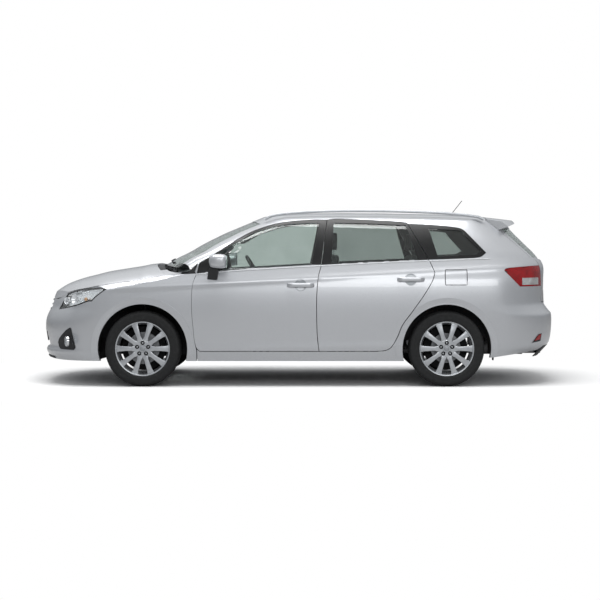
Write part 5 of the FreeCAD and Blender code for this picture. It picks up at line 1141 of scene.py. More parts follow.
def bonnet_prism(gap):
    loop = outline(BONNET_PLAN_SHARES, station, breadth)
    loops = []
    for depth in (height(0.3), 3):
        gaps = []
        for a, b in loop:
            slope = 0.42 * min(1.0, max(0.0, (FRONT_AXLE - a) / 0.12)) if b >= 0 else 0
            gaps.append(gap + slope * abs(depth - bonnet_z(a, b)) * (1 if depth > 2 else -1))
        loops.append([Vector((a, b, depth)) for a, b in grown(loop, gaps)])
    right = loft("bonnet_cut", loops)
    return combine(right, mirrored(right, "left"), "UNION", True)


def make_ends():
    """Bonnet, fenders, bumpers, lamps, roof, tailgate and the two screens."""
    half = SHUT_GAP / 2
    paint, frame_black, trim = look("paint"), look("frame"), look("trim")
    bonnet_hole, tailgate_hole = bonnet_prism(half), tailgate_prism(half)

    bonnet = share_of(walls["full"], bonnet_space(BONNET_WALL), "bonnet", True)
    combine(bonnet, walls["bonnet_top"], "DIFFERENCE", False)
    combine(bonnet, bonnet_prism(-half), "INTERSECT", True)
    add(bonnet, "bonnet_panel", "bonnet", ["bonnet"], [paint, trim], bonnet_sort)

    limits = side_prism(FENDER_SHARES, sides=2)
    fender = share_of(walls["thin"], limits, "fender")
    arch = walls["arch", FRONT_AXLE]
    cut(fender, arch, bonnet_hole)
    lip = flare(FRONT_AXLE, 0.383, limits)
    cut(lip, arch)
    add(joined("fenders", [fender, lip]), "fender_pair", "car_body", ["front_fenders"], [paint, trim],
        panel_sort)

    grille_hole = end_prism(GRILLE_FRONT_SHARES, NOSE_X - 0.02, FRONT_AXLE)
    intake_hole = end_prism(INTAKE_FRONT_SHARES, NOSE_X - 0.02, FRONT_AXLE)
    limits = side_prism(FRONT_BUMPER_SHARES, sides=2)
    bumper = share_of(walls["thin"], limits, "bumper")
    cut(bumper, arch, bonnet_hole, grille_hole, intake_hole)
    lip = flare(FRONT_AXLE, 0.383, limits)
    cut(lip, arch)
    add(joined("bumper", [bumper, lip]), "front_bumper_cover", "car_body", ["front_bumper"], [paint, trim],
        panel_sort)

    lens = cut(copy_of(walls["lower"], "lens"), body_solid("lower", 0.004, 60), drop=True)
    lamp = share_of(lens, side_prism(HEADLAMP_SHARES, -0.001, 2), "head_lenses", True)
    cut(lamp, bonnet_hole)
    add(lamp, "headlamp_lenses", "car_body", ["headlamps"], [look("clear_lens")])
    rear = share_of(lens, side_prism(TAIL_LAMP_SHARES, -0.001, 2), "tail_lenses", True)
    cut(rear, tailgate_hole)
    add(rear, "tail_lamp_lenses", "car_body", ["tail_lamps"], [look("red_lens"), look("white_lens")],
        lambda centre, normal: 1 if 0.874 < centre.z < 0.926 and 1.93 < centre.x < 2.09 else 0)
    walls["lens"] = lens

    limits = side_prism(REAR_BUMPER_SHARES, sides=2)
    bumper = share_of(walls["thin"], limits, "rear_bumper")
    arch = walls["arch", REAR_AXLE]
    cut(bumper, arch, tailgate_hole)
    lip = flare(REAR_AXLE, 0.380, limits)
    cut(lip, arch)
    add(joined("bumper", [bumper, lip]), "rear_bumper_cover", "car_body", ["rear_bumper"], [paint, trim],
        panel_sort)

    roof = share_of(walls["frame"], plan_prism(ROOF_PLAN_SHARES, height(0.85), 3), "roof", True)
    cut(roof, tailgate_hole)
    add(roof, "roof_skin", "car_body", ["roof_panel"], [paint, look("headliner")],
        panel_sort)

    cowl = copy_of(frame["nodes"]["cowl_panel"], "cowl")
    bm = bmesh.new()
    bm.from_mesh(cowl.data)
    bmesh.ops.remove_doubles(bm, verts=bm.verts[:], dist=1e-5)
    for side in (-1, 1):
        bmesh.ops.bisect_plane(bm, geom=bm.verts[:] + bm.edges[:] + bm.faces[:], plane_co=(0, side * COWL_TRIM_HALF, 0),
                               plane_no=(0, 1, 0))
    bm.to_mesh(cowl.data)
    bm.free()
    add(cowl, "cowl_and_wing_tops", "car_body", ["cowl_panel"], [look("black"), paint],
        lambda centre, normal: 1 if abs(centre.y) > COWL_TRIM_HALF else 0)

    screen = share_of(walls["pane"], end_prism(WINDSCREEN_FRONT_SHARES, NOSE_X, 0, -0.0003), "windscreen", True)
    add(screen, "windscreen_pane", "car_body", ["windscreen"], [look("glass")])

    tail_piece = tailgate_prism(-half)
    backlight = end_prism(BACKLIGHT_REAR_SHARES, station(1.373), TAIL_X)
    low = share_of(walls["thin"], tail_piece, "low")
    high = share_of(walls["frame"], tail_piece, "high")
    cut(low, backlight)
    cut(high, backlight)
    slab = side_prism(SPOILER_SHARES, sides=2)
    half_slab = block("slab", (1, -breadth(0.62), 1), (2.3, breadth(0.62), 1.7))
    combine(slab, half_slab, "INTERSECT", True)
    spoiler = cut(body_solid("upper", -0.085, 24), body_solid("upper", 0, 24), drop=True)
    for tool in (slab, tail_piece):
        combine(spoiler, tool, "INTERSECT", False)
    cut(spoiler, walls["roof_top"], backlight)
    add(joined("tailgate", [low, high, spoiler]), "tailgate_panel", "tailgate", ["tailgate"],
        [paint, trim, look("black")], tailgate_sort)
    glass = share_of(walls["pane"], end_prism(BACKLIGHT_REAR_SHARES, station(1.373), TAIL_X, -0.0003), "back", True)
    add(glass, "tailgate_pane", "tailgate", ["tailgate_glass"], [look("rear_glass")])
    for tool in (slab, tail_piece, backlight, grille_hole, intake_hole, limits):
        bpy.data.objects.remove(tool)
    walls["bonnet_hole"], walls["tailgate_hole"] = bonnet_hole, tailgate_hole


def tailgate_sort(centre, normal):
    """0 the outside paint and the spoiler, 1 the trim within."""
    if centre.z > belt_z(centre.x) and centre.x > upper_tail(centre.z) - 0.012:
        return 0
    return 1 if below_skin(centre) else 0


# Wheels: tyre, rim with its spokes, nuts and cap, and the brake disc behind them.
TYRE_RADIUS = 0.3235
TYRE_WIDTH = 0.215
NUT_CIRCLE = 0.050


def turned(name, profile, segments=96):
    """Closed solid turned about the Y axis from pairs of radius and distance outwards."""
    bm = bmesh.new()
    ring = bmesh.ops.create_circle(bm, segments=len(profile), radius=1)["verts"]
    for vert, (radius, out) in zip(ring, profile):
        vert.co = (radius, out, 0)
    bmesh.ops.spin(bm, geom=bm.edges[:] + bm.verts[:], cent=(0, 0, 0), axis=(0, 1, 0), angle=math.tau,
                   steps=segments, use_merge=True)
    bmesh.ops.remove_doubles(bm, verts=bm.verts[:], dist=1e-6)
    bmesh.ops.recalc_face_normals(bm, faces=bm.faces[:])
    return keep_object(name, bm)


def repeated(name, obj, count, start=0.0):
    """One object that holds a piece and its copies, turned evenly about the Y axis."""
    bm = bmesh.new()
    bm.from_mesh(obj.data)
    bpy.data.objects.remove(obj)
    first = bm.verts[:] + bm.edges[:] + bm.faces[:]
    if start:
        bmesh.ops.rotate(bm, cent=(0, 0, 0), matrix=Matrix.Rotation(start, 3, "Y"), verts=bm.verts[:])
    for copy in range(1, count):
        made_now = bmesh.ops.duplicate(bm, geom=first)["geom"]
        verts = [item for item in made_now if isinstance(item, bmesh.types.BMVert)]
        bmesh.ops.rotate(bm, cent=(0, 0, 0), matrix=Matrix.Rotation(math.tau * copy / count, 3, "Y"), verts=verts)
    return keep_object(name, bm)


def moved(obj, place, side=1):
    """A wheel piece is made on the Y axis, facing outwards along +Y; here it goes to its hub."""
    bm = bmesh.new()
    bm.from_mesh(obj.data)
    if side < 0:
        bmesh.ops.scale(bm, vec=(1, -1, 1), verts=bm.verts[:])
        bmesh.ops.reverse_faces(bm, faces=bm.faces[:])
    bmesh.ops.translate(bm, vec=place, verts=bm.verts[:])
    bm.to_mesh(obj.data)
    bm.free()
    return obj


def softened(obj, width, segments=2, angle=30):
    """Round every edge that is sharper than an angle."""
    bm = bmesh.new()
    bm.from_mesh(obj.data)
    bmesh.ops.remove_doubles(bm, verts=bm.verts[:], dist=1e-6)
    limit = math.radians(angle)
    edges = [e for e in bm.edges if len(e.link_faces) == 2 and e.calc_face_angle(0.0) > limit]
    bmesh.ops.bevel(bm, geom=edges, offset=width, segments=segments, profile=0.5, affect="EDGES", material=-1,
                    clamp_overlap=True)
    bm.to_mesh(obj.data)
    bm.free()
    return obj


def tyre():
    """Tyre with rounded shoulders, a rim cord rib and grooves round and across its tread."""
    half = TYRE_WIDTH / 2
    top = TYRE_RADIUS
    groove = 0.0075
    side = [(0.2335, 0.094), (0.2365, 0.101), (0.2420, 0.1035), (0.2520, 0.1045), (0.2560, 0.1060), (0.2600, 0.1060),
            (0.2640, 0.1058), (0.2800, half - 0.0004), (0.2900, half), (0.3000, half - 0.001), (0.3080, half - 0.0045),
            (0.3140, half - 0.0110), (0.3185, half - 0.0190), (0.3215, half - 0.0290)]
    tread = []
    for centre in (0.052, 0.018):
        tread += [(top - 0.0012 * centre / 0.052, centre + 0.0050), (top - groove, centre + 0.0042),
                  (top - groove, centre - 0.0042), (top - 0.0008 * centre / 0.052, centre - 0.0050)]
    outer = side + tread
    inner = [(radius, -out) for radius, out in reversed(outer)]
    bore = [(0.2280, -0.088), (0.2280, 0.088)]
    body = turned("tyre", outer + inner + bore, 120)
    cutters = []
    for out in (1, -1):
        slot = block("sipe", (-0.0016, out * (half - 0.036), 0.3120), (0.0016, out * (half + 0.004), 0.3300))
        cutters.append(repeated("sipes", slot, bpy.context.scene.wagon_wheels.tread_blocks, 0.02 if out > 0 else 0.05))
    for cutter_piece in cutters:
        combine(body, cutter_piece, "DIFFERENCE", True)
    return body


def spoke():
    """One spoke: a flat face that widens from the hub to the rim, with rounded edges."""
    bm = bmesh.new()
    rows = 9
    bmesh.ops.create_cube(bm, size=1)
    bmesh.ops.subdivide_edges(bm, edges=[e for e in bm.edges if abs(e.verts[0].co.z - e.verts[1].co.z) > 0.5],
                              cuts=rows)
    for vert in bm.verts:
        share = vert.co.z + 0.5
        radius = 0.064 + (0.226 - 0.064) * share
        width = 0.0165 + 0.0095 * share ** 1.4 + 0.007 * max(0.0, 1 - share * 7) + 0.006 * max(0.0, share * 6 - 5)
        face = 0.0835 + 0.0045 * math.sin(math.pi * min(1.0, share * 1.1)) - 0.004 * share
        depth = 0.030 + 0.012 * share
        front = vert.co.y > 0
        vert.co = (width * (1 if vert.co.x > 0 else -1) * (1.0 if front else 0.72), face if front else face - depth,
                   radius)
    edges = [e for e in bm.edges if len(e.link_faces) == 2 and e.calc_face_angle(0.0) > 0.6]
    bmesh.ops.bevel(bm, geom=edges, offset=0.0042, segments=3, profile=0.5, affect="EDGES", material=-1)
    return keep_object("spoke", bm)


def rim():
    """Barrel with its lip, ten spokes and the hub pad."""
    outer = [(0.2330, 0.0935), (0.2385, 0.0940), (0.2395, 0.0900), (0.2360, 0.0860), (0.2290, 0.0830), (0.2270, 0.0600),
             (0.2120, 0.0430), (0.2100, -0.0300), (0.2270, -0.0600), (0.2290, -0.0860), (0.2390, -0.0900),
             (0.2330, -0.0935)]
    inner = [(0.2220, -0.0930), (0.2185, -0.0600), (0.2050, -0.0300), (0.2060, 0.0380), (0.2190, 0.0580),
             (0.2215, 0.0810), (0.2240, 0.0900), (0.2280, 0.0930)]
    barrel = turned("barrel", outer + inner, 120)
    count = bpy.context.scene.wagon_wheels.spokes
    spokes = repeated("spokes", spoke(), count, math.pi / count)
    pad = turned("pad", [(0.0001, 0.0840), (0.0230, 0.0840), (0.0240, 0.0800), (0.0300, 0.0800), (0.0340, 0.0845),
                         (0.0700, 0.0850), (0.0760, 0.0800), (0.0745, 0.0560), (0.0350, 0.0500), (0.0001, 0.0500)], 80)
    wells = round_bar("well", (0, 0.0640, NUT_CIRCLE), (0, 0.0900, NUT_CIRCLE), 0.0165, 28, 0.0185)
    wells = repeated("wells", wells, bpy.context.scene.wagon_wheels.nuts)
    combine(pad, wells, "DIFFERENCE", True)
    return joined("rim", [barrel, spokes, pad])


def wheel_fittings():
    """Cap, nuts in their wells and the valve, and near-black cups that line the wells as painted shade."""
    cap = turned("cap", [(0.0001, 0.0905), (0.0120, 0.0900), (0.0190, 0.0880), (0.0215, 0.0850), (0.0215, 0.0780),
                         (0.0001, 0.0780)], 48)
    nut = round_bar("nut", (0, 0.0580, NUT_CIRCLE), (0, 0.0800, NUT_CIRCLE), 0.0100, 6)
    softened(nut, 0.0012, 2)
    crown = round_bar("crown", (0, 0.0795, NUT_CIRCLE), (0, 0.0830, NUT_CIRCLE), 0.0085, 24, 0.0050)
    nuts = repeated("nuts", joined("nut", [nut, crown]), bpy.context.scene.wagon_wheels.nuts)
    stem = round_bar("stem", (0, 0.0660, -0.2100), (0, 0.0920, -0.2010), 0.0032, 16)
    # A near-black cup lines each nut well: painted shade in the recess.
    shade_cup = round_bar("shade_cup", (0, 0.0630, NUT_CIRCLE), (0, 0.0820, NUT_CIRCLE), 0.0164, 28, 0.0180)
    combine(shade_cup, round_bar("hollow", (0, 0.0660, NUT_CIRCLE), (0, 0.0900, NUT_CIRCLE), 0.0150, 28, 0.0176),
            "DIFFERENCE", True)
    return cap, nuts, stem, repeated("shade_cups", shade_cup, bpy.context.scene.wagon_wheels.nuts)


def make_wheels():
    places = (("front_left", FRONT_AXLE, -1), ("front_right", FRONT_AXLE, 1),
              ("rear_left", REAR_AXLE, -1), ("rear_right", REAR_AXLE, 1))
    for name, x, side in places:
        place = (x, side * TRACK / 2, HUB_Z)
        body = "wheel_" + name
        add(moved(tyre(), place, side), "tyre_" + name + "_cover", body, ["tyre_" + name],
            [look("tyre")], sharp=24)
        add(moved(rim(), place, side), "rim_" + name + "_casting", body, ["rim_" + name],
            [look("alloy")], sharp=35)
        cap, nuts, stem, shade_cups = wheel_fittings()
        # The well cups take the near-black painted shade.
        add(moved(shade_cups, place, side), "nut_well_shade_" + name, body, (), [look("shadow")])
        add(moved(cap, place, side), "wheel_cap_" + name, body, (), [look("cap")])
        add(moved(nuts, place, side), "wheel_nuts_" + name, body, (), [look("steel_bright")])
        add(moved(stem, place, side), "valve_" + name, body, (), [look("rubber")])


def make_brakes():
    """Vented discs on their hats."""
    for name, x, side in (("front_left", FRONT_AXLE, -1), ("front_right", FRONT_AXLE, 1),
                          ("rear_left", REAR_AXLE, -1), ("rear_right", REAR_AXLE, 1)):
        radius = 0.138 if x < 0 else 0.128
        disc = turned("disc", [(0.0400, 0.0470), (0.0700, 0.0470), (0.0740, 0.0430), (0.0740, 0.0100),
                               (0.0780, 0.0070), (radius - 0.001, 0.0070), (radius, 0.0060), (radius, -0.0030),
                               (radius - 0.004, -0.0040), (radius - 0.004, -0.0090), (radius, -0.0100),
                               (radius, -0.0160), (radius - 0.001, -0.0170), (0.0400, -0.0170)], 96)
        holes = round_bar("hole", (0, 0.0, 0.112), (0, 0.012, 0.112), 0.003, 12)
        combine(disc, repeated("holes", holes, 36), "DIFFERENCE", True)
        add(moved(disc, (x, side * TRACK / 2, HUB_Z), side), "brake_disc_" + name, "wheel_" + name, (),
            [look("iron")])


def make_shields():
    """Near-black splash shields, wide as painted shade behind the spokes; the front ones turn with the hubs that carry
    them.
    """
    for name, x, side in (("front_left", FRONT_AXLE, -1), ("front_right", FRONT_AXLE, 1),
                          ("rear_left", REAR_AXLE, -1), ("rear_right", REAR_AXLE, 1)):
        shade_shield = turned("shade_shield", [(0.030, -0.0230), (0.150, -0.0230), (0.176, -0.0200), (0.190, -0.0215),
                                   (0.190, -0.0235), (0.176, -0.0222), (0.150, -0.0252), (0.030, -0.0252)], 72)
        body = "knuckle_" + name[6:] if x < 0 else "car_body"
        # The shields take the near-black painted shade.
        add(moved(shade_shield, (x, side * TRACK / 2, HUB_Z), side), "splash_shield_" + name, body, (),
            [look("shadow")])


def make_liners():
    """Liners that follow each arch inside the wall and reach far inwards, near-black as painted shade."""
    for axle, radius, room, inner, name in ((FRONT_AXLE, 0.383, 0.036, 0.455, "front"),
                                            (REAR_AXLE, 0.380, -0.001, 0.615, "rear")):
        loops = []
        rows = 36
        for step in range(rows + 1):
            angle = math.radians(-8 + 196 * step / rows)
            place = []
            for reach, out in ((radius - 0.001, 0.800), (radius + 0.003, 0.800), (radius + room + 0.003, 0.760),
                               (radius + room + 0.003, inner), (radius + room, inner), (radius + room, 0.757)):
                x, z = axle + math.cos(angle) * reach, HUB_Z + math.sin(angle) * reach
                far = min(out, side_skin(x, max(z, 0.25)) - 0.012)
                place.append(Vector((x, -(far if out > 0.7 else out), z)))
            loops.append(place)
        left = loft("liner", loops)
        # The front arch is closed ahead of the wheel by a near-black wall: painted shade that hides the view under the
        # car.
        if name == "front":
            shade_shield = []
            for step in range(9):
                angle = math.radians(170 + 26 * step / 8)
                shade_shield.append([Vector((axle + math.cos(angle) * reach, -out, HUB_Z + math.sin(angle) * reach))
                               for reach, out in ((0.250, 0.452), (0.455, 0.452), (0.455, 0.455), (0.250, 0.455))])
            left = joined("liner", [left, loft("shade_shield", shade_shield)])
        add(both_sides(left, "liners"), "arch_liners_" + name, "car_body", (), [look("shadow")])


# Trim, lamps and small fittings on the body's skin.
QUARTER_BAND_SHARES = [
    [(0.912, 0.7155), (1.236, 0.726)],
    [(1.236, 0.726), (1.300, 0.734), (1.345, 0.757)],
    [(1.345, 0.757), (1.166, 0.884)],
    [(1.166, 0.884), (1.100, 0.902), (0.960, 0.916), (0.840, 0.926)],
    [(0.840, 0.926), (0.865, 0.854), (0.890, 0.781), (0.912, 0.7155)],
]
HANDLE_PLACES = (("front_door", 0.0205, 0.869), ("rear_door", 0.9595, 0.917))


def swept(name, places, width, height_of_bar, segments=8):
    """Closed bar of rounded section along a run of places. Width lies along the way that the skin faces."""
    loops = []
    count = len(places)
    for i, here in enumerate(places):
        along = (Vector(places[min(i + 1, count - 1)]) - Vector(places[max(i - 1, 0)])).normalized()
        out = Vector((0, -1 if here[1] < 0 else 1, 0))
        up = along.cross(out).normalized()
        out = up.cross(along).normalized()
        loop = []
        for step in range(segments):
            angle = math.tau * (step + 0.5) / segments
            reach_a = math.copysign(abs(math.cos(angle)) ** 0.5, math.cos(angle)) * height_of_bar / 2
            reach_b = math.copysign(abs(math.sin(angle)) ** 0.5, math.sin(angle)) * width / 2
            loop.append(Vector(here) + up * reach_a + out * reach_b)
        loops.append(loop)
    return loft(name, loops)


def skin_place(x, z, out=0.0):
    """A point on the car's left side, so far out from its skin."""
    return Vector((x, -(side_skin(x, z) + relief("lower", x, z) * (1 if z < belt_z(x) else 0) + out), z))


def both_sides(obj, name):
    return joined(name, [obj, mirrored(obj, name + "_right")])


def skin_patch(name, runs, inset, depth, gap=0.0, kind="lower", sides=2):
    """Thin piece of the skin within an outline, between two depths below it."""
    shell = body_solid(kind, inset, 60)
    combine(shell, body_solid(kind, inset + depth, 40), "DIFFERENCE", True)
    return combine(shell, side_prism(runs, gap, sides), "INTERSECT", True)


def make_side_trim():
    """Black quarter band and sails, and bright mouldings below the windows."""
    band = skin_patch("band", QUARTER_BAND_SHARES, -0.0012, 0.004, kind="upper", sides=-1)
    combine(band, side_prism(QUARTER_GLASS_SHARES), "DIFFERENCE", True)
    combine(band, door_prism(REAR_DOOR_SHARES, SHUT_GAP / 2), "DIFFERENCE", True)
    add(both_sides(band, "bands"), "quarter_surround", "car_body", (), [look("frame")])
    corners = [skin_place(-0.945, 0.972, 0.001), skin_place(-0.862, 1.056, 0.001), skin_place(-0.890, 0.958, 0.001)]
    outer = [[p + Vector((0, out, 0)) for p in corners] for out in (0.0, 0.006)]
    add(both_sides(loft("sail", outer), "sails"), "fender_sails", "car_body", (), [look("frame")])
    for body, start, end in (("front_door", -0.872, 0.272), ("rear_door", 0.286, 1.105)):
        line = []
        for step in range(25):
            x = start + (end - start) * step / 24
            z = belt_z(x) + 0.002
            line.append(skin_place(x, z - 0.010, 0.0022))
        left = swept("moulding", line, 0.004, 0.0095)
        for obj, side in ((left, "left"), (mirrored(left, "right"), "right")):
            add(obj, body + "_moulding_" + side, body + "_" + side, (), [look("bright_trim")])
    line = [skin_place(1.118 + (1.640 - 1.118) * step / 16, belt_z(1.118 + (1.640 - 1.118) * step / 16) - 0.008, 0.0022)
            for step in range(17)]
    add(both_sides(swept("moulding", line, 0.004, 0.0095), "mouldings"), "quarter_moulding", "car_body", (),
        [look("bright_trim")])


def make_handles():
    """Grip bars with rounded ends that stand off the doors above a round dish."""
    sizes = bpy.context.scene.wagon_handles
    for body, x, z in HANDLE_PLACES:
        line = []
        for step in range(25):
            share = step / 24
            lift = sizes.stand * min(1.0, math.sin(math.pi * share) * 2.2) ** 0.5 if 0 < share < 1 else 0.0
            line.append(skin_place(x + sizes.length * (share - 0.5), z, 0.002 + lift))
        bar = swept("bar", line, 0.014, sizes.height, 14)
        dish = turned("dish", [(0.0001, 0.0004), (0.030, 0.0006), (0.046, 0.0012), (0.0500, 0.0022), (0.0520, 0.0012),
                               (0.0525, -0.002), (0.0001, -0.002)], 64)
        skin = skin_place(x, z)
        lean = (skin_place(x, z + 0.04) - skin_place(x, z - 0.04))
        bm = bmesh.new()
        bm.from_mesh(dish.data)
        bmesh.ops.scale(bm, vec=(1, -1, 1), verts=bm.verts[:])
        bmesh.ops.reverse_faces(bm, faces=bm.faces[:])
        bmesh.ops.rotate(bm, cent=(0, 0, 0), matrix=Matrix.Rotation(-math.atan2(lean.y, lean.z), 3, "X"),
                         verts=bm.verts[:])
        bmesh.ops.translate(bm, vec=skin, verts=bm.verts[:])
        bm.to_mesh(dish.data)
        bm.free()
        # The dish takes the darker paint, painted shade in its recess.
        for obj, kind, key in ((bar, "handle", "paint"), (dish, "handle_dish", "dish_painted_shade")):
            for piece, side in ((obj, "left"), (mirrored(obj, "right"), "right")):
                add(piece, body + "_" + kind + "_" + side, body + "_" + side, (), [look(key)], sharp=50)


def make_mirrors():
    """Rounded mirror heads with dark glass behind, on black feet."""
    centre = Vector((-0.668, -0.928, 1.066))
    bm = bmesh.new()
    bmesh.ops.create_cube(bm, size=1)
    bmesh.ops.subdivide_edges(bm, edges=bm.edges[:], cuts=11, use_grid_fill=True)
    for vert in bm.verts:
        x, y, z = (value * 2 for value in vert.co)
        size = (abs(x) ** 3.2 + abs(y) ** 3.2 + abs(z) ** 3.2) ** (1 / 3.2)
        x, y, z = x / size, y / size, z / size
        taper = 1 - 0.16 * (y + 1) / 2
        vert.co = centre + Vector(((x if x > 0 else x * 1.15) * 0.074, y * 0.098, z * 0.064 * taper + 0.010 * (1 - y) / 2))
    face = block("face", centre + Vector((0.062, -0.2, -0.2)), centre + Vector((0.2, 0.2, 0.2)))
    head = keep_object("head", bm)
    combine(head, face, "DIFFERENCE", True)
    glass = block("glass", centre + Vector((0.0605, -0.082, -0.050)), centre + Vector((0.0635, 0.080, 0.052)), 0.0012)
    foot = loft("foot", [
        [Vector((a, y, b)) for a, b in points] for y, points in (
            (-0.906, [(-0.752, 0.998), (-0.682, 0.996), (-0.676, 1.022), (-0.742, 1.024)]),
            (-0.878, [(-0.772, 0.930), (-0.690, 0.920), (-0.680, 1.004), (-0.758, 1.010)]),
            (-0.835, [(-0.778, 0.905), (-0.686, 0.900), (-0.678, 0.990), (-0.768, 0.996)]))])
    softened(foot, 0.006, 3)
    for name, obj, key in (("mirror_shell", head, "paint"), ("mirror_glass", glass, "mirror"),
                           ("mirror_foot", foot, "black")):
        for piece, side in ((obj, "left"), (mirrored(obj, "right"), "right")):
            nodes = ["door_mirror_" + side] if name == "mirror_shell" else ()
            add(piece, name + "_" + side, "front_door_" + side, nodes,
                [look(key)], sharp=40)


def make_roof_fittings():
    """Roof rails that arch up from the roof, and the aerial's base."""
    line = []
    start, end = station(0.400), station(1.345)
    y = breadth(0.625) + 0.012
    for step in range(41):
        share = step / 40
        x = start + (end - start) * share
        arc = math.sin(math.pi * share) ** 0.35 if 0 < share < 1 else 0.0
        line.append((x, -y, roof_z(x, y) + 0.006 + 0.045 * arc))
    rail = swept("rail", line, 0.024, 0.024, 16)
    rails = both_sides(rail, "rails")
    add(rails, "roof_rail_bars", "car_body", ["roof_rails"], [look("rail")], sharp=50)
    x = station(1.130)
    z = roof_z(x, 0)
    foot = round_bar("foot", (x, 0, z - 0.002), (x + 0.004, 0, z + 0.022), 0.020, 32, 0.010)
    softened(foot, 0.003, 2)
    add(foot, "aerial_base", "car_body", (), [look("black")])


def end_place(y, z, out, front=True):
    """A point on the nose or the tail, so far out from the skin, for a height and a distance across."""
    half = lower_half_width((NOSE_X + 0.3) if front else (TAIL_X - 0.3), z)
    turn, power = (CORNER_TURNS[0], 2.4) if front else (CORNER_TURNS[1], 2.5)
    run = (max(0.0, 1 - (abs(y) / half) ** power)) ** (1 / power)
    reach = turn * (1 - run)
    x = lower_nose(z) + reach - out if front else lower_tail(z) - reach + out
    return Vector((x, y, z))


def curved_plate(name, half_wide, low, high, out, depth, front=True, columns=24, centre=0.0):
    """Thin plate bent along the nose or the tail."""
    loops = []
    for step in range(columns + 1):
        y = centre - half_wide + 2 * half_wide * step / columns
        loops.append([end_place(y, low, out, front), end_place(y, high, out, front),
                      end_place(y, high, out - depth, front), end_place(y, low, out - depth, front)])
    return loft(name, loops)


LAMP_CONES = ((-1.955, 0.731, 0.029), (-1.885, 0.748, 0.039))


def make_lamps():
    """Headlamp bowls, reflectors, bulbs and amber part; tail-lamp bowls; black borders round both lamps."""
    shell = body_solid("lower", 0.032, 50)
    combine(shell, body_solid("lower", 0.058, 30), "DIFFERENCE", True)
    bowl = share_of(shell, side_prism(HEADLAMP_SHARES, -0.004, 2), "bowl")
    cut(bowl, walls["bonnet_hole"])
    add(bowl, "headlamp_bowls", "car_body", (), [look("reflector")])
    tail_bowl = share_of(shell, side_prism(TAIL_LAMP_SHARES, -0.004, 2), "bowl", False)
    cut(tail_bowl, walls["tailgate_hole"])
    add(tail_bowl, "tail_lamp_bowls", "car_body", (), [look("tail_bowl")])
    bpy.data.objects.remove(shell)
    rim_shell = cut(copy_of(walls["lower"], "edge"), body_solid("lower", 0.030, 40), drop=True)
    for runs, name, hole in ((HEADLAMP_SHARES, "headlamp_borders", "bonnet_hole"),
                             (TAIL_LAMP_SHARES, "tail_lamp_borders", "tailgate_hole")):
        band = share_of(rim_shell, side_prism(runs, -0.002, 2), name)
        combine(band, side_prism(runs, -0.010, 2), "DIFFERENCE", True)
        combine(band, walls["lens"], "DIFFERENCE", False)
        cut(band, walls[hole])
        add(band, name, "car_body", (), [look("black")])
    bpy.data.objects.remove(rim_shell)
    for side in (-1, 1):
        name = "left" if side < 0 else "right"
        parts = []
        for x, z, radius in LAMP_CONES:
            y = side_skin(x, z) - 0.052
            cone = turned("cone", [(0.010, 0.0), (radius * 0.55, 0.008), (radius, 0.036), (radius + 0.003, 0.036),
                                   (radius * 0.6, 0.004), (0.010, -0.004)], 48)
            parts.append(placed_on(cone, (x, side * y, z), (-0.75, side, 0.10)))
        add(joined("cones", parts), "lamp_reflectors_" + name, "car_body", (), [look("reflector")])
        bulbs = []
        for x, z, radius in LAMP_CONES:
            y = side_skin(x, z) - 0.050
            bulb = turned("bulb", [(0.0001, 0.030), (0.0060, 0.028), (0.0095, 0.020), (0.0085, 0.006), (0.0001, 0.0)], 24)
            bulbs.append(placed_on(bulb, (x, side * y, z), (-0.75, side, 0.10)))
        add(joined("bulbs", bulbs), "lamp_bulbs_" + name, "car_body", (), [look("bulb")])
        amber = placed_on(turned("amber", [(0.0001, 0.012), (0.013, 0.009), (0.016, 0.003), (0.016, -0.005),
                                           (0.0001, -0.005)], 36),
                          (-1.812, side * (side_skin(-1.812, 0.746) - 0.036), 0.746), (-0.3, side, 0.0))
        add(amber, "indicator_" + name, "car_body", (), [look("amber")])


def placed_on(obj, place, facing):
    """Move a piece made on the Y axis to a place, facing a way."""
    bm = bmesh.new()
    bm.from_mesh(obj.data)
    turn = Vector((0, 1, 0)).rotation_difference(Vector(facing)).to_matrix().to_4x4()
    bmesh.ops.transform(bm, matrix=Matrix.Translation(place) @ turn, verts=bm.verts[:])
    bm.to_mesh(obj.data)
    bm.free()
    return obj


FOG_BEZEL_POINTS = [(-1.958, 0.504), (-1.995, 0.482), (-2.038, 0.440), (-2.072, 0.400), (-2.082, 0.368),
                    (-2.074, 0.330), (-2.055, 0.311), (-1.925, 0.309), (-1.909, 0.330), (-1.946, 0.498)]
REAR_BEZEL_POINTS = [(2.016, 0.369), (2.075, 0.438), (2.110, 0.446), (2.100, 0.380)]


def skin_outline(points):
    """An outline in metres, seen from the side, as a closed loop of straight runs in shares."""
    loop = points + points[:1]
    return [[(station_share(a[0]), a[1] / HEIGHT), (station_share(b[0]), b[1] / HEIGHT)]
            for a, b in zip(loop, loop[1:])]


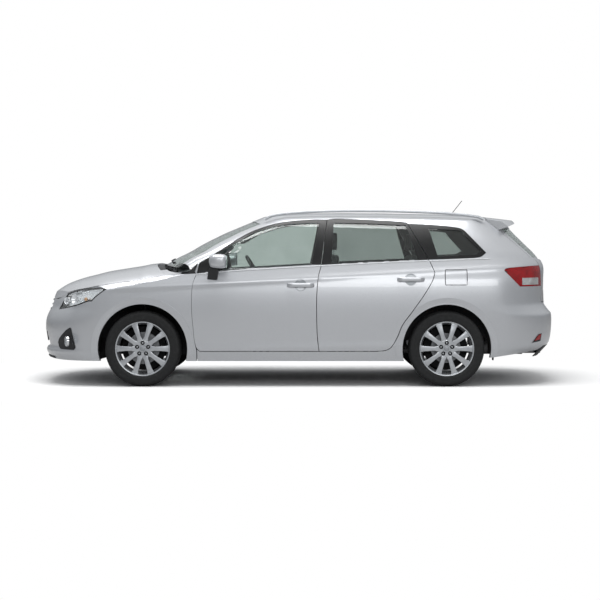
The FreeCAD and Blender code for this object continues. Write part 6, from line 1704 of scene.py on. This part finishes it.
def make_bumper_trim():
    """Fog lamp bezels and lamps, rear reflectors, the lower lip, the diffuser and the blank plates."""
    bezel = skin_patch("bezel", skin_outline(FOG_BEZEL_POINTS), -0.003, 0.012, -0.001)
    add(bezel, "fog_bezels", "car_body", (), [look("black")])
    for side in (-1, 1):
        name = "left" if side < 0 else "right"
        place = skin_place(-1.968, 0.388, -0.012)
        place.y *= -side
        facing = (-0.93, side * 0.37, 0.0)
        ring = placed_on(turned("ring", [(0.036, 0.0), (0.036, 0.016), (0.040, 0.020), (0.045, 0.016), (0.046, 0.0)], 48),
                         place, facing)
        add(ring, "fog_ring_" + name, "car_body", (), [look("chrome")])
        glass = placed_on(turned("glass", [(0.0001, 0.018), (0.020, 0.016), (0.0355, 0.008), (0.0355, 0.004),
                                           (0.0001, 0.004)], 48), place, facing)
        add(glass, "fog_glass_" + name, "car_body", (), [look("fog_glass")])
    bezel = skin_patch("bezel", skin_outline(REAR_BEZEL_POINTS), -0.003, 0.012)
    add(bezel, "rear_bezels", "car_body", (), [look("black")])
    red = skin_patch("red", skin_outline([(2.035, 0.385), (2.078, 0.434), (2.104, 0.440), (2.092, 0.396)]),
                     -0.0055, 0.006)
    add(red, "rear_reflectors", "car_body", (), [look("reflex")])
    lip = curved_plate("lip", 0.560, 0.222, 0.236, 0.012, 0.060, True, 40)
    softened(lip, 0.004, 2, 40)
    add(lip, "front_lip", "car_body", (), [look("black")])
    diffuser = curved_plate("diffuser", 0.560, 0.238, 0.330, 0.0025, 0.012, False, 40)
    add(diffuser, "rear_diffuser", "car_body", (), [look("black")])
    for name, low, front in (("front_plate", 0.365, True), ("rear_plate", 0.700, False)):
        body = "car_body" if front else "tailgate"
        plate = curved_plate("plate", 0.260, low, low + 0.110, 0.0035, 0.002, front, 16)
        back = curved_plate("back", 0.266, low - 0.006, low + 0.116, 0.0015, 0.003, front, 16)
        add(plate, name + "_blank", body, (), [look("plate")])
        add(back, name + "_holder", body, (), [look("black")])


def make_grille():
    """Bright-edged bars in front of a dark mesh, the lower intake's mesh, and a near-black sheet behind both as painted
    shade.
    """
    parts = []
    for share in (0.430, 0.456, 0.482):
        z = height(share)
        half_wide = 0.50 - 0.16 * abs(share - 0.456) / 0.03
        loops = []
        for step in range(41):
            y = -half_wide + 2 * half_wide * step / 40
            loops.append([end_place(y, z + b, 0.004 - a) for a, b in (
                (0.0, -0.004), (0.0, 0.004), (0.006, 0.008), (0.026, 0.006), (0.026, -0.006), (0.006, -0.008))])
        parts.append(loft("bar", loops))
    bars = joined("bars", parts)
    limit = end_prism(GRILLE_FRONT_SHARES, NOSE_X - 0.1, FRONT_AXLE, -0.002)
    combine(bars, limit, "INTERSECT", False)
    add(bars, "grille_bars", "car_body", ["grille"], [look("chrome")])
    shell = body_solid("lower", 0.040, 40)
    combine(shell, body_solid("lower", 0.056, 30), "DIFFERENCE", True)
    combine(shell, limit, "INTERSECT", True)
    holes = []
    for row in range(7):
        for column in range(-16, 17):
            y = (column + 0.5 * (row % 2)) * 0.032
            z = height(0.418) + row * 0.017
            holes.append(block("hole", (NOSE_X - 0.1, y - 0.0125, z - 0.0060), (NOSE_X + 0.5, y + 0.0125, z + 0.0060)))
    cut(shell, joined("holes", holes), walls["bonnet_hole"])
    add(shell, "grille_mesh", "car_body", (), [look("black")])
    # A near-black sheet behind the grille and the intake: painted shade.
    back = body_solid("lower", 0.057, 40)
    combine(back, body_solid("lower", 0.0596, 30), "DIFFERENCE", True)
    dark = share_of(back, end_prism(GRILLE_FRONT_SHARES, NOSE_X - 0.1, FRONT_AXLE, -0.002), "dark", True)
    cut(dark, walls["bonnet_hole"])
    combine(back, end_prism(INTAKE_FRONT_SHARES, NOSE_X - 0.1, FRONT_AXLE, -0.002), "INTERSECT", True)
    add(joined("backs", [dark, back]), "grille_shadow", "car_body", (), [look("shadow")])
    mesh = body_solid("lower", 0.036, 40)
    combine(mesh, body_solid("lower", 0.052, 30), "DIFFERENCE", True)
    combine(mesh, end_prism(INTAKE_FRONT_SHARES, NOSE_X - 0.1, FRONT_AXLE, -0.002), "INTERSECT", True)
    holes = []
    for row in range(5):
        for column in range(-19, 20):
            y = (column + 0.5 * (row % 2)) * 0.026
            z = height(0.215) + row * 0.027
            holes.append(block("hole", (NOSE_X - 0.1, y - 0.0105, z - 0.0105), (NOSE_X + 0.5, y + 0.0105, z + 0.0105)))
    combine(mesh, joined("holes", holes), "DIFFERENCE", True)
    add(mesh, "intake_mesh", "car_body", ["lower_intake"], [look("black")])


def make_wipers():
    """Front arms and blades along the foot of the screen, with their spindles."""
    parts = []
    for (foot, foot_share), (tip, tip_share) in ((( 0.62, 0.692), (0.03, 0.712)), ((-0.03, 0.700), (-0.62, 0.722))):
        line = []
        for step in range(13):
            share = step / 12
            y = -breadth(foot + (tip - foot) * share)
            z = height(foot_share + (tip_share - foot_share) * share) + 0.006
            line.append(screen_place(y, z, 0.004))
        for low, wide, tall in ((0.0, 0.006, 0.011), (0.007, 0.005, 0.005)):
            parts.append(swept_out("blade", [p + Vector((-low * 0.6, 0, low * 0.6)) for p in line], wide, tall))
        hub = line[0]
        parts.append(round_bar("spindle", hub + Vector((0, 0, -0.008)), hub + Vector((-0.004, 0, 0.010)), 0.013, 24))
    add(joined("wipers", parts), "front_wipers", "car_body", ["wipers"], [look("black")])


def screen_place(y, z, out):
    """A point on the windscreen's skin."""
    half = upper_half_width(station(0.3), z)
    run = max(0.0, 1 - (abs(y) / half) ** 2.3) ** (1 / 2.3)
    return Vector((upper_nose(z) + GLASS_TURNS[0] * (1 - run) + 0.008 - out, y, z + out * 0.5))


def swept_out(name, places, wide, tall, segments=8):
    """Closed bar of rounded section whose width faces forwards."""
    loops = []
    count = len(places)
    for i, here in enumerate(places):
        along = (places[min(i + 1, count - 1)] - places[max(i - 1, 0)]).normalized()
        up = along.cross(Vector((-1, 0, 0))).normalized()
        out = up.cross(along).normalized()
        loops.append([here + up * math.cos(math.tau * s / segments) * tall / 2
                      + out * math.sin(math.tau * s / segments) * wide / 2 for s in range(segments)])
    return loft(name, loops)


# The cabin: seats, dashboard and steering wheel.
SEAT_X = 0.0
SEAT_HALF = 0.245


def cushion(name, low, high, crown, lean=0.0, channels=0, axis="z"):
    """Closed padded form: a box whose faces bulge, with sewn channels across it."""
    low, high = Vector(low), Vector(high)
    bm = bmesh.new()
    bmesh.ops.create_cube(bm, size=2)
    bmesh.ops.subdivide_edges(bm, edges=bm.edges[:], cuts=23, use_grid_fill=True)
    middle, size = (low + high) / 2, (high - low) / 2
    for vert in bm.verts:
        x, y, z = vert.co
        reach = (abs(x) ** 5 + abs(y) ** 5 + abs(z) ** 5) ** 0.2
        x, y, z = x / reach, y / reach, z / reach
        swell = crown * (1 - x * x) * (1 - y * y) * (1 - z * z) ** 0
        if axis == "z":
            dip = 0.010 * (1 if z > 0 else 0) * math.exp(-(y / 0.45) ** 2) * (1 - abs(x) ** 4)
            wave = channels and 0.004 * max(0.0, math.cos(channels * math.pi * x) - 0.90) / 0.10 * (z > 0.3)
            place = Vector((x * size.x, y * size.y, z * size.z + (swell * 0.5 - dip - wave) * (1 if z > 0 else -0.2)))
        else:
            wave = channels and 0.004 * max(0.0, math.cos(channels * math.pi * z) - 0.90) / 0.10 * (x < -0.3)
            bolster = 0.012 * abs(y) ** 3 * (x < 0)
            place = Vector((x * size.x - (swell * 0.5 - wave + bolster - 0.010) * (1 if x < 0 else -0.4),
                            y * size.y * (1 - 0.10 * (z + 1) / 2), z * size.z))
        vert.co = middle + place
    if lean:
        turn = Matrix.Rotation(lean, 3, "Y")
        bmesh.ops.rotate(bm, cent=(middle.x, middle.y, low.z), matrix=turn, verts=bm.verts[:])
    bmesh.ops.recalc_face_normals(bm, faces=bm.faces[:])
    return keep_object(name, bm)


def make_seats():
    """Front seats and the rear bench, inside the room of their plain solids."""
    front_low, front_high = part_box("front_seats")
    rear_low, rear_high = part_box("rear_bench")
    for side in (-1, 1):
        name = "left" if side < 0 else "right"
        y = side * 0.350
        seat = cushion("seat", (front_low[0] + 0.012, y - 0.242, 0.415), (front_low[0] + 0.500, y + 0.242, 0.548), 0.012,
                       0.0, 3)
        back = cushion("back", (front_low[0] + 0.428, y - 0.238, 0.560), (front_low[0] + 0.530, y + 0.238, 1.135), 0.016,
                       math.radians(11), 4, "x")
        head = cushion("head", (front_low[0] + 0.545, y - 0.125, 1.165), (front_low[0] + 0.610, y + 0.125, 1.320), 0.010,
                       0.0, 0, "x")
        for obj, kind in ((seat, "cushion"), (back, "back"), (head, "headrest")):
            add(obj, "front_seat_" + kind + "_" + name, "car_body", ["front_seats"], [look("cloth")], sharp=180)
        base = block("base", (front_low[0] + 0.03, y - 0.19, front_low[2] + 0.002), (front_low[0] + 0.48, y + 0.19, 0.412),
                     0.012, 3)
        posts = [round_bar("post", (front_low[0] + 0.570, y + d, 1.120), (front_low[0] + 0.575, y + d, 1.180), 0.006, 20)
                 for d in (-0.07, 0.07)]
        add(base, "front_seat_base_" + name, "car_body", ["front_seats"], [look("plastic")])
        add(joined("posts", posts), "front_headrest_posts_" + name, "car_body", (), [look("chrome")])
    bench_seat = cushion("bench", (rear_low[0] + 0.012, -0.585, 0.440), (rear_low[0] + 0.500, 0.585, 0.560), 0.010, 0.0, 3)
    bench_back = cushion("bench_back", (rear_low[0] + 0.410, -0.585, 0.570), (rear_low[0] + 0.520, 0.585, 1.130), 0.012,
                         math.radians(12), 4, "x")
    for obj, kind in ((bench_seat, "cushion"), (bench_back, "back")):
        add(obj, "rear_bench_" + kind, "car_body", ["rear_bench"], [look("cloth")], sharp=180)
    for side in (-1, 1):
        y = side * 0.350
        head = cushion("head", (rear_low[0] + 0.530, y - 0.125, 1.160), (rear_low[0] + 0.595, y + 0.125, 1.312), 0.010,
                       0.0, 0, "x")
        name = "left" if side < 0 else "right"
        add(head, "rear_headrest_" + name, "car_body", ["rear_bench"], [look("cloth")], sharp=180)


def make_dashboard():
    """Dashboard moulding with four vents and their slats."""
    low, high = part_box("dashboard")
    profile = [(low[0] + 0.004, low[2] + 0.004), (low[0] + 0.004, high[2] - 0.004), (low[0] + 0.22, high[2] - 0.002),
               (low[0] + 0.34, high[2] - 0.016), (low[0] + 0.405, high[2] - 0.045), (low[0] + 0.415, high[2] - 0.085),
               (low[0] + 0.380, high[2] - 0.150), (low[0] + 0.350, low[2] + 0.004)]
    dash = prism("dash", profile, -0.672, 0.672)
    softened(dash, 0.010, 4)
    vents = []
    for y in (-0.60, -0.10, 0.10, 0.60):
        vents.append(block("vent", (low[0] + 0.36, y - 0.055, high[2] - 0.125), (low[0] + 0.50, y + 0.055, high[2] - 0.070)))
    cut(dash, joined("vents", vents))
    add(dash, "dashboard_moulding", "car_body", ["dashboard"], [look("plastic")])
    slats = []
    for y in (-0.60, -0.10, 0.10, 0.60):
        for row in range(4):
            z = high[2] - 0.118 + row * 0.013
            slats.append(block("slat", (low[0] + 0.366, y - 0.054, z), (low[0] + 0.392, y + 0.054, z + 0.003)))
    add(joined("slats", slats), "dashboard_vents", "car_body", (), [look("black")])


def make_steering_wheel():
    """Rim of round section, three spokes and a padded hub, raked."""
    rake = math.radians(31)
    low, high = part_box("steering_wheel")
    middle = (Vector(low) + Vector(high)) / 2
    ring = turned("ring", [(0.172 + 0.0145 * math.cos(math.tau * s / 20), 0.0145 * math.sin(math.tau * s / 20))
                           for s in range(20)], 80)
    hub = turned("hub", [(0.0001, 0.024), (0.040, 0.022), (0.062, 0.014), (0.070, 0.0), (0.064, -0.020), (0.0001, -0.024)], 48)
    spokes = []
    for turn in (90, -90, 0):
        spoke_piece = block("spoke", (-0.020, -0.012, 0.050), (0.020, 0.006, 0.164), 0.005, 3)
        bm = bmesh.new()
        bm.from_mesh(spoke_piece.data)
        bmesh.ops.rotate(bm, cent=(0, 0, 0), matrix=Matrix.Rotation(math.radians(turn + 180), 3, "Y"), verts=bm.verts[:])
        bm.to_mesh(spoke_piece.data)
        bm.free()
        spokes.append(spoke_piece)
    facing = (math.cos(rake), 0, math.sin(rake))
    wheel = joined("wheel", [ring, hub] + spokes)
    bm = bmesh.new()
    bm.from_mesh(wheel.data)
    across = Matrix(((0, math.cos(rake), -math.sin(rake)), (1, 0, 0), (0, math.sin(rake), math.cos(rake)))).to_4x4()
    bmesh.ops.transform(bm, matrix=Matrix.Translation(middle) @ across, verts=bm.verts[:])
    bmesh.ops.recalc_face_normals(bm, faces=bm.faces[:])
    bm.to_mesh(wheel.data)
    bm.free()
    add(wheel, "steering_wheel_leather", "steering_wheel", ["steering_wheel"], [look("leather")])


class WagonWheelSettings(bpy.types.PropertyGroup):
    """Counts that give the wheels their pattern."""

    spokes: bpy.props.IntProperty(name="Spokes", description="Spokes of each alloy rim", default=10, min=3, max=20)
    nuts: bpy.props.IntProperty(name="Nuts", description="Nuts that hold each wheel", default=5, min=3, max=8)
    tread_blocks: bpy.props.IntProperty(name="Tread blocks", description="Blocks round each shoulder of the tread",
                                        default=64, min=16, max=120)


class WagonHandleSettings(bpy.types.PropertyGroup):
    """Sizes of the doors' grip bars."""

    length: bpy.props.FloatProperty(name="Length", description="Length of a grip bar", default=0.222, min=0.1,
                                    unit="LENGTH")
    height: bpy.props.FloatProperty(name="Height", description="Height of a grip bar", default=0.034, min=0.01,
                                    unit="LENGTH")
    stand: bpy.props.FloatProperty(name="Stand", description="How far a grip bar stands off the door", default=0.031,
                                   min=0.01, unit="LENGTH")


class WagonStageSettings(bpy.types.PropertyGroup):
    """Camera and lights."""

    distance: bpy.props.FloatProperty(name="Distance", description="From the camera to the car's middle",
                                      default=12.35, unit="LENGTH")
    eye: bpy.props.FloatProperty(name="Eye height", description="Height of the camera", default=1.167, unit="LENGTH")
    across: bpy.props.FloatProperty(name="Across", description="Place of the camera along the car", default=0.0155,
                                    unit="LENGTH")
    tilt: bpy.props.FloatProperty(name="Tilt", description="How far the camera looks down", default=math.radians(2.12),
                                  subtype="ANGLE")
    focal: bpy.props.FloatProperty(name="Focal length", description="Focal length of the lens in millimetres",
                                   default=81.0, min=20.0)
    sky: bpy.props.FloatProperty(name="Sky light", description="Strength of the light from all round", default=0.66)
    key_light: bpy.props.FloatProperty(name="Key light", description="Power of the large light above", default=600.0,
                                       unit="POWER")
    side_light: bpy.props.FloatProperty(name="Side light", description="Power of the light beside the camera",
                                        default=130.0, unit="POWER")


def area_light(name, place, target, size, power):
    """Large soft light that looks at a point."""
    data = bpy.data.lights.new(name, "AREA")
    data.shape = "RECTANGLE"
    data.size, data.size_y = size
    data.energy = power
    lamp = bpy.data.objects.new(name, data)
    lamp.location = place
    lamp.rotation_euler = (Vector(target) - Vector(place)).to_track_quat("-Z", "Y").to_euler()
    bpy.context.scene.collection.objects.link(lamp)
    return lamp


def white_world(strength):
    """Soft grey light all round; the camera, and glass in front of it, see plain white."""
    world = bpy.data.worlds.new("studio")
    bpy.context.scene.world = world
    world.use_nodes = True
    tree = world.node_tree
    tree.nodes.clear()
    height_of = node(tree, "ShaderNodeSeparateXYZ", [("Vector", tree.nodes.new("ShaderNodeTexCoord").outputs["Generated"])])
    rise = span(tree, height_of.outputs["Z"], 0.0, 1.0, -0.2, 0.9)
    sky_colour = ramp(tree, rise, [(0.0, "#7A7D81"), (0.22, "#AEB1B5"), (0.5, "#E6E9EC"), (1.0, "#FFFFFF")])
    sky = node(tree, "ShaderNodeBackground", [("Color", sky_colour), ("Strength", strength)])
    plain = node(tree, "ShaderNodeBackground", [("Color", rgb("#FFFFFF")), ("Strength", 1.0)])
    mix = node(tree, "ShaderNodeMixShader", [("Fac", seen_through(tree)), (1, sky.outputs[0]),
                                             (2, plain.outputs[0])])
    out = tree.nodes.new("ShaderNodeOutputWorld")
    tree.links.new(mix.outputs[0], out.inputs["Surface"])


def make_stage():
    """Pale floor, white background, soft lights and the camera."""
    scene = bpy.context.scene
    values = scene.wagon_stage
    scene.view_settings.view_transform = "Standard"
    bm = bmesh.new()
    bmesh.ops.create_grid(bm, x_segments=1, y_segments=1, size=60)
    floor = keep_object("studio_floor", bm)
    floor.data.materials.append(look("floor"))
    bench.objects.unlink(floor)
    pieces.objects.link(floor)
    white_world(values.sky)
    area_light("key", (-0.5, -1.2, 7.3), (0, 0, 0.6), (7.0, 3.5), values.key_light)
    area_light("side", (1.5, -9.0, 3.2), (0, 0, 0.7), (6.0, 2.0), values.side_light)
    data = bpy.data.cameras.new("camera")
    data.lens = values.focal
    camera = bpy.data.objects.new("camera", data)
    camera.location = (values.across, -values.distance, values.eye)
    camera.rotation_euler = (math.pi / 2 - values.tilt, 0, 0)
    scene.collection.objects.link(camera)
    scene.camera = camera


class WAGON_OT_walls(bpy.types.Operator):
    """Make the hollow walls that the body's pieces are cut from"""

    bl_idname = "wagon.walls"
    bl_label = "Body walls"

    def execute(self, context):
        make_walls()
        return {"FINISHED"}


class WAGON_OT_doors(bpy.types.Operator):
    """Cut the four side doors and their panes"""

    bl_idname = "wagon.doors"
    bl_label = "Doors"

    def execute(self, context):
        make_doors()
        return {"FINISHED"}


class WAGON_OT_sides(bpy.types.Operator):
    """Cut the side walls, the quarter panes and the fuel flap"""

    bl_idname = "wagon.sides"
    bl_label = "Sides"

    def execute(self, context):
        make_sides()
        return {"FINISHED"}


class WAGON_OT_ends(bpy.types.Operator):
    """Cut the bonnet, fenders, bumpers, roof, tailgate and screens"""

    bl_idname = "wagon.ends"
    bl_label = "Front and rear"

    def execute(self, context):
        make_ends()
        return {"FINISHED"}


class WAGON_OT_trim(bpy.types.Operator):
    """Add window trim, mouldings, handles and mirrors"""

    bl_idname = "wagon.trim"
    bl_label = "Side trim"

    def execute(self, context):
        make_side_trim()
        make_handles()
        make_mirrors()
        make_roof_fittings()
        return {"FINISHED"}


class WAGON_OT_lamps(bpy.types.Operator):
    """Add the lamps' bowls, reflectors and bulbs"""

    bl_idname = "wagon.lamps"
    bl_label = "Lamps"

    def execute(self, context):
        make_lamps()
        return {"FINISHED"}


class WAGON_OT_bumpers(bpy.types.Operator):
    """Add the bumpers' bezels, plates and grilles, and the wipers"""

    bl_idname = "wagon.bumpers"
    bl_label = "Bumper trim and grille"

    def execute(self, context):
        make_bumper_trim()
        make_grille()
        make_wipers()
        return {"FINISHED"}


class WAGON_OT_wheels(bpy.types.Operator):
    """Make the four wheels and their brakes"""

    bl_idname = "wagon.wheels"
    bl_label = "Wheels"

    def execute(self, context):
        make_wheels()
        make_brakes()
        make_shields()
        return {"FINISHED"}


class WAGON_OT_cabin(bpy.types.Operator):
    """Make the seats, the dashboard and the steering wheel"""

    bl_idname = "wagon.cabin"
    bl_label = "Cabin"

    def execute(self, context):
        make_seats()
        make_dashboard()
        make_steering_wheel()
        return {"FINISHED"}


class WAGON_OT_underside(bpy.types.Operator):
    """Give the solids that stay in view their materials, and line the arches"""

    bl_idname = "wagon.underside"
    bl_label = "Underside and arches"

    def execute(self, context):
        make_liners()
        dress_nodes()
        return {"FINISHED"}


class WAGON_OT_stage(bpy.types.Operator):
    """Set up the floor, the lights and the camera"""

    bl_idname = "wagon.stage"
    bl_label = "Stage"

    def execute(self, context):
        make_stage()
        return {"FINISHED"}


steps = (WAGON_OT_stage, WAGON_OT_walls, WAGON_OT_doors, WAGON_OT_sides, WAGON_OT_ends, WAGON_OT_trim,
         WAGON_OT_lamps, WAGON_OT_bumpers, WAGON_OT_wheels, WAGON_OT_cabin, WAGON_OT_underside)


class WAGON_PT_panel(bpy.types.Panel):
    """Settings and steps of the station wagon"""

    bl_idname = "WAGON_PT_panel"
    bl_label = "Station wagon"
    bl_space_type = "VIEW_3D"
    bl_region_type = "UI"
    bl_category = "Wagon"

    def draw(self, context):
        layout = self.layout
        for group in (context.scene.wagon_wheels, context.scene.wagon_handles, context.scene.wagon_stage):
            box = layout.box()
            for name in group.__annotations__:
                box.prop(group, name)
        for step in steps:
            layout.operator(step.bl_idname)


settings_groups = {"wagon_wheels": WagonWheelSettings, "wagon_handles": WagonHandleSettings,
                   "wagon_stage": WagonStageSettings}


def register():
    for kind in (*settings_groups.values(), *steps, WAGON_PT_panel):
        bpy.utils.register_class(kind)
    for name, kind in settings_groups.items():
        setattr(bpy.types.Scene, name, bpy.props.PointerProperty(type=kind))


def unregister():
    for name in settings_groups:
        delattr(bpy.types.Scene, name)
    for kind in reversed((*settings_groups.values(), *steps, WAGON_PT_panel)):
        bpy.utils.unregister_class(kind)


def main():
    register()
    for group in (bench, pieces):
        bpy.context.scene.collection.children.link(group)
    for step in steps:
        area, name = step.bl_idname.split(".")
        getattr(getattr(bpy.ops, area), name)()
    clear_bench()


if __name__ == "__main__":
    main()
